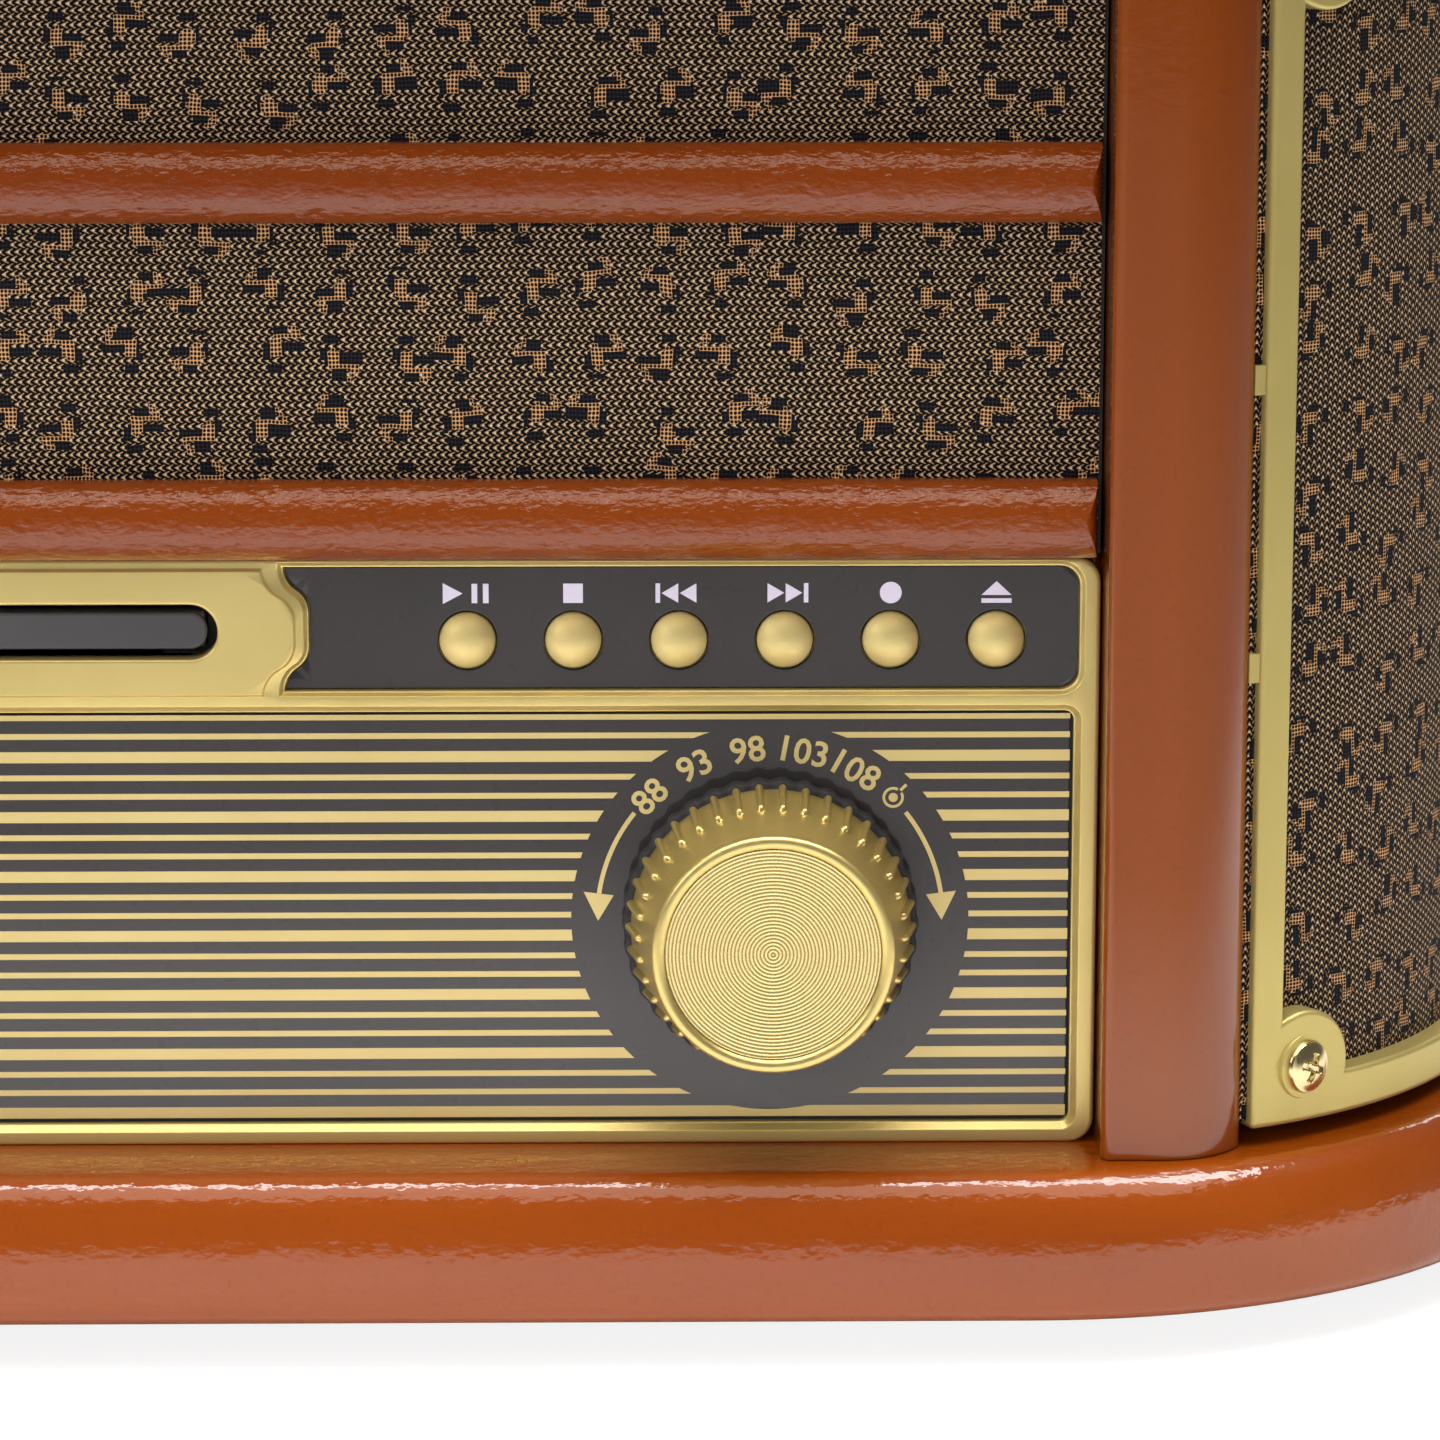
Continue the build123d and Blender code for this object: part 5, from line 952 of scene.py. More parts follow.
# ---- moulded plates ----
class MouldedPlate:
    """Plate cut to an outline with openings, its front edges rolled, its face filled between the rolls."""

    def __init__(self, outer: np.ndarray, edge: Edge, steps: int = 5) -> None:
        """Start from the outer loop.

        Args:
            outer: loop of (u, v) points that turns left.
            edge: radius of its roll, or the rings of its wall.
            steps: rings in each roll.
        """
        self.steps = steps
        self.rims: list[tuple[np.ndarray, Edge, int]] = [(outer, edge, -1)]
        self.pads: list[tuple[np.ndarray, float, float]] = []

    def opening(self, loop: np.ndarray, edge: Edge) -> None:
        """Cut an opening with that roll or wall round it; the loop turns left."""
        self.rims.append((loop, edge, 1))

    def wall(self, edge: Edge) -> Sequence[Sequence[float]]:
        """Rings of a wall: r(1 - cos a) from the edge and r(1 - sin a) behind the face for a roll.

        Args:
            edge: radius of the roll, or the rings themselves.
        Returns:
            (distance from the edge, drop behind the face) of each ring.
        """
        if not isinstance(edge, float):
            return edge
        angle = np.linspace(0, np.pi / 2, self.steps + 1)
        return [(edge * (1 - math.cos(a)), edge * (1 - math.sin(a))) for a in angle]

    def pad(self, loop: np.ndarray, width: float, height: float) -> None:
        """Raise the face inside the loop by height over a slope of that width."""
        self.pads.append((loop, width, height))

    def skin(self, depth: float, bend: Bend, skin: Optional[Skin] = None) -> Skin:
        """Closed surface of the plate.

        The flat is a triangle net whose sides are the last rings of the walls; inside a pad it is lifted. The
        back is the same net of the edges.

        Args:
            depth: thickness of the plate.
            bend: carries (u, v, distance behind the face) points to the object.
            skin: a skin to add to.
        Returns:
            The skin.
        """
        skin = skin or Skin()
        lift = self.lift
        inner = []
        for loop, edge, way in self.rims:
            rings = [(widened(loop, way * away), drop) for away, drop in self.wall(edge)]
            rows = [np.column_stack([loop, np.full(len(loop), depth)])]
            rows += [np.column_stack([ring, np.full(len(ring), drop) - lift(ring)]) for ring, drop in rings]
            skin.grid(np.stack([bend(row) for row in rows]), wrap_columns=True)
            inner.append(rings[-1][0])
        extra = []
        for loop, width, _ in self.pads:
            extra += [widened(loop, -width * share) for share in np.linspace(0, 1, 6)]
        for loops, drop in ((inner + extra, 0.0), ([rim[0] for rim in self.rims], depth)):
            points, faces = filled(loops, len(self.rims))
            height = np.full(len(points), drop) - (lift(points) if drop == 0.0 else 0.0)
            skin.add(bend(np.column_stack([points, height])), faces)
        return skin

    def lift(self, points: np.ndarray) -> np.ndarray:
        """How far the face is raised: an S-curve of the distance inside each pad.

        Args:
            points: (u, v) rows.
        Returns:
            The height at each.
        """
        total = np.zeros(len(points))
        for loop, width, height in self.pads:
            total += height * smooth(inside_distance(points, loop) / width)
        return total


def inside_distance(points: np.ndarray, loop: np.ndarray) -> np.ndarray:
    """Distance from the nearest side of a closed loop.

    Args:
        points: rows of two.
        loop: the loop.
    Returns:
        The distance of each point inside the loop, nought outside.
    """
    ahead = np.roll(loop, -1, 0)
    side = ahead - loop
    gap = points[:, None] - loop[None]
    along = np.clip((gap * side).sum(-1) / ((side ** 2).sum(-1) + 1e-12), 0, 1)
    distance = np.linalg.norm(gap - along[..., None] * side, axis=-1).min(1)
    return np.where(inside(points, loop), distance, 0.0)


def inside(points: np.ndarray, loop: np.ndarray) -> np.ndarray:
    """Whether each point is inside a closed loop: an odd number of sides to its right.

    Args:
        points: rows of two.
        loop: the loop.
    Returns:
        One truth value for each point.
    """
    ahead = np.roll(loop, -1, 0)
    x, y = points[:, :1], points[:, 1:]
    spans = (loop[None, :, 1] > y) != (ahead[None, :, 1] > y)
    slope = (y - loop[None, :, 1]) / (ahead[None, :, 1] - loop[None, :, 1] + 1e-15)
    right = x < loop[None, :, 0] + slope * (ahead[None, :, 0] - loop[None, :, 0])
    return (spans & right).sum(1) % 2 == 1


def filled(loops: Sequence[np.ndarray], rims: int) -> tuple[np.ndarray, list[list[int]]]:
    """Triangle net between loops: first the outline, then rims - 1 openings; the rest are creases.

    Args:
        loops: closed loops of points.
        rims: how many of them bound the net.
    Returns:
        Points, and the corners of each triangle.
    """
    points = np.concatenate(loops)
    starts = np.cumsum([0] + [len(loop) for loop in loops])
    sides = [(int(a), int(b)) for start, loop in zip(starts, loops)
             for a, b in zip(range(start, start + len(loop)), [*range(start + 1, start + len(loop)), start])]
    found = delaunay_2d_cdt([Vector(point) for point in points.tolist()], sides, [], 0, 1e-7)
    net = np.array([tuple(point) for point in found[0]])
    faces = np.array(found[2])
    middle = net[faces].mean(1)
    keep = inside(middle, loops[0])
    for loop in loops[1:rims]:
        keep &= ~inside(middle, loop)
    return net, faces[keep].tolist()


def flat_at(y: float) -> Bend:
    """Bend that leaves a plate flat.

    Args:
        y: depth of its face.
    Returns:
        The bend.
    """
    def bend(points: np.ndarray) -> np.ndarray:
        """(u, v, d) to (u, y + d, v)."""
        return np.stack([points[:, 0], y + points[:, 2], points[:, 1]], -1)
    return bend


# ---- control panel ----
class Symbol(Enum):
    """Signs over the buttons: those on the right from the middle outward, then those on the left."""

    PLAY_PAUSE = "play_pause"
    STOP = "stop"
    BACK = "back"
    FORWARD = "forward"
    RECORD = "record"
    EJECT = "eject"
    TONE = "tone"
    SOURCE = "source"
    POWER = "power"


@dataclass
class ControlPanel:
    """Moulded panel, its plates, prints, buttons, display, drawer and sockets."""

    half: float = 183.6
    low: float = 25.0
    high: float = 105.0
    plate: float = -153.7
    floor_y: float = -152.7
    rim_y: float = -150.8
    tape_y: float = -153.1
    corner: float = 3.3
    net: float = 4.0
    upper: tuple = (87.2, 103.8)
    lower: tuple = (27.75, 84.2)
    window_start: float = 75.7
    window_step: float = 3.3
    window_rise: float = 6.1
    window_round: float = 2.6
    window_wall: tuple = (
        (0, 0.95), (0.05, 0.8), (0.18, 0.76), (0.28, 0.65), (0.6, 0.2), (0.7, 0.06), (0.82, 0))
    dial_wall: tuple = (
        (0, 1.3), (0.06, 1.14), (0.2, 1.1), (0.3, 0.95), (0.85, 0.22), (0.95, 0.08), (1.1, 0))
    pad_start: float = 73.1
    pad_step: float = 4.3
    pad_rise: float = 7.2
    pad_z: tuple = (86.45, 103.85)
    pad_slope: float = 0.5
    pad_height: float = 0.5
    slot_middle: float = 95.3
    slot_half: float = 67.0
    slot_rise: float = 3.65
    drawer_half: float = 65.6
    drawer_rise: float = 2.45
    drawer_behind: float = 0.6
    fit: float = 0.15
    key_hole: float = 4.0
    shaft_hole: float = 4.6
    jack_hole: float = 4.2
    usb_half: tuple = (6.9, 3.2)
    display: tuple = (31.2, 41.8, 70.2)
    floor_in: float = 0.6
    floor_edge: float = 0.1
    rim_edge: float = 0.05
    rim_width: float = 3.0
    standoff_x: tuple = (106.9, 162.9)
    standoff_z: float = 88.5
    standoff_radius: float = 2.2
    standoff_length: float = 8.6
    button_z: float = 93.8
    button_first: float = 99.9
    button_pitch: float = 14.0
    usb_x: float = -98.5
    jack_x: float = -127.9
    button_radius: float = 3.7
    button_dome: float = 1.9
    button_tip: float = -155.6
    sign_rise: float = 6.3
    stripe_first: float = 78.08
    stripe_pitch: float = 8.16
    stripe_broad: float = 1.5
    stripe_narrow: float = 0.78
    stripe_over: tuple = (83.44, 80.9)
    stripe_steps: tuple = (2.8, 5.35)
    stripe_turns: int = 7
    stripe_end: float = 3.72
    stripe_start: float = 34.5
    stripe_clear: float = 26.6
    arrow_radius: float = 23.1
    number_radius: float = 21.5
    number_height: float = 3.5
    number_turns: tuple = (134, 61)
    figure_height: float = 9.0
    figure_pitch: float = 7.0
    figure_foot: float = 52.5
    right: tuple = ("play", "stop", "previous", "next", "record", "tray")
    left: tuple = ("tone", "source", "power")

    def curved_end(self, start: float, step: float, rise: float, low: float, high: float) -> np.ndarray:
        """Inner end of a window, with an ogee at its top and its foot made of two equal arcs.

        Over the first half of the rise x is start plus the arc's depth, radius less the root of (radius
        squared less reach squared); over the second half the same arc is turned half a turn about the ogee's
        middle.

        Args:
            start: x at the top and the foot.
            step: how far the middle stands beyond it.
            rise: height of each ogee.
            low, high: where the end begins and stops.
        Returns:
            (x, z) points from top to bottom.
        """
        z = np.linspace(high, low, 97)
        reach = np.clip(np.minimum(high - z, z - low), 0, rise)
        radius = (step * step + rise * rise) / (4 * step)
        depth = radius - np.sqrt(radius ** 2 - np.minimum(reach, rise - reach) ** 2)
        return np.column_stack([start + np.where(reach < rise / 2, depth, step - depth), z])

    def button_window(self, shrink: float = 0.0) -> np.ndarray:
        """Right button window.

        Args:
            shrink: how far inside the window the loop runs.
        Returns:
            A loop that turns left.
        """
        low, high = self.upper
        end, radius = self.half - 2.7, self.window_round
        loop = np.concatenate([
            self.curved_end(self.window_start, self.window_step, self.window_rise, low, high),
            arc((end - radius, low + radius), radius, -90, 0, 7),
            arc((end - radius, high - radius), radius, 0, 90, 7)])
        return widened(loop, -shrink)

    def dial_window(self, shrink: float = 0.0) -> np.ndarray:
        """Wide lower window, or a loop that far inside it."""
        reach = self.half - 3.3 - shrink
        return rounded_box(-reach, reach, self.lower[0] + shrink, self.lower[1] - shrink, 1.2)

    def slot(self) -> np.ndarray:
        """Mouth of the drawer with round ends."""
        low, high = self.slot_middle - self.slot_rise, self.slot_middle + self.slot_rise
        return rounded_box(-self.slot_half, self.slot_half, low, high, self.slot_rise - 0.05, 10)

    def disc_pad(self) -> np.ndarray:
        """Raised pad round the mouth, with the same curved ends."""
        right = self.curved_end(self.pad_start, self.pad_step, self.pad_rise, *self.pad_z)[::-1]
        return np.concatenate([right, right[::-1] * (-1, 1)])

    def usb_hole(self, radius: float) -> np.ndarray:
        """Opening for the memory-stick socket, with corners of that radius."""
        x, z, (across, up) = self.usb_x, self.button_z, self.usb_half
        return rounded_box(x - across, x + across, z - up, z + up, radius, 2)

    def display_hole(self, radius: float) -> np.ndarray:
        """Opening for the display, with corners of that radius."""
        half, low, high = self.display
        return rounded_box(-half, half, low, high, radius, 2)

    def outline(self, inset: float, radius: float, steps: int = 6) -> np.ndarray:
        """The panel's outline moved inward, with corners of that radius."""
        reach = self.half - inset
        return rounded_box(-reach, reach, self.low + inset, self.high - inset, radius, steps)

    def right_places(self) -> list[float]:
        """Middles of the buttons on the right."""
        return [self.button_first + self.button_pitch * place for place in range(len(self.right))]

    def left_places(self) -> list[float]:
        """Middles of the buttons on the left: the outer places of the right, mirrored."""
        return [-x for x in self.right_places()[-len(self.left):]]

    def bezel(self) -> None:
        """Front moulding, the floor behind the plates with its holes, the rear rim and four standoffs."""
        outline = self.outline(0.0, self.corner)
        plate = MouldedPlate(resampled(outline, self.net), 0.6)
        window = resampled(self.button_window(), self.net)
        for loop in (window, (window * (-1, 1))[::-1]):
            plate.opening(loop, self.window_wall)
        plate.opening(resampled(self.dial_window(), self.net), self.dial_wall)
        plate.opening(resampled(self.slot(), self.net), 0.45)
        plate.pad(resampled(self.disc_pad(), 3.0), self.pad_slope, self.pad_height)
        skin = plate.skin(4.5, flat_at(PANEL_FACE))
        edge = self.floor_edge
        floor = MouldedPlate(self.outline(self.floor_in, self.corner - self.floor_in), edge, 1)
        for x in self.right_places() + self.left_places():
            floor.opening(circle(x, self.button_z, self.key_hole - edge), edge)
        for side in (-1, 1):
            floor.opening(circle(side * KNOB_X, KNOB_Z, self.shaft_hole), edge)
        jack = circle(self.jack_x, self.button_z, self.jack_hole)
        for loop in (self.display_hole(0.2), self.usb_hole(0.2), jack, self.slot()):
            floor.opening(loop, edge)
        floor.skin(2.0, flat_at(self.floor_y), skin)
        rim = MouldedPlate(outline, self.rim_edge, 1)
        rim.opening(self.outline(self.rim_width, 0.5, 2), self.rim_edge)
        rim.skin(3.6, flat_at(self.rim_y), skin)
        radius, length = self.standoff_radius, self.standoff_length
        standoff = [(0, 0), (radius, 0), (radius, length), (0, length)]
        for x in self.standoff_x:
            for side in (-1, 1):
                skin.turned(standoff, Vector((side * x, self.rim_y, self.standoff_z)), BACKWARD, 20)
        kit.piece("panel_moulding", skin, SATIN_GOLD, "cabinet", "gold_satin", ["control_bezel"],
                  sharp=50, even=True)

    def plates(self) -> None:
        """Gloss plates behind the buttons and round the knobs, and the tape behind the dial plate."""
        window = resampled(self.button_window(self.fit), self.net)
        right, left = MouldedPlate(window, self.fit, 2), MouldedPlate((window * (-1, 1))[::-1], self.fit, 2)
        for plate, places in ((right, self.right_places()), (left, self.left_places())):
            for x in places:
                plate.opening(circle(x, self.button_z, self.key_hole), self.fit)
        left.opening(self.usb_hole(0.3), self.fit)
        left.opening(circle(self.jack_x, self.button_z, self.jack_hole), self.fit)
        skin = left.skin(1.0, flat_at(self.plate), right.skin(1.0, flat_at(self.plate)))
        kit.piece("gloss_plates", skin, PLATE_GLOSS, "cabinet", "dial_black", ["button_plates"],
                  sharp=40, even=True)
        dial = MouldedPlate(resampled(self.dial_window(0.4), 6.0), 0.2, 2)
        for side in (-1, 1):
            dial.opening(circle(side * KNOB_X, KNOB_Z, self.shaft_hole), self.fit)
        dial.opening(self.display_hole(0.3), self.fit)
        kit.piece("striped_plate", dial.skin(1.0, flat_at(self.plate)), PLATE_GLOSS, "cabinet", "dial_black",
                  ["dial_plate"], sharp=40, even=True)
        tape = MouldedPlate(self.dial_window(-0.9), self.rim_edge, 1)
        tape.opening(self.dial_window(2.0), self.rim_edge)
        kit.piece("plate_tape", tape.skin(0.4, flat_at(self.tape_y)), RUBBER, "cabinet", "rubber", sharp=50)

    def ink(self) -> tuple[float, float]:
        """Front and back of every print, which reaches just into its plate."""
        return self.plate - 0.03, self.plate + 0.02

    def stripes(self) -> None:
        """Printed stripes, one broad and two narrow in turn, cut back round each knob and the display.

        Beside a knob a stripe ends at the knob's middle plus or minus the root of (clear squared less z
        squared); over and under it, the stripe's edge is that circle where the circle cuts into it.
        """
        skin = Skin()
        narrow = self.stripe_narrow
        rows = [(z, narrow) for z in self.stripe_over]
        for turn in range(self.stripe_turns):
            broad = self.stripe_first - self.stripe_pitch * turn
            rows += [(broad, self.stripe_broad)] + [(broad - step, narrow) for step in self.stripe_steps]
        clear, start, end = self.stripe_clear, self.stripe_start, self.half - self.stripe_end
        for z, width in rows:
            low, high = max(z - width / 2, self.lower[0] + 0.62), min(z + width / 2, self.lower[1] - 0.42)
            if high - low < 0.3:
                continue
            height = np.linspace(low, high, 5)
            gap = clear ** 2 - (height - KNOB_Z) ** 2
            reach = np.sqrt(np.maximum(gap, 0.0))
            if gap.min() > 0:
                parts = [(start + 0 * height, KNOB_X - reach), (KNOB_X + reach, end + 0 * height)]
                sheets = [np.stack([np.stack([near, height], -1), np.stack([far, height], -1)], 1)
                          for near, far in parts]
            else:
                x = np.unique(np.concatenate([[start, end], KNOB_X + np.linspace(-12, 12, 49)]))
                under = KNOB_Z - np.sqrt(clear ** 2 - np.clip(x - KNOB_X, -20, 20) ** 2)
                top = np.minimum(high, under) if z < KNOB_Z else high + 0 * x
                sheets = [np.stack([np.stack([x, low + 0 * x], -1), np.stack([x, top], -1)])]
            for sheet in sheets:
                for side in (1, -1):
                    skin.slab(*(at_depth(sheet * (side, 1), y) for y in self.ink()))
        kit.piece("printed_stripes", skin, PRINT_GOLD, "cabinet", "dial_black", sharp=50)

    def arrow(self, skin: Skin, x: float, way: int) -> None:
        """Curved arrow beside a knob: an even band of an arc with a head; the right one has a dial sign.

        Args:
            skin: the print.
            x: the knob's middle.
            way: 1 for the right-hand arrow, -1 for the left-hand one.
        """
        y0, y1 = self.ink()
        z, radius = KNOB_Z, self.arrow_radius
        line = arc((x, z), radius, 38.5, 8.2, 24) if way > 0 else arc((x, z), radius, 141.5, 171.8, 24)
        self.band(skin, line, 0.3)
        tip = np.array([(x + way * 23.0, z - 0.4), (x + way * 24.9, z + 3.6), (x + way * 20.9, z + 3.1)])
        skin.prism(tip if way > 0 else tip[::-1], y0, y1)
        if way < 0:
            return
        turn = math.radians(45.0)
        px, pz = x + way * 23.2 * math.cos(turn), z + 23.2 * math.sin(turn)
        self.band(skin, arc((px, pz), 1.25, 60, 390, 30), 0.18)
        skin.prism(circle(px, pz, 0.62, 20), y0, y1)
        self.band(skin, np.array([(px + 0.95, pz + 0.95), (px + 1.75, pz + 1.75)]), 0.2)

    def numbers(self, skin: Skin, x: float, labels: Sequence[str]) -> None:
        """Numbers on an arc over a knob, each standing along the radius.

        Args:
            skin: the print.
            x: the knob's middle.
            labels: the numbers, from left to right.
        """
        for label, angle in zip(labels, np.radians(np.linspace(*self.number_turns, len(labels)))):
            points, faces = lettering(label, self.number_height)
            across, up = points[:, 0], points[:, 1] + self.number_radius
            px = x + across * math.sin(angle) + up * math.cos(angle)
            pz = KNOB_Z - across * math.cos(angle) + up * math.sin(angle)
            skin.add(np.stack([px, self.plate - 0.01 - points[:, 2], pz], -1), faces)

    def prints(self) -> None:
        """Gold numbers and arrows round the knobs, and pale signs over the buttons."""
        gold = Skin()
        for side, labels in ((1, ("88", "93", "98", "103", "108")), (-1, ("0", "2", "4", "6", "8", "10"))):
            x = side * KNOB_X
            self.numbers(gold, x, labels)
            for way in (-1, 1):
                self.arrow(gold, x, way)
        kit.piece("dial_numbers", gold, PRINT_GOLD, "cabinet", "dial_black", sharp=50)
        pale = Skin()
        for x, sign in zip(self.right_places() + self.left_places(), Symbol):
            self.sign(pale, x, sign)
        kit.piece("button_signs", pale, PRINT_PALE, "cabinet", "dial_black", sharp=50)

    def sign(self, skin: Skin, x: float, sign: Symbol) -> None:
        """One sign over a button, drawn from triangles, bars and rings.

        Args:
            skin: the print.
            x: the button's middle.
            sign: which one.
        """
        z = self.button_z + self.sign_rise
        y0, y1 = self.ink()

        def shape(*points: Sequence[float]) -> None:
            """Add one outline given round the sign's middle."""
            skin.prism(np.array([(x + px, z + pz) for px, pz in points]), y0, y1)

        def bar(left: float, right: float, low: float = -1.3, high: float = 1.3) -> None:
            """Add one upright rectangle."""
            shape((left, low), (right, low), (right, high), (left, high))

        if sign is Symbol.PLAY_PAUSE:
            shape((-3.2, -1.4), (-0.6, 0), (-3.2, 1.4))
            bar(0.6, 1.35)
            bar(2.1, 2.85)
        elif sign is Symbol.STOP:
            bar(-1.3, 1.3)
        elif sign in (Symbol.BACK, Symbol.FORWARD):
            way = 1 if sign is Symbol.FORWARD else -1
            for start in (-2.3, 0.1):
                points = [(way * start, -1.3), (way * (start + 2.2), 0), (way * start, 1.3)]
                shape(*(points if way > 0 else points[::-1]))
            bar(*sorted((way * 2.5, way * 3.1)))
        elif sign is Symbol.RECORD:
            skin.prism(circle(x, z, 1.45, 28), y0, y1)
        elif sign is Symbol.EJECT:
            shape((-2.0, -0.35), (2.0, -0.35), (0, 1.5))
            bar(-2.0, 2.0, -1.4, -0.8)
        elif sign is Symbol.TONE:
            for place, height in enumerate((0.7, 1.6, 2.6, 1.6, 0.7)):
                bar(-2.3 + place, -1.8 + place, -height / 2, height / 2)
        elif sign is Symbol.SOURCE:
            for place in (-1.1, 0.0, 1.1):
                bar(-2.0, 2.0, place - 0.25, place + 0.25)
        else:
            self.band(skin, arc((x, z), 1.35, 125, 415, 30), 0.22)
            bar(-0.24, 0.24, 0.1, 1.7)

    def band(self, skin: Skin, line: np.ndarray, half: float) -> None:
        """Printed band of constant width.

        Args:
            skin: the print.
            line: (x, z) points along its middle.
            half: half its width, which is laid off at right angles to the line.
        """
        way = np.gradient(line, axis=0)
        way /= np.linalg.norm(way, axis=1)[:, None]
        across = np.stack([-way[:, 1], way[:, 0]], -1) * half
        skin.slab(*(at_depth(np.stack([line - across, line + across]), y) for y in self.ink()))

    def buttons(self) -> None:
        """Domed buttons: a spherical cap on a straight body, with collar and stem behind.

        The cap's depth is curve less the root of (curve squared less reach squared); curve is its radius.
        """
        radius, rise = self.button_radius, self.button_dome
        curve = (radius ** 2 + rise ** 2) / (2 * rise)
        reach = np.linspace(0, radius, 18)
        dome = np.column_stack([reach, curve - np.sqrt(curve ** 2 - reach ** 2)])
        body = [(3.72, 2.1), (3.72, 5.1), (4.7, 5.1), (4.7, 6.1), (1.6, 6.1), (1.6, 10.9), (0, 10.9)]
        profile = np.concatenate([dome, body])
        for name, x in zip(self.right + self.left, self.right_places() + self.left_places()):
            skin = Skin()
            skin.turned(profile, Vector((x, self.button_tip, self.button_z)), BACKWARD, 56)
            kit.piece(f"dome_{name}", skin, BUTTON_GOLD, f"button_{name}", "gold_knob", [f"button_{name}"],
                      sharp=42)

    def window(self) -> None:
        """Display behind its glass, with plain figures."""
        kit.dressed(["display"], GLASS)
        skin = Skin()
        for place, figure in enumerate("12:00"):
            points, faces = lettering(figure, self.figure_height)
            x, z = points[:, 0] + self.figure_pitch * (place - 2), points[:, 1] + self.figure_foot
            skin.add(np.stack([x, self.plate - 0.02 - points[:, 2], z], -1), faces)
        kit.piece("display_figures", skin, LCD, "cabinet", "display_glass", sharp=50)

    def drawer(self) -> None:
        """Disc drawer: its tray, and the bar with round ends that closes the mouth."""
        kit.softened("cd_tray", GREY_PLASTIC, "disc_drawer", "black_plastic", 0.7)
        low, high = self.slot_middle - self.drawer_rise, self.slot_middle + self.drawer_rise
        front = MouldedPlate(rounded_box(-self.drawer_half, self.drawer_half, low, high, 2.2, 8), 0.4)
        kit.piece("drawer_front", front.skin(1.2, flat_at(PANEL_FACE + self.drawer_behind)), GREY_PLASTIC,
                  "disc_drawer", "black_plastic", sharp=50, even=True)

    def build(self) -> None:
        """Make every piece of the panel."""
        self.bezel()
        self.plates()
        self.stripes()
        self.prints()
        self.buttons()
        self.window()
        self.drawer()
        kit.softened("front_sockets", STEEL, "cabinet", "steel", 0.15)
        kit.dressed(["cd_chassis", "control_encoders", "encoder_rotor"], BLACK_PLASTIC)
        kit.dressed(["button_boards", "main_board"], CIRCUIT)
        kit.dressed(["transformer"], STEEL)


def lettering(words: str, height: float) -> tuple[np.ndarray, list[list[int]]]:
    """Figures as a thin closed shape round the origin, made from the built-in font.

    Args:
        words: what to write.
        height: size of the letters in millimetres.
    Returns:
        Points in millimetres, facing +Z, and faces.
    """
    line = bpy.data.curves.new("figures", "FONT")
    line.body, line.size, line.extrude = words, height * SIZE_FOR_HEIGHT, 0.02
    line.align_x, line.resolution_u, line.offset = "CENTER", 3, height * BOLDNESS
    thing = bpy.data.objects.new("figures", line)
    bpy.context.scene.collection.objects.link(thing)
    bpy.context.view_layer.update()
    mesh = bpy.data.meshes.new_from_object(thing.evaluated_get(bpy.context.evaluated_depsgraph_get()))
    points = np.zeros(len(mesh.vertices) * 3)
    mesh.vertices.foreach_get("co", points)
    faces = [list(face.vertices) for face in mesh.polygons]
    bpy.data.objects.remove(thing)
    bpy.data.curves.remove(line)
    bpy.data.meshes.remove(mesh)
    return points.reshape(-1, 3), faces


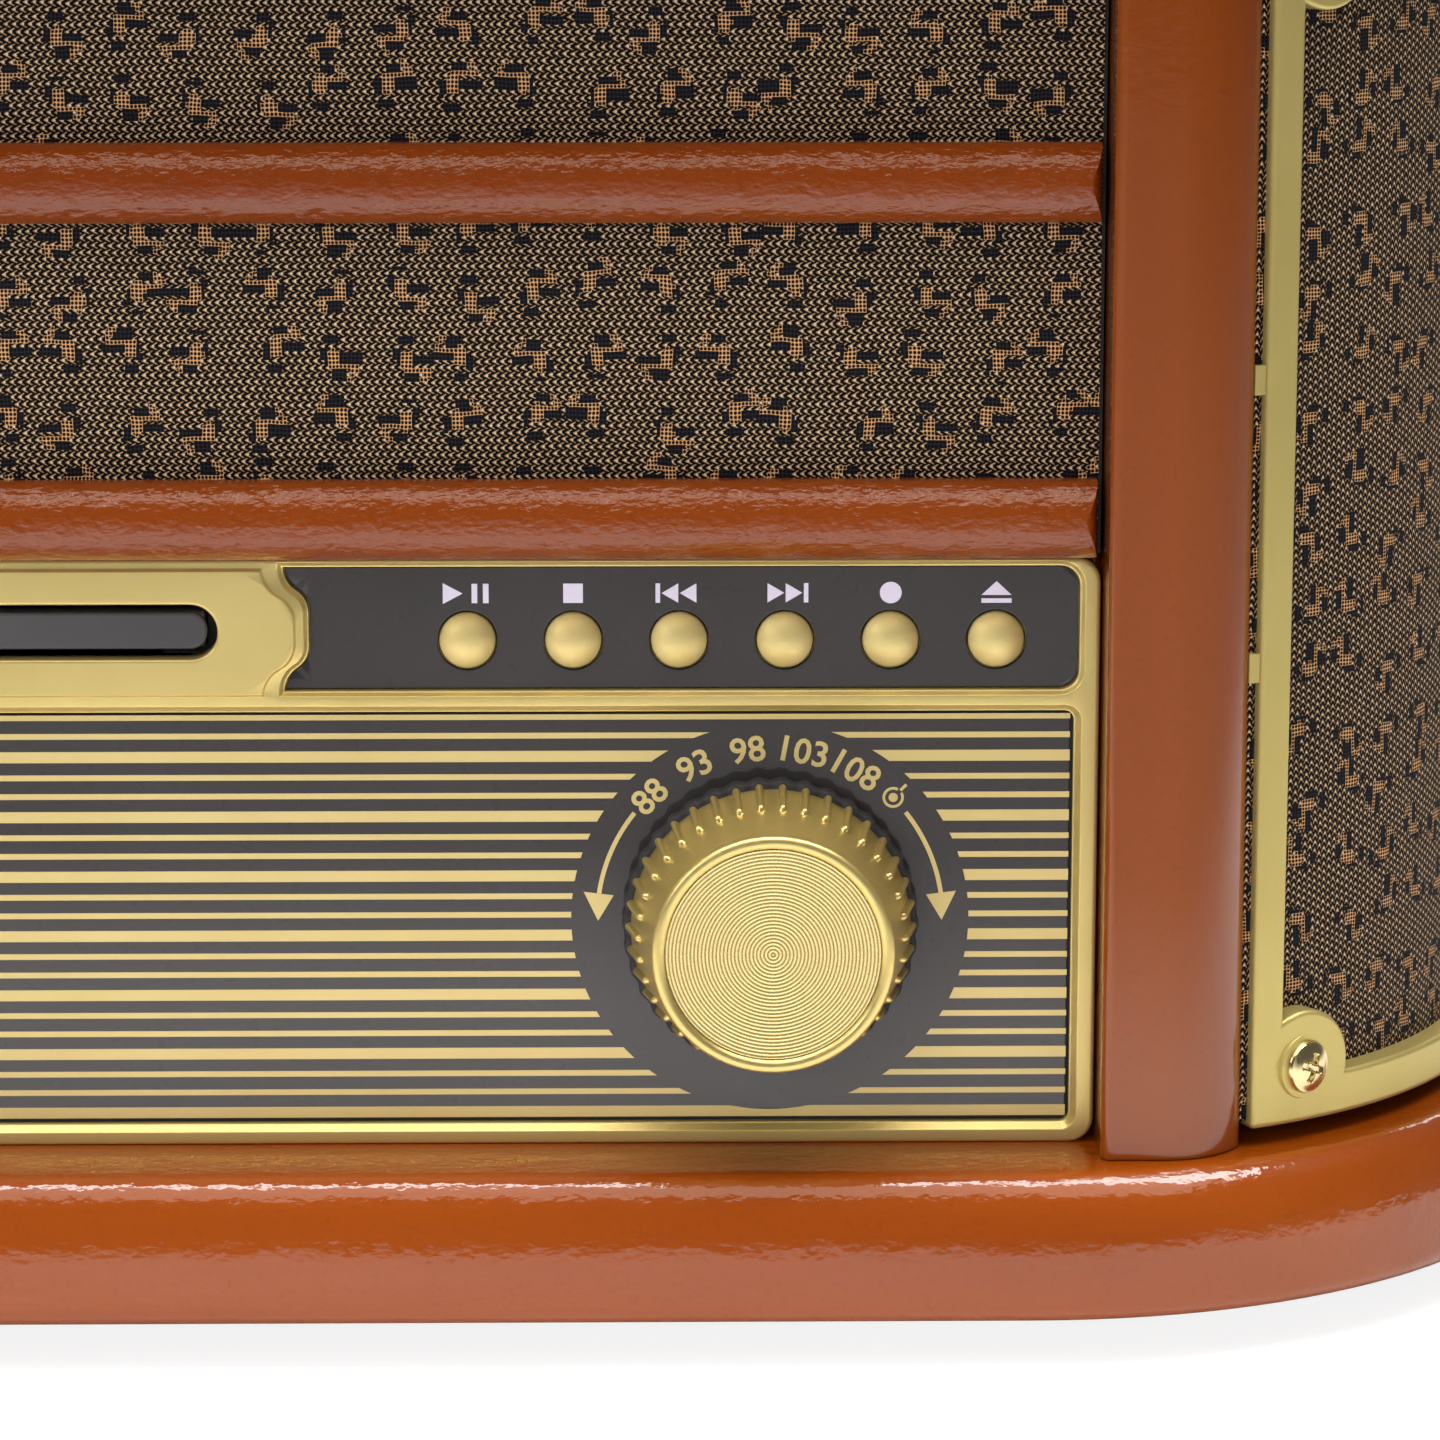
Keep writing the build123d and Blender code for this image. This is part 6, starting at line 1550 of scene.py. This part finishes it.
# ---- knobs ----
@dataclass
class Knob:
    """Ribbed gold cap with a spun face on a black core."""

    side: int
    body: str
    ribs: int = 38
    rib: float = 0.6
    back: float = 3.2
    grip: float = 18.65
    taper: float = 0.188
    rib_end: float = 10.6
    rib_crest: float = 0.75
    face_radius: float = 14.05
    face_seat: float = 18.2
    face_rim: float = 18.95
    face_dish: float = 0.25
    face_wave: float = 0.01
    face_pitch: float = 0.48
    scallop: float = 0.2
    rim_radius: float = 15.0
    rim_height: float = 18.75
    rim_roll: tuple = (0.9, 0.85)
    recess: tuple = (14.15, 18.4)

    def cone(self, height: np.ndarray) -> np.ndarray:
        """Radius of the cap at a height over the panel, closing evenly towards the rim."""
        return self.grip - self.taper * (np.asarray(height, float) - self.back)

    def rib_ripple(self, angle: np.ndarray, height: np.ndarray) -> np.ndarray:
        """Ribs like half rods with a ball end.

        Across a rib the height over the cone falls off as the root of one less the square of the share of its
        half-width, and in front of the last half-width it does the same along the rib.

        Args:
            angle: angle round the axis.
            height: height over the panel.
        Returns:
            What the ribs add to the radius.
        """
        pitch = 2 * np.pi / self.ribs
        across = (np.mod(angle + pitch / 2, pitch) - pitch / 2) * self.grip / self.rib
        ahead = np.clip((height - self.rib_end + self.rib) / self.rib, 0, None)
        rod = np.sqrt(np.clip(1 - across ** 2 - ahead ** 2, 0, 1))
        stands = (height > self.back) & (height < self.rib_end + 0.1)
        return stands * self.rib_crest * rod

    def cap(self) -> None:
        """Gold cap: ribbed cone, rounded rim and a shallow seat for the face."""
        turn, (out, up) = np.linspace(-0.35, np.pi, 14), self.rim_roll
        rim = np.column_stack([self.rim_radius + out * np.cos(turn), self.rim_height + up * np.sin(turn)])
        heights = np.concatenate([
            np.linspace(self.back + 0.15, 9.9, 16), np.linspace(10.0, 11.0, 11), np.linspace(11.5, 18.0, 14)])
        wall = np.column_stack([self.cone(heights), heights])
        start = [(0, self.back), (self.grip - 0.2, self.back)]
        reach, seat = self.recess
        profile = np.concatenate([start, wall, rim, [(reach, seat), (0, seat)]])
        skin = Skin()
        skin.turned(profile, self.origin(), FORWARD, self.ribs * 20, self.rib_ripple)
        kit.piece(f"{self.body}_cap", skin, KNOB_GOLD, self.body, "gold_knob", sharp=55)

    def origin(self) -> Vector:
        """The axis where it meets the panel's face."""
        return Vector((self.side * KNOB_X, PANEL_FACE, KNOB_Z))

    def face(self) -> None:
        """Spun disc: a fine cosine wave of the radius on a face dished by the square of the radius."""
        full = self.face_radius
        radius = np.arange(0, full, 0.08)
        dish = self.face_rim - self.face_dish * (1 - (radius / full) ** 2)
        wave = dish + self.face_wave * np.cos(2 * np.pi * radius / self.face_pitch)
        back = [(0, self.face_seat), (full, self.face_seat)]
        profile = np.concatenate([back, np.column_stack([radius, wave])[::-1]])
        skin = Skin()
        skin.turned(profile, self.origin(), FORWARD, 160)
        # the spun face darkens its cuts with painted shade
        spun = SpunFace(f"spun_gold_{self.body}", rgb(246, 228, 164), rgb(240, 220, 156), 0.26, 0.03,
                        metallic=0.92, axis=(self.side * KNOB_X, KNOB_Z))
        kit.piece(f"{self.body}_face", skin, spun, self.body, "gold_knob", sharp=60)

    def core(self, node: str) -> None:
        """Black core: scalloped skirt behind the cap, hub and shaft.

        Args:
            node: the CAD core that it stands for.
        """
        def scallop(angle: np.ndarray, height: np.ndarray) -> np.ndarray:
            """Cosine of the angle, on the skirt's outer wall alone."""
            return self.scallop * np.cos(self.ribs * angle) * ((height > 0.2) & (height < 3.1))
        profile = [(0, 3.3), (17.0, 3.3), (19.2, 3.2), (19.5, 2.9), (19.6, 0.7), (19.45, 0.35), (19.0, 0.1),
                   (17.6, 0.1), (17.6, 2.4), (7.0, 2.4), (7.0, -0.2), (3.0, -0.2), (3.0, -10.5), (0, -10.5)]
        skin = Skin()
        skin.turned(profile, self.origin(), FORWARD, self.ribs * 10, scallop)
        kit.piece(f"{self.body}_core", skin, BLACK_PLASTIC, self.body, "black_plastic", [node], sharp=50)

    def build(self, node: str) -> None:
        """Make the knob.

        Args:
            node: start of the names of its CAD nodes; the cap and the face stand for the CAD cap.
        """
        self.cap()
        self.face()
        self.core(node + "_core")
        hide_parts(node + "_knob")


# ---- cloth and grilles ----
@dataclass
class Grille:
    """Cloth behind the slats, and the curved corner frames with their cloth and screws."""

    corner_x: float = 175.0
    corner_y: float = -95.0
    radius: float = 69.7
    start_x: float = 203.9
    rear: float = -30.0
    low: float = 27.3
    high: float = 192.0
    bar: float = 5.8
    foot_bar: float = 6.1
    thickness: float = 3.5
    screw_in: float = 9.62
    screw_up: float = 7.8
    screw_rear: float = 8.0
    screw_sunk: float = 0.6
    head_height: float = 1.75
    cross_half: float = 0.52
    cross_reach: float = 2.1
    cross_depth: float = 1.15
    cross_turn: float = 0.35
    shank_radius: float = 1.55
    shank_length: float = 21.0
    pad_radius: float = 7.7
    facing: float = 39.42
    tab_lows: tuple = (88.6, 126.9)
    tab_height: float = 3.9
    front_half: float = 183.1
    front_z: tuple = (105.2, 194.3)
    cloth_thickness: float = 1.0
    cloth_z: tuple = (28.3, 191.0)
    rear_screw_x: float = 233.7
    rear_screw_y: float = 164.7
    rear_screw_z: tuple = (45.0, 109.65, 174.3)

    def start(self) -> float:
        """Angle from the front at which the frame begins."""
        return math.asin((self.start_x - self.corner_x) / self.radius)

    def length(self) -> float:
        """Length of the frame along its face."""
        return (math.pi / 2 - self.start()) * self.radius + self.rear - self.corner_y

    def bend(self, points: np.ndarray) -> np.ndarray:
        """Carry a plate round the corner: s turns the radius by s over R up to the side, then runs straight.

        Args:
            points: rows of s along the face, z, and d behind the face.
        Returns:
            Rows of x, y, z.
        """
        s, z, d = points[:, 0], points[:, 1], points[:, 2]
        quarter = (math.pi / 2 - self.start()) * self.radius
        angle = self.start() + np.minimum(s, quarter) / self.radius
        reach = self.radius - d
        straight = np.maximum(s - quarter, 0.0)
        x, y = self.corner_x + reach * np.sin(angle), self.corner_y - reach * np.cos(angle) + straight
        return np.stack([x, y, z], -1)

    def sheet(self, s: Sequence[float], z: Sequence[float], depth: float) -> np.ndarray:
        """Grid carried round the corner.

        Args:
            s: places along the face.
            z: heights.
            depth: distance behind the face.
        Returns:
            A row of x, y, z for each height.
        """
        across, up = np.meshgrid(s, z)
        flat = np.column_stack([across.ravel(), up.ravel(), np.full(across.size, depth)])
        return self.bend(flat).reshape(*across.shape, 3)

    def window(self) -> np.ndarray:
        """Opening of the frame: a rectangle bitten at each corner by a round screw pad. It turns left."""
        x0, x1, z0 = self.bar, self.length() - self.bar, self.low + self.foot_bar
        radius = self.pad_radius

        def bite(x: float, z: float, wall: float, floor: float) -> tuple[float, float]:
            """Half-angles at which the pad's circle meets the upright bar and the level bar."""
            upright, level = math.acos(abs(wall - x) / radius), math.asin(abs(floor - z) / radius)
            return math.degrees(upright), math.degrees(level)

        left, right = self.screw_in, self.length() - self.screw_rear
        low, high = self.low + self.screw_up, self.high - self.screw_up
        a, b = bite(left, low, x0, z0)
        c, d = bite(right, low, x1, z0)
        return np.concatenate([
            arc((left, low), radius, 180 - a, -b, 18),
            arc((right, low), radius, 180 + d, c, 18),
            arc((right, high), radius, -c, -180 - d, 18),
            arc((left, high), radius, b, -180 + a, 18)])

    def frame(self) -> Skin:
        """Right frame: plate with one opening, bent round the corner, with screw pads, tubes and tabs."""
        length = self.length()
        plate = MouldedPlate(resampled(rounded_box(0.9, length, self.low, self.high, 0.8, 4), 1.6), 0.9)
        plate.opening(resampled(self.window(), 1.6), 0.7)
        skin = plate.skin(self.thickness, self.bend)
        pad = [(0, -0.55), (4.3, -0.55), (4.5, -0.7), (4.6, -2.0), (7.5, -2.0), (7.5, -3.6), (4.0, -3.6),
               (4.0, -15.5), (0, -15.5)]
        for origin, way in self.screws():
            skin.turned(pad, origin, way, 48)
        for low in self.tab_lows:
            skin.slab(*(self.sheet((-0.7, 0.9), (low, low + self.tab_height), depth) for depth in (0.5, 3.0)))
        return skin

    def screws(self) -> list[tuple[Vector, Vector]]:
        """Place and facing of the right-hand grille screws."""
        turn, slope = self.start() + self.screw_in / self.radius, math.radians(self.facing)
        way = Vector((math.sin(slope), -math.cos(slope), 0))
        rise = self.radius * (1 - math.cos(turn - slope))
        x = self.corner_x + self.radius * math.sin(turn) + way.x * rise
        y = self.corner_y - self.radius * math.cos(turn) + way.y * rise
        side, back = self.corner_x + self.radius, self.rear - self.screw_rear
        found = []
        for z in (self.low + self.screw_up, self.high - self.screw_up):
            found += [(Vector((x, y, z)), way), (Vector((side, back, z)), RIGHT)]
        return found

    def cloth_sheets(self) -> None:
        """Woven cloths, each a thin slab with the place along the cloth kept for its weave."""
        half, front = self.front_half, Skin()
        marks = np.stack(np.meshgrid(np.linspace(-half, half, 3), np.linspace(*self.front_z, 3)), -1)
        front.slab(at_depth(marks, CLOTH_FACE), at_depth(marks, CLOTH_FACE + self.cloth_thickness), marks)
        kit.piece("front_weave", front, FRONT_CLOTH, "cabinet", "cloth", ["front_cloth"], sharp=50)
        side = Skin()
        z = np.linspace(*self.cloth_z, 3)
        field, turned_in = np.linspace(1.2, self.length() - 0.6, 90), (-0.45, 0.85)
        for s, depths in ((field, (3.4, 4.5)), (turned_in, (1.4, 3.39))):
            side.slab(*(self.sheet(s, z, depth) for depth in depths), np.stack(np.meshgrid(s, z), -1))
        other = mirrored(side)
        side.add(np.concatenate(other.points), other.faces, np.concatenate(other.marks))
        kit.piece("side_weave", side, SIDE_CLOTH, "cabinet", "cloth", ["grille_cloths"], sharp=50)

    def screw_heads(self) -> None:
        """Pan-head cross screws of the grilles and the rear panel, on both sides."""
        skin = Skin()
        sunk = [(origin - self.screw_sunk * way, way) for origin, way in self.screws()]
        rear = [(Vector((self.rear_screw_x, self.rear_screw_y, z)), BACKWARD)
                for z in self.rear_screw_z]
        for origin, way in sunk + rear:
            self.screw_head(skin, origin, way)
        other = mirrored(skin)
        skin.add(np.concatenate(other.points), other.faces)
        kit.piece("pan_screws", skin, ZINC, "cabinet", "screw_gold", ["case_screws"], sharp=38)

    def screw_head(self, skin: Skin, origin: Vector, way: Vector) -> None:
        """One screw: head, cross recess and shank in one closed surface.

        The head's height falls with the square of the radius. The recess is the larger of two bars with
        S-curved walls, less deep away from the middle.

        Args:
            skin: the skin to add to.
            origin: where the head meets what it holds.
            way: the way it faces.
        """
        side = UP.cross(way).normalized()
        up = way.cross(side)
        radius = np.concatenate([np.linspace(0, 2.7, 19), [3.1, 3.4, 3.58, 3.65, 3.65, 3.6]])[:, None]
        angle = np.linspace(0, 2 * np.pi, 72, endpoint=False)[None, :]
        level = self.head_height - 0.085 * radius ** 2 * np.ones_like(angle)
        level[-5:] = np.array([0.85, 0.55, 0.3, 0.12, 0.0])[:, None]
        u, v = radius * np.cos(angle + self.cross_turn), radius * np.sin(angle + self.cross_turn)
        bars = [smooth((self.cross_half - np.abs(a)) / 0.16) * smooth((self.cross_reach - np.abs(b)) / 0.35)
                for a, b in ((u, v), (v, u))]
        level = level - np.maximum(*bars) * (self.cross_depth - 0.3 * np.clip(radius, 0, 2.2))
        x, y = radius * np.cos(angle), radius * np.sin(angle)
        base = np.array(origin)
        points = (base + x[..., None] * np.array(side) + y[..., None] * np.array(up)
                  + level[..., None] * np.array(way))
        skin.grid(points, wrap_columns=True)
        shank, thin, long = [points[-1]], self.shank_radius, self.shank_length
        for reach, drop in ((thin, 0.0), (thin, -long), (0.0, -long - 1.0)):
            shank.append(base + (reach * np.cos(angle[0]))[:, None] * np.array(side)
                         + (reach * np.sin(angle[0]))[:, None] * np.array(up) + drop * np.array(way))
        skin.grid(np.stack(shank), wrap_columns=True)

    def build(self) -> None:
        """Make the cloths, frames and screws."""
        self.cloth_sheets()
        skin = self.frame()
        for side, shape in (("right", skin), ("left", mirrored(skin))):
            kit.piece(f"corner_frame_{side}", shape, MATT_GOLD, "cabinet", "gold_matt",
                      [f"grille_frame_{side}"], sharp=50, even=True)
        self.screw_heads()
        kit.dressed(["speakers"], PAPER)


# ---- record deck and lid ----
@dataclass
class RecordDeck:
    """Platter, mat, arm, lid and hinges."""

    spindle_x: float = -50.0
    spindle_y: float = -2.0
    platter_top: float = 213.5
    deck_top: float = 203.3
    mat_hole: float = 3.95
    mat_radius: float = 98.0
    label_radius: float = 34.0
    ring_pitch: float = 5.6
    marks_x: float = 197.5
    lid_low: float = 208.8
    lid_high: float = 252.0
    lid_ceiling: float = 243.0
    lid_inset: float = 5.0
    lid_roll: float = 10.0
    lid_hollow: float = 17.0

    def mat(self) -> None:
        """Slip mat: rings raised by a rounded wave of the radius, with a plain label ring."""
        hole, full = self.mat_hole, self.mat_radius
        radius = np.arange(hole, full - 0.1, 0.7)
        ringed = radius > self.label_radius
        wave = 1.15 + 0.3 * np.abs(np.sin(np.pi * radius / self.ring_pitch)) ** 0.6 * ringed
        edge = [(full, 0.9), (full, 0.0), (hole, 0.0)]
        profile = np.concatenate([[(hole, 0.0)], np.column_stack([radius, wave]), edge])
        skin = Skin()
        middle = Vector((self.spindle_x, self.spindle_y, self.platter_top))
        skin.turned(profile, middle, UP, 160)
        kit.piece("ringed_mat", skin, FELT, "platter", "felt", ["slip_mat"], sharp=50)

    def speed_marks(self) -> None:
        """Speeds beside their switch."""
        skin = Skin()
        for label, y in (("33", -95.0), ("45", -91.0), ("78", -87.0)):
            points, faces = lettering(label, 2.6)
            place = (self.marks_x, y - 1.2, self.deck_top + 0.01)
            skin.add(points + place, faces)
        kit.piece("speed_marks", skin, PRINT_PALE, "cabinet", "black_plastic", sharp=50)

    def lid(self, cabinet: Cabinet) -> None:
        """Hollow lid: wall, quarter roll, level top, and the hollow underneath.

        Args:
            cabinet: gives the plan.
        """
        low, high, ceiling = self.lid_low, self.lid_high, self.lid_ceiling
        inset, roll, inner = self.lid_inset, self.lid_roll, self.lid_hollow
        levels = [(inner + 0.6, ceiling), (inner, ceiling - 0.6), (inner, low + 0.4), (inner - 0.4, low),
                  (inset + 0.5, low), (inset, low + 0.5)]
        levels += [(inset + roll * (1 - math.cos(a)), high - roll * (1 - math.sin(a)))
                   for a in np.linspace(0, np.pi / 2, 13)]
        levels += [(inner, high)]
        kit.piece("hollow_lid", cabinet.stack(levels, 2.0), LACQUER, "lid", "wood_lacquer", ["lid"],
                  even=True)

    def build(self, cabinet: Cabinet) -> None:
        """Make every piece of the deck and the lid.

        Args:
            cabinet: gives the lid's plan.
        """
        self.mat()
        self.speed_marks()
        self.lid(cabinet)
        for node, finish, body, slot, bevel in (
                ("deck", BLACK_PLASTIC, "cabinet", "black_plastic", 0.5),
                ("platter", ALUMINIUM, "platter", "aluminium", 0.3),
                ("spindle", STEEL, "cabinet", "steel", 0.2),
                ("tonearm_base", BLACK_PLASTIC, "cabinet", "black_plastic", 0.4),
                ("tonearm_yoke", BLACK_PLASTIC, "arm_yoke", "black_plastic", 0.3),
                ("tonearm", BLACK_PLASTIC, "tonearm", "black_plastic", 0.4),
                ("cartridge", GREY_PLASTIC, "tonearm", "black_plastic", 0.25),
                ("cue_lever", BLACK_PLASTIC, "cue_lever", "black_plastic", 0.25),
                ("speed_switch", GREY_PLASTIC, "speed_switch", "black_plastic", 0.3),
                ("rear_sockets", BLACK_PLASTIC, "cabinet", "black_plastic", 0.25),
                ("cabinet_hinges", STEEL, "cabinet", "steel", 0.15),
                ("lid_hinges", STEEL, "lid", "steel", 0.15),
                ("lid_rail", STEEL, "lid", "steel", 0.15),
                ("lid_stay", STEEL, "lid_stay", "steel", 0.15)):
            kit.softened(node, finish, body, slot, bevel)
        kit.dressed(["drive_belt"], BELT_RUBBER)
        kit.dressed(["motor"], STEEL)
        kit.dressed(["motor_pulley"], ALUMINIUM)


# ---- studio ----
@dataclass
class Studio:
    """Pale floor, soft lights and the camera."""

    lens: float = 129.75
    camera: tuple = (124.6, -828.8, 222.4)
    pitch: float = 11.67
    yaw: float = 0.74
    dimness: float = 0.12
    sheet: float = 0.38
    beyond: float = 0.3
    reach: float = 6

    def floor(self) -> None:
        """Wide pale floor with a white sheet under the object; nearly white to the lens, softly shadowed."""
        recipe = Recipe("studio_floor")
        place = recipe.vector("SUBTRACT", recipe.place, (0.0, 0.05, 0.0))
        away = recipe.vector("LENGTH", recipe.vector("MULTIPLY", place, (0.72, 1.0, 0.0)))
        tone = recipe.spread(away, self.sheet, self.sheet + 0.12, 0.85, self.beyond)
        grey = recipe.node("ShaderNodeCombineColor", {0: tone, 1: tone, 2: tone}).outputs[0]
        recipe.paint("Base Color", grey)
        recipe.paint("Roughness", 0.9)
        rays = recipe.node("ShaderNodeLightPath", {})
        glow = recipe.node("ShaderNodeEmission", {"Color": (1.0, 1.0, 1.0, 1.0), "Strength": 1.1})
        seen = recipe.maths("MULTIPLY", rays.outputs["Is Camera Ray"], 0.78)
        mixed = recipe.node("ShaderNodeMixShader", {0: seen, 1: recipe.shader.outputs[0], 2: glow.outputs[0]})
        recipe.tree.links.new(mixed.outputs[0], recipe.tree.nodes["Material Output"].inputs[0])
        mesh = bpy.data.meshes.new("studio_floor")
        far = self.reach
        mesh.from_pydata([(-far, -far, 0), (far, -far, 0), (far, far, 0), (-far, far, 0)], [], [(0, 1, 2, 3)])
        mesh.materials.append(recipe.material)
        thing = bpy.data.objects.new("studio_floor", mesh)
        bpy.context.scene.collection.objects.link(thing)
        thing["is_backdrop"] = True

    def world(self) -> None:
        """Dim surroundings over a bright floor; the lens itself sees them white."""
        world = bpy.data.worlds.new("surroundings")
        bpy.context.scene.world = world
        world.use_nodes = True
        tree = world.node_tree
        back = tree.nodes["Background"]
        back.inputs["Color"].default_value = (1.0, 1.0, 1.0, 1.0)
        rays = tree.nodes.new("ShaderNodeLightPath")
        strength = tree.nodes.new("ShaderNodeMix")
        strength.data_type = "FLOAT"
        strength.inputs[2].default_value = self.dimness
        strength.inputs[3].default_value = 1.0
        tree.links.new(rays.outputs["Is Camera Ray"], strength.inputs[0])
        tree.links.new(strength.outputs[0], back.inputs["Strength"])

    def lamp(self, name: str, place: Sequence[float], aim: Sequence[float], size: Sequence[float],
             watts: float, shown: bool = True, tint: Sequence[float] = (1.0, 1.0, 1.0)) -> None:
        """Soft rectangular lamp.

        Args:
            name: its name.
            place, aim: where it stands and what it faces, in metres.
            size: width and height in metres.
            watts: its power.
            shown: whether smooth surfaces mirror it.
            tint: colour of its light.
        """
        light = bpy.data.lights.new(name, "AREA")
        light.shape, light.size, light.size_y, light.energy = "RECTANGLE", size[0], size[1], watts
        light.color = tint
        thing = bpy.data.objects.new(name, light)
        thing.location = place
        thing.rotation_euler = (Vector(aim) - Vector(place)).to_track_quat("-Z", "Y").to_euler()
        thing.visible_glossy = shown
        bpy.context.scene.collection.objects.link(thing)

    def lens_and_view(self) -> None:
        """Camera at the viewing place, turned by the yaw and down by the pitch."""
        data = bpy.data.cameras.new("camera")
        data.lens, data.sensor_width = self.lens, 36.0
        data.clip_end = 50.0
        thing = bpy.data.objects.new("camera", data)
        yaw, pitch = math.radians(self.yaw), math.radians(self.pitch)
        ahead = Vector((math.sin(yaw) * math.cos(pitch), math.cos(yaw) * math.cos(pitch), -math.sin(pitch)))
        thing.location = Vector(self.camera) * MM
        thing.rotation_euler = ahead.to_track_quat("-Z", "Y").to_euler()
        bpy.context.scene.collection.objects.link(thing)
        bpy.context.scene.camera = thing

    def build(self) -> None:
        """Set the whole studio."""
        self.floor()
        self.world()
        self.lamp("lamp_top", (0.1, -0.16, 1.25), (0.1, -0.16, 0.1), (1.7, 0.36), 27.5)
        self.lamp("lamp_fore", (0.1, -0.65, 1.2), (0.1, -0.45, 0.1), (1.7, 0.6), 8.0,
                  tint=(1.0, 0.9, 0.74))
        self.lamp("lamp_front", (-0.5, -2.2, 0.68), (0.1, -0.15, 0.1), (1.6, 0.3), 24.0, False)
        self.lamp("lamp_left", (-1.5, -1.1, 1.1), (0.1, -0.15, 0.1), (0.6, 0.6), 9.0)
        self.lamp("lamp_rear", (0.4, 1.9, 1.1), (0.0, 0.1, 0.1), (1.2, 0.8), 12.0)
        self.lens_and_view()
        bpy.context.scene.view_settings.view_transform = "Standard"


def keep_sizes() -> None:
    """Collect the CAD box and the finished model's box, in metres; the table is not kept."""
    boxes = {"cad": CAD_BOX, "visual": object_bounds()}
    {name: [[float(value) for value in corner] for corner in box] for name, box in boxes.items()}


def main() -> None:
    """Build the music centre and the studio round it."""
    logging.basicConfig(level=logging.INFO, format="%(message)s")
    cabinet = Cabinet()
    cabinet.build()
    ControlPanel().build()
    Knob(1, "tuning_control").build("tuning")
    Knob(-1, "volume_control").build("volume")
    Grille().build()
    RecordDeck().build(cabinet)
    Studio().build()
    keep_sizes()
    log.info("%d pieces", len(kit.done))


if __name__ == "__main__":
    main()
